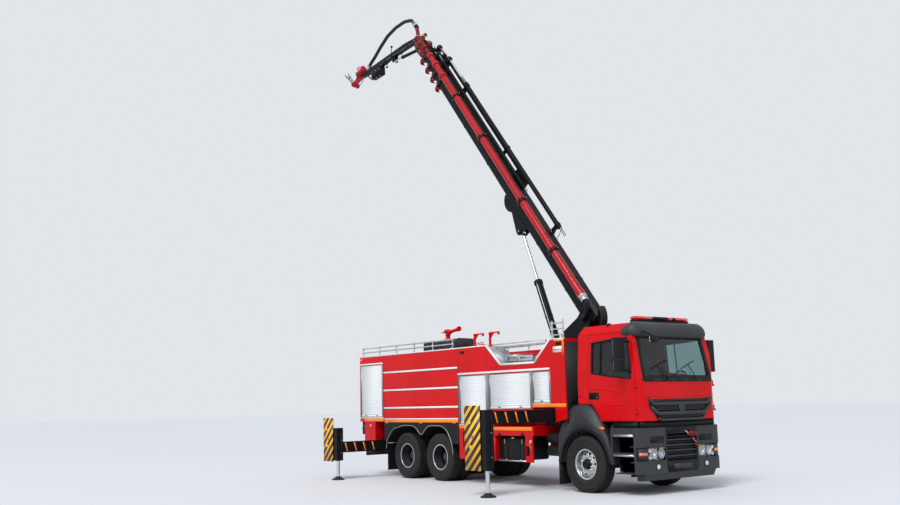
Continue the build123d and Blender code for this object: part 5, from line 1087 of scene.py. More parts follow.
# %% Door mirrors
for word, side in SIDES:
    bench = Bench(side=side)
    for low, high in ((2.3, 2.5), (2.52, 2.915)):
        bench.slab(1.09, 1.097, 1.24, 1.422, low + 0.012, high - 0.012, mirror_glass, 0.003)
        ring = [(1.232, low), (1.43, low), (1.43, high), (1.232, high)]
        for (ya, za), (yb, zb) in zip(ring, ring[1:] + ring[:1]):
            bench.bar((1.093, ya, za), (1.093, yb, zb), 0.008, black, 8)
    bench.slab(1.12, 1.2185, 1.224, 1.436, 2.503, 2.513, plastic, 0.002)
    for z in (2.33, 2.87):
        bench.slab(1.15, 1.214, 1.255, 1.405, z - 0.016, z + 0.016, plastic, 0.01)
    bench.pipe([(1.292, 1.07, 2.238), (1.268, 1.13, 2.3), (1.205, 1.262, 2.345)], 0.02, black, 12, 6)
    bench.pipe([(1.205, 1.045, 2.842), (1.2, 1.15, 2.872), (1.19, 1.262, 2.872)], 0.018, black, 12, 6)
    bench.slab(1.232, 1.312, 1.052, 1.108, 2.18, 2.29, black, 0.014)
    bench.keep("mirror_details_" + word, "door_" + word)

# %% [markdown]
# ## Wings and mudguards
# A moulded wing has round corners and a round opening over its tyre. `rounded` turns each corner of an
# outline into an arc, and the wheel opening is half a circle that closes the outline from inside.

# %% Wings over the front wheels
def rounded(points, radius, steps=6):
    """An outline whose corners are arcs of up to the given radius."""
    line = []
    count = len(points)
    for i in range(count):
        before, here, after = (Vector(points[(i + k) % count]) for k in (-1, 0, 1))
        a, b = before - here, after - here
        cut = min(radius, a.length * 0.45, b.length * 0.45)
        start, end = here + a.normalized() * cut, here + b.normalized() * cut
        for k in range(steps + 1):
            t = k / steps
            line.append(tuple(start * (1 - t) ** 2 + here * 2 * t * (1 - t) + end * t * t))
    return line


def arc(x, z, radius, start, end, steps):
    """Points on an arc, its angles in degrees."""
    return [(x + radius * math.cos(math.radians(start + (end - start) * k / steps)),
             z + radius * math.sin(math.radians(start + (end - start) * k / steps))) for k in range(steps + 1)]


WING = [(-0.735, 0.565), (-0.735, 0.96), (-0.69, 1.18), (-0.3, 1.69), (0.215, 1.69), (0.47, 1.35), (0.69, 0.92),
    (0.712, 0.565)]
bench = Bench()
for bench.side in (-1, 1):
    top = rounded(WING, 0.2)[7:-7]
    outline = [WING[0]] + top + [WING[-1]] + arc(0, 0.545, 0.664, 2, 178, 36)
    bench.prism(outline, 0.872, 1.204, plastic, soft=0.014, steps=3)
    bench.prism(WING[1:-1] + [(0.64, 0.72)] + arc(0, 0.545, 0.69, 15, 165, 20), 0.872, 1.186, black,
        soft=0.002)
    bench.prism(arc(0, 0.545, 0.672, 4, 176, 36) + arc(0, 0.545, 0.65, 176, 4, 36), 1.15, 1.213, black,
        soft=0.005)
    bench.slab(-0.739, -0.727, 0.882, 1.194, 0.132, 0.61, black)
    for k in range(5):
        y = 0.93 + k * 0.055
        bench.slab(-0.7425, -0.737, y - 0.006, y + 0.006, 0.16, 0.56, black, 0.002)
    for low in (0.77, 1.135):
        bench.slab(0.764, 1.286, 0.996, 1.199, low - 0.049, low - 0.031, silver, 0.003)
bench.keep("front_wings", "truck", ["fenders_and_steps"])

# %% Dark skirt between cab and bumper, with black panels painted as shade in the step wells and behind the cab
bench = Bench()
for bench.side in (-1, 1):
    # Of these blocks, the one across the back of each step well (y 0.963 to 0.99) is black as painted shade for the
    # recess behind the steps.
    bench.slabs(black, (0.7, 1.33, 1.085, 1.115, 1.215, 1.3685, 0.006),
        (0.72, 1.32, 0.963, 0.99, 0.42, 1.3, 0.004), (0.73, 0.758, 0.98, 1.19, 0.58, 1.3, 0.006))
bench.prism(rounded([(0.9, -1.1), (1.4, -1.06), (1.412, 0.0), (1.4, 1.06), (0.9, 1.1), (0.9, 1.02), (1.36, 0.99),
    (1.36, -0.99), (0.9, -1.02)], 0.05), 1.24, 1.368, black, axis="z", soft=0.004)
# A black sheet over the body's front face: painted shade for the gap between cab and body.
body_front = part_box("front_lockers")[1][0] - AXLE
bench.slab(body_front + 0.0005, body_front + 0.01, -1.225, 1.225, 1.33, 2.96, black, 0.003)
bench.keep("cab_skirt_and_shade_panels", "truck")

# %% [markdown]
# Each pair of rear wheels runs under a double arch. Its grey edge is a tube along the arches' line, and the
# dark panel behind it comes from the CAD node.

# %% Arch edges, rear flaps and lower boxes
bench = Bench()
ARCH = [(-4.17, 0.62), (-4.215, 0.86), (-4.3, 1.03), (-4.42, 1.175), (-4.6, 1.258), (-4.85, 1.272), (-5.08, 1.262),
    (-5.23, 1.205), (-5.35, 1.095), (-5.425, 1.062), (-5.5, 1.095), (-5.62, 1.205), (-5.77, 1.262), (-6.0, 1.272),
    (-6.23, 1.262), (-6.43, 1.222), (-6.6, 1.19), (-6.78, 1.05), (-6.9, 0.9), (-6.945, 0.7)]
for bench.side in (-1, 1):
    bench.pipe([(x, 1.252, z - 0.004) for x, z in ARCH], 0.011, grey_frame, 8, 4)
    bench.slab(-6.94, -6.926, 0.562, 1.213, 0.172, 0.86, black)
    for k in range(8):
        y = 0.64 + k * 0.07
        bench.slab(-6.946, -6.938, y - 0.007, y + 0.007, 0.2, 0.84, black, 0.002)
    bench.slab(-6.942, -6.92, 0.562, 1.213, 0.82, 0.86, silver)
    for x in (-6.99, -4.02):
        for z in (0.92, 1.1, 1.28):
            bench.turned([(0, 0), (0, 0.012), (0.004, 0.011), (0.006, 0)], (x, BODY_SIDE, z), (0, 1, 0), grey_steel, 6)
    hole = rounded([(-3.776, 0.714), (-3.56, 0.714), (-3.56, 1.179), (-3.776, 1.179)], 0.095, 8)
    rim = rounded([(-3.79, 0.7), (-3.546, 0.7), (-3.546, 1.193), (-3.79, 1.193)], 0.108, 8)
    bench.loft([[Vector((o[0], 1.248, o[1])), Vector((o[0], 1.256, o[1])), Vector((i[0], 1.256, i[1])),
        Vector((i[0], 1.225, i[1]))] for o, i in zip(rim, hole)], hose_black, closed=True)
    for z in (0.8, 0.95, 1.09):
        bench.bar((-3.775, 1.1, z), (-3.56, 1.1, z), 0.028, dark_red)
    bench.slab(-3.79, -3.55, 1.02, 1.03, 0.7, 1.19, frame_black, 0)
bench.keep("arches_and_openings", "truck")

# %% [markdown]
# The black tank hangs in a red frame, with straps, a filler cap and a bright bar under it.

# %% Tanks under the body
bench = Bench()
for bench.side in (-1, 1):
    outline = rounded([(0.562, 0.565), (1.138, 0.565), (1.138, 1.031), (0.562, 1.031)], 0.07, 6)
    bench.prism(outline, -2.648, -1.692, black, axis="x", soft=0.01)
    for x in (-2.45, -1.89):
        band = rounded([(0.556, 0.559), (1.144, 0.559), (1.144, 1.037), (0.556, 1.037)], 0.074, 6)
        bench.prism(band, x - 0.026, x + 0.026, frame_black, axis="x", soft=0.002)
        bench.slab(x - 0.03, x + 0.03, 0.4558, 0.6, 0.862, 1.013, frame_black)
        bench.bar((x, 1.15, 0.9), (x, 1.15, 0.99), 0.009, silver, 8)
    bench.slab(-2.182, -2.158, 1.138, 1.1415, 0.62, 0.98, black, 0.003)
    bench.knob([(0, 0.058), (0.012, 0.062), (0.04, 0.062), (0.048, 0.05)], (-1.83, 1.0, 1.024), (0, 0, 1), silver, 28)
    bench.slab(-2.22, -2.12, 1.15, 1.168, 1.01, 1.032, white)
    bench.slab(-2.662, -1.678, 1.145, 1.171, 0.529, 0.557, silver, 0.005)
    for x in (-2.405, -1.935):
        bench.slab(x - 0.016, x + 0.016, 1.1, 1.171, 0.529, 0.572, silver, 0.003)
bench.keep("fuel_tanks_dressed", "truck", ["fuel_tanks"])

bench = Bench()
for bench.side in (-1, 1):
    # Black half-discs on the skirt stand for its openings: painted shade in place of holes.
    for x in (-2.5, -1.75):
        bench.prism(arc(x, 1.075, 0.058, 0, 180, 14), 1.24, 1.2525, black, soft=0)
    bench.knob([(0, 0.036), (0.012, 0.036), (0.02, 0.026)], (-1.5, BODY_SIDE, 0.95), (0, 1, 0), silver, 20)
    bench.pipe([(-1.5, 1.262, 0.93), (-1.515, 1.272, 0.88), (-1.5, 1.262, 0.83)], 0.007, silver, 6, 5)
    bench.turned([(0, 0), (0, 0.02), (0.01, 0.02), (0.014, 0)], (-1.5, BODY_SIDE, 0.82), (0, 1, 0), red_lens, 16)
    bench.slab(-2.702, -2.67, 1.15, 1.2525, 0.532, 1.07, red)
    for x, y, z in ((-0.98, 0.8, 1.02), (-0.98, 0.8, 0.76)):
        bench.bar((x - 0.42, y, z), (x + 0.22, y, z), 0.11, frame_black, 28, 0.02)
        for dx in (-0.25, 0.05):
            bench.slab(x + dx - 0.016, x + dx + 0.016, 0.46, y + 0.112, z - 0.018, z + 0.018, frame_black, 0.003)
bench.keep("lower_box_details", "truck")

# %% [markdown]
# ## Roof
# The rails, the ladder on its two red frames, the valve pipes and the covered box are CAD nodes. Clamps,
# flanges, handles and pressed ribs make them read as made things. In the notch beside the crane lie
# chequered plates, a step and a silver box with its piping.

# %% The notch, roof rails and ladder
bench = Bench()
for bench.side in (-1, 1):
    bench.slab(-2.38, -1.32, 0.765, 1.205, 2.5905, 2.6, plate, 0.002)
    bench.prism([(-2.85, 2.99), (-2.4, 2.6005), (-2.385, 2.612), (-2.835, 3.004)], 0.765, 1.2, plate, soft=0.002)
    bench.prism([(-0.862, 2.995), (-1.312, 2.6005), (-1.3, 2.594), (-0.85, 2.985)], 0.765, 1.2, plate, soft=0.001)
    bench.slab(-2.34, -2.02, 0.8, 1.14, 2.601, 2.79, plate, 0.008)
    bench.slab(-1.98, -1.6, 0.82, 1.12, 2.601, 2.7, silver, 0.008)
    bench.slab(-1.97, -1.61, 0.83, 1.11, 2.701, 2.724, plate, 0.006)
    for z in (2.655, 2.735):
        bench.bar((-2.3, 1.16, z), (-1.45, 1.16, z), 0.016, silver, 12)
    for x in (-2.29, -1.86, -1.46):
        bench.bar((x, 1.16, 2.601), (x, 1.16, 2.745), 0.014, silver, 12)
    bench.knob([(0, 0.045), (0.02, 0.045), (0.03, 0.03), (0.1, 0.03), (0.11, 0.05), (0.13, 0.05)],
        (-1.5, 0.98, 2.601), (0, 0, 1), silver, 24)
    for i in range(6):
        x = -8.085 + i * 0.78
        bench.knob([(0, 0.038), (0.008, 0.038), (0.012, 0.026)], (x, 1.185, 3.0203), (0, 0, 1), silver, 20)
        for z in (3.14, 3.245):
            bench.hoop([(-0.028, 0.0175), (-0.028, 0.027), (0.028, 0.027), (0.028, 0.0175)], (x, 1.185, z), (1, 0, 0),
                silver, 16)
    for x in (-0.79, -0.47):
        bench.knob([(0, 0.04), (0.008, 0.04), (0.012, 0.026)], (x, 1.185, 3.0263), (0, 0, 1), silver, 20)
        bench.turned([(0, 0), (0, 0.0175), (0.008, 0.014), (0.012, 0)], (x, 1.185, 3.398), (0, 0, 1), black,
            16)
for y in (-1.04, -0.728):
    bench.slab(-3.853, -1.147, y - 0.002, y + 0.03, 2.995, 3.025, white)
    for x in (-3.853, -1.167):
        bench.slab(x, x + 0.02, y - 0.004, y + 0.032, 2.972, 3.048, black, 0.006)
for x in (-3.4, -2.1):
    bench.slab(x - 0.02, x + 0.02, -1.065, -0.675, 3.046, 3.066, white, 0.005)
bench.keep("roof_fittings", "truck")

bench = Bench()
for x in (-3.5, -2.95):
    for z in (2.88, 3.3):
        bench.slab(x - 0.026, x + 0.026, -1.091, -1.039, z, z + 0.024, red, 0.005)
    bench.knob([(0, 0.03), (0.03, 0.03), (0.036, 0.022)], (x + 0.3, -1.065, 3.296), (0, 0, -1), red, 16)
    bench.prism([(x + 0.02, 3.3), (x + 0.14, 3.3), (x + 0.02, 3.18)], -1.073, -1.057, red, soft=0.003)
for i in range(3):
    px = -4.08 + i * 0.13
    bench.hoop([(0, 0.038), (0, 0.058), (0.014, 0.058), (0.014, 0.038)], (px, -0.59, 2.869), (0, 0, 1), red, 24)
    bench.knob([(0, 0.052), (0.012, 0.056), (0.04, 0.056), (0.052, 0.048)], (px, -0.59, 3.07), (0, 0, 1), red, 24)
    bench.bar((px, -0.59, 3.12), (px, -0.59, 3.165), 0.012, silver, 12)
    bench.hoop([(-0.006, 0.034), (-0.006, 0.046), (0.006, 0.046), (0.006, 0.034)], (px, -0.59, 3.16), (0, 0, 1), red,
        20)
    bench.bar((px - 0.038, -0.59, 3.16), (px + 0.038, -0.59, 3.16), 0.006, red, 8)
for x in (-4.165, -3.735):
    bench.hoop([(-0.016, 0.045), (-0.016, 0.066), (0.016, 0.066), (0.016, 0.045)], (x, -0.59, 3.05), (1, 0, 0), red,
        24)
bench.keep("roof_pipes", "truck")

# %% The covered box and the roof monitor
bench = Bench()
lid = rounded([(-0.998, 2.872), (-0.472, 2.872), (-0.472, 3.284), (-0.998, 3.284)], 0.075, 6)
rings = []
for k in range(29):
    x = -5.598 + 1.346 * k / 28
    slack = 0.006 * math.sin(k * 1.9) + 0.004 * math.sin(k * 4.7)
    shut = 0.012 if k in (0, 28) else 0.0
    ring = []
    for i, (y, z) in enumerate(lid):
        fold = 0.004 * math.sin(i * 2.3 + k * 0.9) if z > 2.95 else 0.0
        inwards = 1 if y < -0.73 else -1
        ring.append(Vector((x, y + inwards * (shut - slack * 0.35),
                            min(3.289, z - shut + (slack * 0.5 + fold if z > 3.2 else 0.0)))))
    rings.append(ring)
bench.loft(rings, cover_black)
for x in (-5.35, -4.92, -4.5):
    strap = rounded([(-1.003, 2.874), (-0.467, 2.874), (-0.467, 3.2875), (-1.003, 3.2875)], 0.078, 6)
    bench.loft([[Vector((x + dx, y, z)) for y, z in strap] for dx in (-0.02, 0.02)], black)
    bench.slab(x - 0.026, x + 0.026, -1.012, -1.0, 3.02, 3.07, silver, 0.003)
for x in (-5.59, -4.262):
    bench.pipe([(x, y, z) for y, z in lid[::3]], 0.009, hose_black, 8, 3, loop=True)
cover = bench.keep("roof_cover", "truck", ["covered_box"])

bench = Bench()
mx, my, mz = -4.95, -0.735, 3.29
bench.turned([(0, 0), (0, 0.112), (0.016, 0.112), (0.02, 0.08), (0.03, 0.066), (0.044, 0.058), (0.11, 0.056),
    (0.114, 0.068), (0.128, 0.068), (0.132, 0.056), (0.17, 0.06), (0.196, 0.076), (0.226, 0.078), (0.252, 0.06),
    (0.262, 0.03), (0.264, 0)], (mx, my, mz), (0, 0, 1), red, 36)
for i in range(8):
    t = 2 * math.pi * i / 8
    bench.turned([(0, 0), (0, 0.01), (0.01, 0.01), (0.012, 0)], (mx + 0.092 * math.cos(t), my + 0.092 * math.sin(t),
        mz + 0.016), (0, 0, 1), silver, 6)
run = Vector((0.43, 0, 0.06))
bench.knob([(0.0, 0.06), (0.085, 0.06), (0.095, 0.046), (0.2, 0.042), (0.36, 0.038), (0.372, 0.05), (0.392, 0.05),
    (0.4, 0.042), (0.412, 0.058), (0.47, 0.06), (0.48, 0.052), (0.47, 0.048), (0.43, 0.03)], (mx, my, mz + 0.18), run,
    red, 32)
bench.pipe([(mx - 0.03, my, mz + 0.19), (mx - 0.112, my, mz + 0.185)], 0.014, red, 10, 1)
bench.pipe([(mx - 0.112, my - 0.092, mz + 0.184), (mx - 0.118, my, mz + 0.184), (mx - 0.112, my + 0.092, mz + 0.184)],
    0.012, black, 10, 4)
for k in (-1, 1):
    bench.knob([(0, 0.04), (0.01, 0.044), (0.024, 0.044), (0.03, 0.034)], (mx, my + k * 0.07, mz + 0.205), (0, k, 0),
        red, 24)
bench.keep("roof_monitor_dressed", "truck", ["roof_monitor"])

# %% [markdown]
# ## The turret
# The crane stands on a slewing ring. A ring of bolt heads is a pattern again, so Geometry Nodes sets one
# head at each of evenly spaced points of a circle. The same tree serves every bolted flange on the boom.

# %% A Geometry Nodes tree for rings of bolts
bolts = new_tree("bolt ring", {"Count": "Int", "Circle": "Float", "Size": "Float", "Height": "Float"}, {
    "circle": "GeometryNodeMeshCircle",
    "head": ("GeometryNodeMeshCylinder", {"Vertices": 6}),
    "lay": "GeometryNodeInstanceOnPoints",
}, "given.Count > circle.Vertices, given.Circle > circle.Radius, given.Size > head.Radius, given.Height > head.Depth, "
    "circle.Mesh > lay.Points, head.Mesh > lay.Instance, lay.Instances")


def bolt_ring(bench, middle, run, count, circle, size=0.012, height=0.016, mat=silver):
    """Bolt heads round a middle, facing along run."""
    mesh = grow(bolts, {"Count": count, "Circle": circle, "Size": size, "Height": height, "Finish": mat})
    turn = Vector((0, 0, 1)).rotation_difference(bench.at(run)).to_matrix().to_4x4()
    bench.mesh(mesh, mat, Matrix.Translation(bench.at(middle)) @ turn)
    bpy.data.meshes.remove(mesh)


# %% Slewing ring, neck plates and valves
bench = Bench()
bench.hoop([(0.0, 0.3), (0.0, 0.44), (0.022, 0.44), (0.026, 0.436), (0.026, 0.398), (0.088, 0.398), (0.092, 0.392),
    (0.094, 0.3)], (-1.45, 0, 2.5615), (0, 0, 1), boom_black, 72)
bolt_ring(bench, (-1.45, 0, 2.592), (0, 0, 1), 24, 0.42, 0.014, 0.02)
bolt_ring(bench, (-1.45, 0, 2.662), (0, 0, 1), 24, 0.345, 0.013, 0.018)
for bench.side in (-1, 1):
    edge = [(-1.928, 2.66), (-1.955, 2.79), (-1.8, 2.925), (-1.662, 2.895), (-1.53, 3.235), (-1.062, 3.515),
        (-0.902, 3.694), (-0.765, 3.684), (-0.668, 3.558), (-0.705, 3.38), (-0.982, 2.985), (-1.062, 2.66)]
    for (ax, az), (bx, bz) in zip(edge, edge[1:]):
        bench.bar((ax, 0.18, az), (bx, 0.18, bz), 0.011, boom_black, 8)
    for x, z, radius in ((-0.85, 3.5, 0.096), (-1.8, 2.78, 0.078)):
        bench.knob([(0, radius), (0.014, radius), (0.018, radius - 0.006), (0.018, radius * 0.62),
            (0.034, radius * 0.58), (0.038, radius * 0.5)], (x, 0.183, z), (0, 1, 0), boom_black, 36)
        bolt_ring(bench, (x, 0.205, z), (0, 1, 0), 6, radius * 0.8, 0.008, 0.012)
    for x, z, radius in ((-1.3, 3.1, 0.075), (-1.12, 2.86, 0.05)):
        bench.hoop([(-0.002, radius), (-0.002, radius + 0.014), (0.006, radius + 0.014), (0.006, radius)],
            (x, 0.183, z), (0, 1, 0), boom_black, 32)
    bench.prism([(-1.9, 2.66), (-1.7, 2.66), (-1.6, 2.8), (-1.6, 2.86)], 0.183, 0.192, boom_black, soft=0.003)
for k in range(7):
    x = -1.44 + k * 0.055
    bench.slab(x - 0.022, x + 0.022, -0.235, -0.186, 2.7, 2.86, grey_steel, 0.006)
    bench.bar((x, -0.215, 2.86), (x, -0.222, 2.935), 0.006, silver, 8)
    bench.turned([(0, 0), (0, 0.011), (0.012, 0.013), (0.02, 0.008), (0.022, 0)], (x, -0.223, 2.93), (0, 0, 1),
        black, 12)
    bench.knob([(0, 0.014), (0.016, 0.014), (0.02, 0.01)], (x, -0.235, 2.74), (0, -1, 0), silver, 6)
bench.slab(-1.475, -1.075, -0.225, -0.186, 2.672, 2.702, boom_black, 0.005)
for k in range(4):
    x = -1.4 + k * 0.1
    bench.pipe([(x, -0.247, 2.74), (x - 0.01, -0.3, 2.7), (x - 0.06, -0.32, 2.63), (x - 0.14, -0.34, 2.6)], 0.012,
        hose_black, 8, 6)
for y in (0.2, 0.235):
    bench.pipe([(-1.05, y, 2.68), (-1.08, y, 2.9), (-1.0, y, 3.05), (-0.86, y, 3.24)], 0.013, silver, 10, 6)
for x, z in ((-1.05, 2.76), (-1.06, 2.95)):
    bench.slab(x - 0.03, x + 0.03, 0.184, 0.252, z - 0.014, z + 0.014, black, 0.005)
bench.keep("turret_details", "turret")

# %% [markdown]
# ## The boom
# The water pipe outside the boom telescopes with it: each stage has a collar with a gland, and clamps tie the
# outermost pipe to the box. The three cylinders lie on top in steps. All of this is drawn along the boom, so
# a collar is simply at so many metres from the pivot.

# %% Helpers along the boom
STAGE_END = (8.4, 8.785, 9.17, 9.555)
PIPE_AT = (0.246, 0.3)
PIPE_RADIUS = (0.084, 0.072, 0.06, 0.048)
RAMS = ((-0.08, 0.545, 0.055, 0.032), (0.03, 0.405, 0.042, 0.026), (-0.195, 0.405, 0.038, 0.024))
RAM_ENDS = ((2.255, 7.64), (3.85, 8.775), (4.3, 9.16))


def box_ring(inset, s):
    """The folded section of the boom's box at a place along it."""
    half, low, high, bend = 0.14 - inset, -0.108 + inset, 0.322 - inset, 0.055
    corners = ((-half, low + bend), (-half + bend, low), (half - bend, low), (half, low + bend),
               (half, high - bend), (half - bend, high), (-half + bend, high), (-half, high - bend))
    return [Vector((s, y, o)) for y, o in corners]


def mouth(bench, k):
    """The welded frame round a box's mouth, with its pads' bolts and a hook under it."""
    s, inset = STAGE_END[k], 0.016 * k
    bench.loft([box_ring(inset + deep, s + on) for deep, on in (
        (-0.019, -0.132), (-0.024, -0.128), (-0.024, -0.098), (-0.019, -0.094), (-0.019, -0.04), (-0.026, -0.036),
        (-0.026, 0.001), (-0.02, 0.004), (0.01, 0.003), (0.01, -0.132))], boom_black, closed=True)
    for bench.side in (-1, 1):
        for o in (-0.03, 0.1, 0.23):
            bench.knob([(0, 0.012), (0.01, 0.012), (0.013, 0.008)], (s - 0.066, 0.158 - inset, o), (0, 1, 0),
                brass if k else silver, 6)
    low = -0.108 + inset
    hook, inner = (arc(s + 0.006, low - 0.108, radius, 130, -138, 24) for radius in (0.1, 0.066))
    bench.prism(hook + inner[::-1], -0.048, 0.048, dark_red, soft=0.008)
    bench.prism([(s - 0.11, low - 0.02), (s + 0.05, low - 0.02), (s + 0.02, low + 0.004), (s - 0.09, low + 0.004)],
        -0.06, 0.06, dark_red, soft=0.006)


def pipe_collar(bench, s, radius, mat, ring_mat):
    """A gland and flange at the mouth of a water pipe."""
    y, o = PIPE_AT
    bench.hoop([(0, radius * 0.86), (0, radius + 0.022), (0.016, radius + 0.028), (0.03, radius + 0.028),
        (0.034, radius + 0.014), (0.062, radius + 0.012), (0.066, radius + 0.026), (0.086, radius + 0.026),
        (0.092, radius + 0.018), (0.092, radius * 0.86)], (s - 0.092, y, o), (1, 0, 0), mat, 36)
    bench.hoop([(0, radius * 0.86), (0, radius + 0.008), (0.012, radius + 0.004), (0.012, radius * 0.86)], (s, y, o),
        (1, 0, 0), ring_mat, 36)
    bolt_ring(bench, (s + 0.003, y, o), (1, 0, 0), 8, radius + 0.016, 0.0065, 0.01)


def cylinder_dress(bench, k, lines=True):
    """Gland nut, a brass ring on the rod, base cap and the two oil tubes of an extension cylinder."""
    y, o, radius, rod = RAMS[k]
    start, end = RAM_ENDS[k]
    bench.hoop([(0, rod + 0.002), (0, radius + 0.006), (0.01, radius + 0.012), (0.07, radius + 0.012),
        (0.08, radius + 0.004), (0.092, rod + 0.01), (0.098, rod + 0.002)], (end - 0.08, y, o), (1, 0, 0), boom_black,
        32)
    bench.hoop([(0, rod + 0.001), (0, rod + 0.008), (0.006, rod + 0.006), (0.006, rod + 0.001)], (end + 0.018, y, o),
        (1, 0, 0), brass, 28)
    bench.knob([(0, radius + 0.004), (0.01, radius + 0.009), (0.045, radius + 0.009), (0.05, radius)],
        (start - 0.004, y, o), (1, 0, 0), boom_black, 32)
    if lines:
        for turn in (0.5, 1.1):
            dy, do = math.cos(turn) * (radius + 0.014), math.sin(turn) * (radius + 0.014)
            bench.pipe([(start + 0.03, y + dy * 0.7, o + do * 0.7), (start + 0.08, y + dy, o + do),
                (end - 0.16, y + dy, o + do), (end - 0.1, y + dy * 0.75, o + do * 0.75)], 0.008, boom_black, 8, 3)


print("water pipe collars at", [round(s, 2) for s in STAGE_END])

# %% Outer box
bench = Bench(ON_BOOM)
mouth(bench, 0)
cylinder_dress(bench, 0)
y, o = PIPE_AT
for s in (1.7, 3.33, 5.64, 7.3):
    bench.hoop([(0, 0.0845), (0, 0.1), (0.006, 0.102), (0.054, 0.102), (0.06, 0.1), (0.06, 0.0845)],
        (s - 0.03, y, o), (1, 0, 0), boom_black, 36)
    for dy, do in ((0.055, -0.105), (-0.02, 0.118)):
        bench.slab(s - 0.026, s + 0.026, y + dy - 0.018, y + dy + 0.018, o + do - 0.012, o + do + 0.012, boom_black)
        bench.bar((s, y + dy, o + do - 0.028), (s, y + dy, o + do + 0.028), 0.007, silver, 8)
for s in (0.9, 2.35, 3.95, 5.15, 6.6):
    bench.loft([box_ring(deep, s + on) for deep, on in ((-0.0035, -0.02), (-0.0055, -0.017), (-0.0055, 0.017),
        (-0.0035, 0.02), (0.004, 0.02), (0.004, -0.02))], boom_black, closed=True)
for y in (-0.152, -0.166):
    bench.pipe([(0.35, y, 0.02), (0.6, y, 0.06), (3.5, y, 0.06), (3.62, y, 0.04)], 0.007, silver, 8, 3)
    bench.pipe([(4.45, y, 0.04), (4.6, y, 0.06), (8.1, y, 0.06), (8.22, y, 0.1)], 0.007, silver, 8, 3)
for s in (0.75, 1.6, 2.5, 3.3, 4.7, 5.6, 6.5, 7.4, 8.05):
    bench.slab(s - 0.016, s + 0.016, -0.174, -0.139, 0.044, 0.076, black)
bench.pipe([(2.25, -0.08, 0.56), (2.18, -0.08, 0.545), (2.14, -0.08, 0.47), (2.12, -0.08, 0.345)], 0.009, silver, 8,
    6)
y, o, radius, rod = RAMS[0]
for s, wide in ((2.345, 0.06), (5.05, 0.045), (7.54, 0.08)):
    bench.hoop([(0, radius + 0.0005), (0, radius + 0.016), (wide * 0.9, radius + 0.016),
        (wide * 0.9, radius + 0.0005)], (s - wide * 0.45, y, o), (1, 0, 0), boom_black, 32)
    bench.slab(s - wide * 0.9, s + wide * 0.9, y - 0.055, y + 0.055, 0.318, 0.334, boom_black)
    for dy in (-0.04, 0.04):
        bench.knob([(0, 0.012), (0.012, 0.012)], (s, y + dy, 0.333), (0, 0, 1), silver, 6)
for bench.side in (-1, 1):
    bench.knob([(0, 0.08), (0.01, 0.08), (0.014, 0.072), (0.014, 0.05), (0.024, 0.044)], (3.019, 0.1, -0.33),
        (0, 1, 0), boom_black, 32)
    bench.knob([(-0.004, 0.022), (0.004, 0.022)], (3.019, 0.124, -0.33), (0, 1, 0), silver, 6)
# the hose reel: spoked flanges, a drum of coiled hose and its motor
for start in (-0.167, -0.362):
    bench.hoop([(0, 0.285), (0, 0.304), (0.006, 0.308), (0.012, 0.304), (0.012, 0.285)], (4.03, start, -0.21),
        (0, -1, 0), boom_black, 56)
for k in range(4):
    for turn in range(3):
        bench.pipe([(4.03 + (0.242 + 0.016 * turn) * math.cos(t), -0.198 - 0.044 * k,
            -0.21 + (0.242 + 0.016 * turn) * math.sin(t)) for t in (2 * math.pi * i / 18 for i in range(18))], 0.0125,
            hose_black, 7, 2, loop=True)
for k in range(6):
    t = math.pi * k / 3
    a = (4.03 + 0.05 * math.cos(t), -0.377, -0.21 + 0.05 * math.sin(t))
    bench.bar(a, (4.03 + 0.288 * math.cos(t), -0.377, -0.21 + 0.288 * math.sin(t)), 0.01, boom_black, 8)
bench.knob([(0, 0.064), (0.03, 0.064), (0.036, 0.05), (0.07, 0.048), (0.074, 0.042)], (4.03, -0.374, -0.21),
    (0, -1, 0), grey_steel, 28)
bench.pipe([(4.03, -0.44, -0.21), (4.02, -0.462, -0.14), (3.95, -0.4, -0.02), (3.86, -0.2, 0.06)], 0.012, hose_black,
    8, 6)
bench.keep("boom_outer_details", "boom")

# %% Water pipe and its collars
bench = Bench(ON_BOOM)
y, o = PIPE_AT
for s in (1.7775, 3.4075, 5.7175):
    bench.hoop([(0, 0.0842), (0, 0.112), (0.014, 0.112), (0.016, 0.106), (0.022, 0.106), (0.024, 0.112),
        (0.038, 0.112), (0.038, 0.0842)], (s - 0.019, y, o), (1, 0, 0), pipe_red, 40)
    bolt_ring(bench, (s - 0.022, y, o), (1, 0, 0), 8, 0.099, 0.008, 0.01)
    bolt_ring(bench, (s + 0.022, y, o), (1, 0, 0), 8, 0.099, 0.008, 0.01)
pipe_collar(bench, 8.234, 0.084, pipe_red, brass)
bench.turned([(0, 0), (0, 0.08), (0.01, 0.088), (0.04, 0.088), (0.046, 0.078), (0.08, 0.078), (0.086, 0.094),
    (0.12, 0.094), (0.124, 0.102), (0.142, 0.102), (0.146, 0.086)], (0.218, y, o), (1, 0, 0), silver, 40)
bench.pipe([(0.24, y, o), (0.12, y, o - 0.03), (0.02, y - 0.01, o - 0.12), (-0.03, y - 0.02, o - 0.24),
    (-0.02, y - 0.02, o - 0.32)], 0.058, boom_black, 24, 8)
bench.keep("water_pipe_details", "boom")

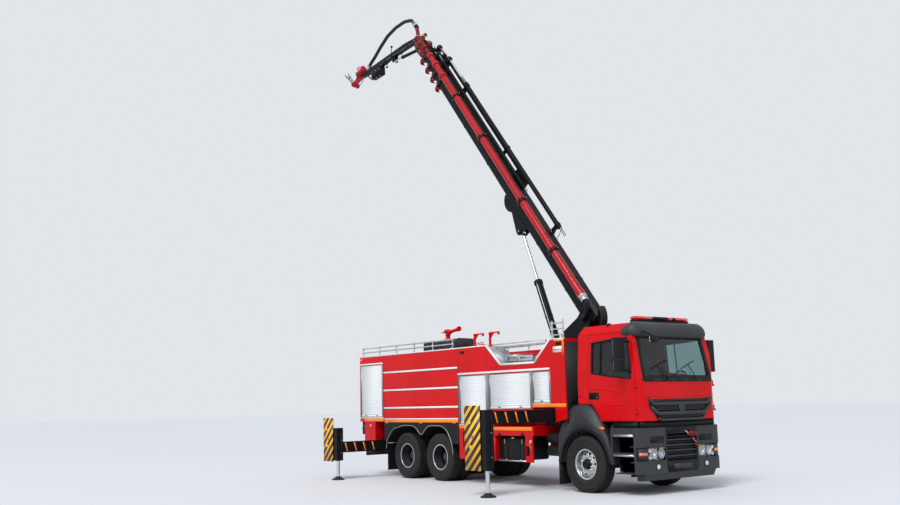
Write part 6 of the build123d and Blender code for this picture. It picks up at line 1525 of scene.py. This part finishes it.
# %% The three sliding stages
for k in (1, 2, 3):
    bench = Bench(ON_BOOM)
    s, inset = STAGE_END[k], 0.016 * k
    mouth(bench, k)
    pipe_collar(bench, s - 0.028, PIPE_RADIUS[k], (pipe_red, pipe_red, dark_red)[k - 1], brass)
    if k < 3:
        cylinder_dress(bench, k)
    y, o, radius, rod = RAMS[k - 1]
    for side in (-1, 1):
        bench.knob([(0, rod + 0.02), (0.008, rod + 0.02), (0.012, rod + 0.01), (0.02, rod + 0.008)],
            (s - 0.07, y + side * 0.026, o), (0, side, 0), boom_black, 28)
        bench.knob([(0, 0.012), (0.01, 0.012)], (s - 0.07, y + side * 0.046, o), (0, side, 0), silver, 6)
    bench.prism([(s - 0.165, 0.33 - inset), (s + 0.02, 0.33 - inset), (s + 0.012, o + 0.03), (s - 0.03, o + 0.062),
        (s - 0.115, o + 0.062), (s - 0.15, o + 0.01)], y - 0.046, y + 0.046, boom_black, soft=0.012)
    side_at = PIPE_AT[0]
    bench.slab(s - 0.085, s - 0.035, 0.12 - inset, side_at - PIPE_RADIUS[k] * 0.4, 0.215, 0.268, boom_black, 0.008)
    bench.pipe([(s - 0.1, -0.15 + inset, 0.2), (s - 0.02, -0.172 + inset, 0.24), (s + 0.04, -0.158 + inset, 0.34),
        (s - 0.03, -0.12 + inset, 0.375)], 0.01, hose_black, 8, 6)
    bench.slab(s - 0.1, s - 0.03, 0.15 - inset, 0.164 - inset, 0.0, 0.07, dark_red, 0.006)
    if k == 3:
        plates = [(9.5, -0.05), (9.5, 0.262), (9.7, 0.262), (10.254, 0.182), (10.32, 0.124), (10.31, 0.026),
            (10.18, -0.05), (10.036, -0.108), (9.944, -0.118), (9.66, -0.088)]
        for bench.side in (-1, 1):
            bench.prism(plates, 0.0985, 0.104, dark_red, soft=0.003)
            for ps, po, r in ((10.236, 0.093, 0.062), (9.98, -0.04, 0.044)):
                bench.knob([(0, r), (0.01, r), (0.014, r - 0.006), (0.014, r * 0.6), (0.026, r * 0.55)],
                    (ps, 0.104, po), (0, 1, 0), boom_black, 32)
                bolt_ring(bench, (ps, 0.121, po), (0, 1, 0), 6, r * 0.8, 0.006, 0.008)
            for ps, po in ((9.6, 0.2), (9.6, 0.02), (9.8, 0.18), (9.8, -0.02), (10.02, 0.15)):
                bench.knob([(0, 0.011), (0.009, 0.011)], (ps, 0.104, po), (0, 1, 0), silver, 6)
        bench.slab(9.6, 9.86, -0.072, 0.072, 0.262, 0.33, dark_red, 0.012)
        bench.slab(9.66, 9.78, -0.05, 0.05, 0.326, 0.385, grey_steel, 0.008)
        for j in range(3):
            bench.knob([(0, 0.013), (0.018, 0.013)], (9.68 + 0.04 * j, 0.05, 0.355), (0, 1, 0), silver, 6)
            bench.pipe([(9.68 + 0.04 * j, 0.068, 0.355), (9.74 + 0.04 * j, 0.13, 0.33),
                (9.86, 0.135 + 0.012 * j, 0.21), (9.97, 0.125, 0.06 + 0.03 * j)], 0.009, hose_black, 8, 6)
        bench.pipe([(9.555, 0.246, 0.3), (9.72, 0.246, 0.305), (9.84, 0.215, 0.335), (9.93, 0.135, 0.385),
            (9.99, 0.06, 0.42)], 0.05, dark_red, 22, 8)
        bench.knob([(0, 0.066), (0.026, 0.066)], (9.9, 0.165, 0.37), (0.62, -0.66, 0.42), brass, 30)
    bench.keep(f"section_{k}_details", f"section_{k}")

# %% [markdown]
# A stage of the boom is one solid with a hook, a water pipe and a piston rod on it, and these have their own
# finishes. `repaint` gives a finish to the faces whose middles pass a test, written in the boom's own lengths.

# %% Hooks, pipe stages and rods in their own finish
def repaint(name, mat, chosen):
    """Gives mat to the faces of a CAD node whose middle passes the test."""
    data = nodes[name].data
    data.materials.append(mat)
    spot = len(data.materials) - 1
    back = ON_BOOM.inverted()
    count = 0
    for face in data.polygons:
        if chosen(*(back @ (face.center - Vector((AXLE, 0, 0))))):
            face.material_index = spot
            count += 1
    print(name, mat.name, count, "faces")


def beside(line, reach):
    """A test for faces nearer than reach to a line along the boom."""
    return lambda s, y, o: math.hypot(y - line[0], o - line[1]) < reach


for k, node in enumerate(("boom_outer", "section_1", "section_2", "section_3")):
    low = -0.108 + 0.016 * k
    repaint(node, dark_red, lambda s, y, o: o < low - 0.014 and STAGE_END[k] - 0.12 < s < STAGE_END[k] + 0.2)
    if k:
        near_pipe = beside(PIPE_AT, PIPE_RADIUS[k] + 0.028)
        repaint(node, pipe_red if k < 3 else dark_red, near_pipe)
        near_rod = beside(RAMS[k - 1][:2], RAMS[k - 1][3] + 0.004)
        repaint(node, chrome, lambda s, y, o: near_rod(s, y, o) and s < STAGE_END[k] - 0.12)
repaint("section_3", dark_red, lambda s, y, o: s > 9.57 and y < 0.15)

# %% [markdown]
# ## The jib, its hose and the nozzle
# The jib is drawn along its own line. The nozzle keeps the truck's own axes, because it is level in the
# picture, and its parts are set out from the pin that carries it.

# %% Jib
bench = Bench(ON_JIB)
bench.knob([(0, 0.082), (0.01, 0.086), (0.04, 0.086), (0.05, 0.082)], (0, -0.074, 0), (0, -1, 0), boom_black, 36)
for bench.side in (-1, 1):
    bench.slab(0.02, 2.72, 0.0605, 0.0645, -0.03, 0.034, boom_black, 0.0015)
    for s in (0.3, 0.95, 1.7, 2.45):
        bench.slab(s - 0.03, s + 0.03, 0.06, 0.068, -0.06, 0.064, boom_black, 0.003)
        bench.knob([(0, 0.009), (0.008, 0.009)], (s, 0.068, 0.0), (0, 1, 0), silver, 6)
    for s, o, r in ((1.2, -0.165, 0.044), (2.915, 0.0, 0.046)):
        bench.knob([(0, r), (0.01, r), (0.014, r - 0.006), (0.014, r * 0.5), (0.022, r * 0.4)],
            (s, 0.066 if s < 2 else 0.062, o), (0, 1, 0), boom_black, 28)
for k, y in enumerate((0.074, 0.09, 0.106)):
    bench.pipe([(0.14, y, 0.02 - 0.02 * k), (0.3, y, -0.02), (1.4, y, -0.02), (1.8, y, -0.05), (1.95, 0.05, -0.16)],
        0.0075, (silver, hose_black, hose_black)[k], 8, 4)
for s in (0.45, 0.85, 1.25, 1.62):
    bench.slab(s - 0.014, s + 0.014, 0.062, 0.116, -0.034, -0.006, black)
bench.slab(1.87, 2.33, -0.105, 0.105, -0.3, -0.085, boom_black, 0.016, steps=3)
bench.slab(1.845, 2.355, -0.085, 0.085, -0.332, -0.292, boom_black, 0.01)
for s in (1.93, 2.1, 2.27):
    for bench.side in (-1, 1):
        bench.knob([(0, 0.01), (0.008, 0.01)], (s, 0.105, -0.13), (0, 1, 0), silver, 6)
    bench.knob([(0, 0.026), (0.03, 0.026), (0.036, 0.018)], (s, 0.05, -0.33), (0, 0, -1), grey_steel, 18)
bench.pipe([(2.34, 0.03, -0.2), (2.46, 0.04, -0.22), (2.6, 0.05, -0.12), (2.72, 0.055, -0.03)], 0.012, hose_black, 8,
    6)
bench.pipe([(2.34, -0.03, -0.24), (2.48, -0.05, -0.26), (2.64, -0.06, -0.16), (2.74, -0.06, -0.03)], 0.012,
    hose_black, 8, 6)
bench.slab(1.36, 1.44, -0.03, 0.03, 0.06, 0.082, boom_black)
bench.bar((1.4, 0, 0.08), (1.33, 0, 0.33), 0.011, boom_black, 12)
bench.knob([(0, 0.024), (0.01, 0.03), (0.05, 0.03), (0.056, 0.024)], (1.345, 0, 0.29), (-0.27, 0, 0.96),
    black, 20)
bench.bar((1.62, -0.02, -0.07), (1.66, -0.02, -0.17), 0.01, boom_black, 10)
bench.slab(1.62, 1.7, -0.045, 0.005, -0.2, -0.165, black, 0.008)
bench.keep("jib_details", "jib")

# %% Clamps of the jib's hose
bench = Bench(ON_JIB)
route = [(0.099, 0.448), (0.29, 0.702), (0.634, 0.796), (1.075, 0.797), (1.502, 0.716), (1.895, 0.533),
    (2.169, 0.327), (2.618, 0.118)]
for (s, o), (s2, o2) in ((route[0], route[1]), (route[-1], route[-2])):
    run = Vector((s2 - s, 0, o2 - o)).normalized()
    at = Vector((s, 0, o))
    bench.hoop([(0, 0.046), (0, 0.064), (0.012, 0.068), (0.04, 0.068), (0.046, 0.06), (0.09, 0.056), (0.094, 0.046)],
        at, run, silver, 32)
    bench.hoop([(0, 0.0485), (0, 0.056), (0.016, 0.056), (0.016, 0.0485)], at + run * 0.13, run, silver, 28)
bench.pipe([(0.02, 0, 0.06), (0.03, 0, 0.2), (0.05, 0, 0.32), (0.099, 0, 0.448)], 0.052, dark_red, 22, 8)
bench.knob([(0, 0.07), (0.024, 0.07)], (0.02, 0, 0.085), (0, 0, 1), brass, 30)
bench.pipe([(2.618, 0, 0.118), (2.72, 0, 0.075), (2.8, 0, 0.045)], 0.04, silver, 20, 5)
bench.keep("jib_hose_clamps", "jib")

# %% Nozzle, valve and handle
px, pz = -9.858, 11.517
rise = math.radians(43.4)
aim = Vector((-math.cos(rise), 0, math.sin(rise)))
elbow = Vector((px - 0.47, 0, pz - 0.135))
monitor = nodes["tip_monitor"].data
monitor.materials.append(grey_frame)
for face in monitor.polygons:
    if (face.center - Vector((AXLE, 0, 0)) - elbow).dot(aim) > 0.095 and face.center.x - AXLE < elbow.x:
        face.material_index = 1
bench = Bench()
low, high = Vector((px - 0.25, 0, pz + 0.045)), Vector((px + 0.04, 0, pz + 0.285))
valve = (high - low).normalized()
bench.knob([(0, 0.066), (0.012, 0.086), (0.03, 0.086), (0.036, 0.068), (0.06, 0.066), (0.1, 0.084), (0.15, 0.088),
    (0.2, 0.08), (0.24, 0.066), (0.3, 0.066), (0.306, 0.082), (0.326, 0.082), (0.33, 0.068), (0.376, 0.066),
    (0.384, 0.05)], low - valve * 0.004, valve, red, 40)
bolt_ring(bench, low + valve * 0.036, valve, 8, 0.076, 0.007, 0.01)
bolt_ring(bench, low + valve * 0.298, -valve, 8, 0.073, 0.007, 0.01)
down = (elbow - low).normalized()
bench.hoop([(0.02, 0.052), (0.02, 0.062), (0.06, 0.062), (0.064, 0.056), (0.17, 0.056), (0.176, 0.074),
    (0.196, 0.074), (0.202, 0.056), (0.202, 0.052)], low, down, red, 36)
for bench.side in (-1, 1):
    bench.knob([(0, 0.07), (0.012, 0.07), (0.018, 0.058), (0.034, 0.054), (0.04, 0.044)],
        elbow + Vector((0, 0.062, 0)), (0, 1, 0), dark_red, 32)
    bolt_ring(bench, elbow + Vector((0, 0.078, 0)), (0, 1, 0), 6, 0.058, 0.006, 0.01)
bench.hoop([(0.06, 0.04), (0.06, 0.062), (0.08, 0.062), (0.086, 0.0475), (0.16, 0.0465), (0.166, 0.058),
    (0.186, 0.058), (0.192, 0.0465), (0.3, 0.0465), (0.306, 0.054), (0.33, 0.054), (0.336, 0.0465), (0.43, 0.0465),
    (0.43, 0.04)], elbow, aim, grey_frame, 40)
bench.hoop([(0.44, 0.042), (0.44, 0.064), (0.45, 0.068), (0.48, 0.068), (0.486, 0.061), (0.54, 0.061), (0.546, 0.066),
    (0.56, 0.066), (0.566, 0.061), (0.6, 0.0615), (0.62, 0.07), (0.648, 0.073), (0.656, 0.068), (0.652, 0.05),
    (0.56, 0.04)], elbow, aim, silver, 44)
for k in range(12):
    t = 2 * math.pi * k / 12
    side_v = aim.orthogonal().normalized()
    other_v = aim.cross(side_v)
    spot = elbow + aim * 0.5 + (side_v * math.cos(t) + other_v * math.sin(t)) * 0.062
    bench.bar(spot, spot + aim * 0.04, 0.006, black, 8)
# a bright pair of struts from the pin to the nozzle and a turning motor
for bench.side in (-1, 1):
    bench.bar((px - 0.02, 0.05, pz - 0.02), (px - 0.4, 0.05, pz - 0.118), 0.014, grey_steel, 14)
    bench.knob([(0, 0.058), (0.008, 0.058), (0.012, 0.05)], (px, 0.042, pz), (0, 1, 0), grey_steel, 28)
bench.slab(px - 0.55, px - 0.43, 0.075, 0.15, pz - 0.215, pz - 0.095, grey_steel, 0.014)
bench.slab(px - 0.22, px - 0.12, -0.135, -0.085, pz + 0.05, pz + 0.16, grey_steel, 0.012)
bench.pipe([(px - 0.44, 0.14, pz - 0.14), (px - 0.32, 0.15, pz - 0.1), (px - 0.16, 0.11, pz - 0.02),
    (px - 0.02, 0.07, pz - 0.01)], 0.009, hose_black, 8, 6)
# the handle with its wheel above the valve
mid = low + valve * 0.18
off = Vector((-valve.z, 0, valve.x))
bench.bar(mid, mid + off * 0.19, 0.013, silver, 12)
bench.hoop([(-0.008, 0.052), (-0.008, 0.07), (0.008, 0.07), (0.008, 0.052)], mid + off * 0.18, off, grey_frame, 32)
for k in range(4):
    t = math.pi * k / 2 + 0.4
    a = Vector((0, 1, 0)) * math.cos(t) + off.cross(Vector((0, 1, 0))) * math.sin(t)
    bench.bar(mid + off * 0.18, mid + off * 0.18 + a * 0.06, 0.006, grey_frame, 8)
bench.knob([(0, 0.02), (0.02, 0.02), (0.024, 0.014)], mid + off * 0.172, off, silver, 18)
bench.keep("nozzle_details", "tip_monitor")

# %% [markdown]
# ## Lift and jib cylinders
# Each cylinder gets its gland, its base, its ports and the ring of its eye. These ride on the same bodies as
# the barrels and rods, so they turn with them.

# %% Cylinder details
foot = Vector((-1.8, 0, 2.78))
eye = ON_BOOM @ Vector((3.019, 0, -0.33))
line = (eye - foot).normalized()
bench = Bench()
bench.hoop([(0, 0.06), (0, 0.09), (0.01, 0.102), (0.09, 0.102), (0.1, 0.094), (0.118, 0.078), (0.124, 0.06)],
    foot + line * 1.735, line, boom_black, 40)
bolt_ring(bench, foot + line * 1.838, line, 12, 0.084, 0.007, 0.01)
bench.hoop([(0, 0.0885), (0, 0.098), (0.012, 0.104), (0.05, 0.104), (0.056, 0.0885)], foot + line * 0.13, line,
    boom_black, 40)
bench.hoop([(0, 0.0885), (0, 0.092), (0.05, 0.092), (0.05, 0.0885)], foot + line * 0.92, line, boom_black, 40)
side_v = Vector((0, -1, 0))
out_v = line.cross(side_v)
for turn, end in ((0.35, 1.66), (0.75, 0.26)):
    off = (side_v * math.cos(turn) + out_v * math.sin(turn)) * 0.104
    bench.pipe([foot + line * 0.2 + off * 0.9, foot + line * 0.26 + off, foot + line * end + off,
        foot + line * (end + 0.05) + off * 0.85], 0.01, silver, 8, 4)
bench.slab(foot.x - 0.055, foot.x + 0.045, -0.135, -0.08, foot.z + 0.14, foot.z + 0.26, grey_steel, 0.008)
bench.keep("lift_barrel_details", "lift_barrel")

root = ON_BOOM @ Vector((9.98, 0, -0.04))
hold = ON_JIB @ Vector((1.2, 0, -0.165))
pull = (hold - root).normalized()
bench = Bench()
bench.hoop([(0, 0.025), (0, 0.048), (0.008, 0.053), (0.056, 0.053), (0.064, 0.047), (0.072, 0.036), (0.076, 0.025)],
    root + pull * 0.8, pull, boom_black, 32)
bench.hoop([(0, 0.0455), (0, 0.052), (0.04, 0.052), (0.04, 0.0455)], root + pull * 0.085, pull, boom_black, 32)
for z in (0.055, 0.07):
    bench.pipe([root + pull * 0.12 + Vector((0, z * 0.7, 0.025)), root + pull * 0.17 + Vector((0, z * 0.75, 0.035)),
        root + pull * 0.74 + Vector((0, z * 0.75, 0.035))], 0.0065, silver, 8, 4)
bench.keep("jib_barrel_details", "jib_barrel")

# %% [markdown]
# ## Inside the cab
# The seats are padded: a soft cushion and back with piping and side wings, on a metal box. The dashboard has
# a cowl, dials and vents, and the steering wheel a rim, a hub and two spokes. Dark panels line the cab.

# %% Padded seats
def cushion(bench, size, place, mat, crown=0.03, wings=0.0, cells=14):
    """A pad with a domed top, rounded edges and, if asked, raised side wings."""
    sx, sy, sz = size
    form = bmesh.new()
    rows = []
    for i in range(cells + 1):
        row = []
        for j in range(cells + 1):
            u, v = 2 * i / cells - 1, 2 * j / cells - 1
            edge = (1 - abs(u) ** 5) * (1 - abs(v) ** 5)
            groove = 0.006 * (math.exp(-((v * 3.4) ** 2 - 2.2) ** 2 * 3) if wings else 0)
            rise = sz / 2 * (0.55 + 0.45 * edge) + crown * edge * (1 - 0.6 * u * u) - groove + wings * max(0,
                abs(v) - 0.55) * 2.2 * edge
            row.append(form.verts.new((u * sx / 2 * (1 - 0.03 * (1 - edge)), v * sy / 2 * (1 - 0.03 * (1 - edge)),
                rise)))
        rows.append(row)
    base = []
    for i in range(cells + 1):
        base.append([form.verts.new((rows[i][j].co.x, rows[i][j].co.y, -sz / 2)) for j in range(cells + 1)])
    for i in range(cells):
        for j in range(cells):
            form.faces.new((rows[i][j], rows[i + 1][j], rows[i + 1][j + 1], rows[i][j + 1]))
            form.faces.new((base[i][j], base[i][j + 1], base[i + 1][j + 1], base[i + 1][j]))
    for k in range(cells):
        for a, b in (((k, 0), (k + 1, 0)), ((k + 1, cells), (k, cells)), ((0, k + 1), (0, k)),
                ((cells, k), (cells, k + 1))):
            form.faces.new((rows[a[0]][a[1]], rows[b[0]][b[1]], base[b[0]][b[1]], base[a[0]][a[1]]))
    bmesh.ops.transform(form, matrix=place, verts=form.verts[:])
    bench.take(form, mat)
    rim = [(u * sx / 2 * 0.985, v * sy / 2 * 0.985, sz * 0.28) for u,
        v in ((-1, -0.9), (-0.9, -1), (0, -1), (0.9, -1), (1, -0.9), (1, 0), (1, 0.9), (0.9, 1), (0, 1), (-0.9, 1),
        (-1, 0.9), (-1, 0))]
    bench.pipe([place @ Vector(p) for p in rim], 0.0045, hose_black, 6, 3, loop=True)


for word, y in (("right", -0.56), ("left", 0.56)):
    bench = Bench()
    seat_at = Matrix.Translation((0.45, y, 1.835))
    cushion(bench, (0.49, 0.47, 0.12), seat_at, seat_cloth, 0.022, 0.03)
    back_at = Matrix.Translation((0.19, y, 2.29)) @ Matrix.Rotation(math.radians(84), 4, "Y")
    cushion(bench, (0.6, 0.45, 0.11), back_at, seat_cloth, 0.02, 0.03)
    head_at = Matrix.Translation((0.15, y, 2.64)) @ Matrix.Rotation(math.radians(84), 4, "Y")
    cushion(bench, (0.13, 0.27, 0.08), head_at, seat_cloth, 0.016)
    pad = bench.keep("seat_pads_" + word, "truck", ["cab_interior"] if word == "right" else ())

bench = Bench()
for y in (-0.56, 0.56):
    bench.slabs(black, (0.215, 0.69, y - 0.225, y + 0.225, 1.42, 1.772, 0.02),
        (0.15, 0.205, y - 0.2, y + 0.2, 1.79, 2.56, 0.012))
    for dy in (-0.07, 0.07):
        bench.bar((0.158, y + dy, 2.54), (0.15, y + dy, 2.62), 0.007, silver, 10)
    bench.pipe([(0.17, y - 0.2, 2.62), (0.24, y - 0.1, 2.45), (0.28, y + 0.08, 2.1), (0.3, y + 0.18, 1.9)], 0.01,
        black, 8, 8)
bench.slab(0.22, 0.66, -0.23, 0.23, 1.5, 1.8, black, 0.03)
bench.prism([(1.08, 1.7), (1.075, 2.06), (1.095, 2.11), (1.16, 2.15), (1.245, 2.168), (1.298, 2.11), (1.298, 1.7)],
    -0.848, 0.848, black, soft=0.012)
bench.slab(1.105, 1.275, -0.845, 0.845, 1.416, 1.752, black, 0.01)
bench.prism([(1.075, 2.08), (1.15, 2.215), (1.225, 2.225), (1.245, 2.16)], 0.33, 0.79, black, soft=0.012)
for y in (0.46, 0.66):
    bench.knob([(0, 0.052), (0.006, 0.052), (0.008, 0.046)], (1.092, y, 2.13), (-1, 0, 0.5), dark_glass, 28)
for y in (-0.7, -0.1, 0.16):
    bench.slab(1.066, 1.078, y - 0.06, y + 0.06, 1.96, 2.02, plastic, 0.006)
    for k in range(4):
        bench.slab(1.062, 1.069, y - 0.052, y + 0.052, 1.966 + 0.014 * k, 1.971 + 0.014 * k, black, 0)
tilt = Matrix.Translation((0.93, 0.56, 2.13)) @ Matrix.Rotation(math.radians(-55), 4, "Y")
rim = [tilt @ Vector((0.22 * math.cos(t), 0.22 * math.sin(t), 0)) for t in (2 * math.pi * k / 20 for k in range(20))]
bench.pipe(rim, 0.0155, black, 12, 3, loop=True)
for t in (0.25, math.pi - 0.25, math.pi * 1.5):
    bench.pipe([tilt @ Vector((0, 0, -0.01)), tilt @ Vector((0.13 * math.sin(t + 1.57), 0.13 * -math.cos(t + 1.57),
        -0.004)), tilt @ Vector((0.215 * math.sin(t + 1.57), 0.215 * -math.cos(t + 1.57), 0))], 0.012, black,
        8, 4)
bench.turned([(-0.03, 0), (-0.03, 0.05), (0.012, 0.058), (0.02, 0.048), (0.022, 0)], tilt @ Vector((0, 0, 0)),
    tilt.to_3x3() @ Vector((0, 0, 1)), black, 28)
bench.bar((0.93, 0.56, 2.13), (1.11, 0.56, 2.003), 0.023, black, 16)
bench.bar((1.0, -0.1, 2.0), (0.96, -0.12, 2.16), 0.009, silver, 10)
bench.keep("dashboard_and_frames", "truck", ["cab_interior"])

# %% Lining of the cab
bench = Bench()
bench.slab(-0.1, 1.05, -0.985, 0.985, 3.115, 3.135, plastic)
bench.slab(-0.104, -0.094, -1.015, 1.015, 1.44, 3.0, plastic)
bench.slab(-0.1, 1.08, -0.83, 0.83, 1.4155, 1.424, black, 0)
bench.slab(-0.09, 0.09, -1.0, 1.0, 1.6, 1.92, seat_cloth, 0.03)
bench.keep("cab_lining", "truck")

for word, side in SIDES:
    bench = Bench(side=side)
    bench.slab(0.175, 1.15, 1.088, 1.1045, 1.8, 2.155, plastic, 0.006)
    bench.slab(0.3, 0.9, 1.04, 1.09, 1.96, 2.01, black, 0.012)
    bench.keep("door_lining_" + word, "door_" + word)

# %% [markdown]
# ## The rear end and the underside
# The rear has an underrun bar, two fold-down steps and hose connections.

# %% Rear bars and steps
bench = Bench()
bench.slab(-8.043, -7.938, -1.152, 1.152, 0.498, 0.622, frame_black, 0.014)
for k in range(9):
    y = -1.04 + k * 0.26
    bench.slab(-8.0455, -8.042, y - 0.055, y + 0.055, 0.522, 0.598, red if k % 2 else white, 0)
for bench.side in (-1, 1):
    bench.slab(-8.048, -7.935, 1.15, 1.162, 0.494, 0.626, black, 0.006)
    bench.slab(-8.13, -7.935, 0.42, 0.74, 0.735, 0.755, plate)
    bench.bar((-8.05, 0.45, 0.62), (-8.05, 0.45, 0.74), 0.014, silver, 10)
    bench.bar((-8.05, 0.71, 0.62), (-8.05, 0.71, 0.74), 0.014, silver, 10)
    bench.slab(-8.112, -8.098, 0.3, 0.62, 1.12, 1.3, black, 0.008)
    bench.pipe([(-8.11, 0.66, 1.46), (-8.15, 0.66, 1.42), (-8.15, 0.66, 1.14), (-8.11, 0.66, 1.1)], 0.012, silver, 10,
        5)
    bench.knob([(0, 0.05), (0.012, 0.05), (0.016, 0.04), (0.04, 0.04), (0.044, 0.05), (0.056, 0.05)],
        (-8.104, 0.18, 1.22), (-1, 0, 0), silver, 24)
    for z in (2.86, 3.0):
        bench.bar((-8.118, 1.05, z), (-8.118, 1.19, z), 0.01, silver, 10)
bench.keep("rear_end", "truck")

# %% [markdown]
# ## Floor and light
# A pale floor keeps the truck's shadow, and a bright, even sky does most of the lighting, as on the
# overcast day of the picture. One wide sun gives the forms a lit side. The world is brighter for the camera
# than for the truck, so that the background is pale and the reds stay deep.

# %% Stage
bpy.context.scene.view_settings.view_transform = "Standard"
floor_mesh = bpy.data.meshes.new("floor")
far = 160.0
floor_mesh.from_pydata([(-far, -far, 0), (far, -far, 0), (far, far, 0), (-far, far, 0)], [], [(0, 1, 2, 3)])
floor = bpy.data.objects.new("floor", floor_mesh)
floor_mesh.materials.append(finish("pale_floor", (216, 218, 221), (214, 216, 219), 0.9, patch=0.05, grain=8,
                                   bump=0.0, spread=0.0))
bpy.context.scene.collection.objects.link(floor)

world = bpy.data.worlds.new("sky")
bpy.context.scene.world = world
world.use_nodes = True
world.node_tree.nodes["Background"].inputs["Color"].default_value = (0.86, 0.92, 1.0, 1)
world.node_tree.nodes["Background"].inputs["Strength"].default_value = 0.62
build(world.node_tree, {
    "seen": ("ShaderNodeBackground", {"Color": srgb(226, 229, 233), "Strength": 1.0}),
    "rays": "ShaderNodeLightPath",
    "either": ("ShaderNodeMath", {"operation": "MAXIMUM"}),
    "any": ("ShaderNodeMath", {"operation": "MAXIMUM"}),
    "choose": "ShaderNodeMixShader",
}, "rays.Is Camera Ray > either.0, rays.Is Glossy Ray > either.1, either.Value > any.0, "
    "rays.Is Transmission Ray > any.1, any.Value > choose.Fac, Background.Background > choose.1, "
    "seen.Background > choose.2, choose.Shader > World Output.Surface")


def lamp(name, kind, place, target, power, size):
    """A lamp aimed at a point."""
    data = bpy.data.lights.new(name, kind)
    data.energy = power
    if kind == "SUN":
        data.angle = size
    else:
        data.shape = "RECTANGLE"
        data.size, data.size_y = size
    thing = bpy.data.objects.new(name, data)
    bpy.context.scene.collection.objects.link(thing)
    thing.location = place
    thing.rotation_euler = (Vector(target) - Vector(place)).to_track_quat("-Z", "Y").to_euler()
    return thing


lamp("soft_sun", "SUN", (8, -16, 20), (0, 0, 0), 2.1, math.radians(22))
lamp("front_fill", "AREA", (26, -6, 16), (2, 0, 3), 900, (18, 12))
lamp("side_fill", "AREA", (-4, -27, 14), (-2, 0, 4), 700, (20, 12))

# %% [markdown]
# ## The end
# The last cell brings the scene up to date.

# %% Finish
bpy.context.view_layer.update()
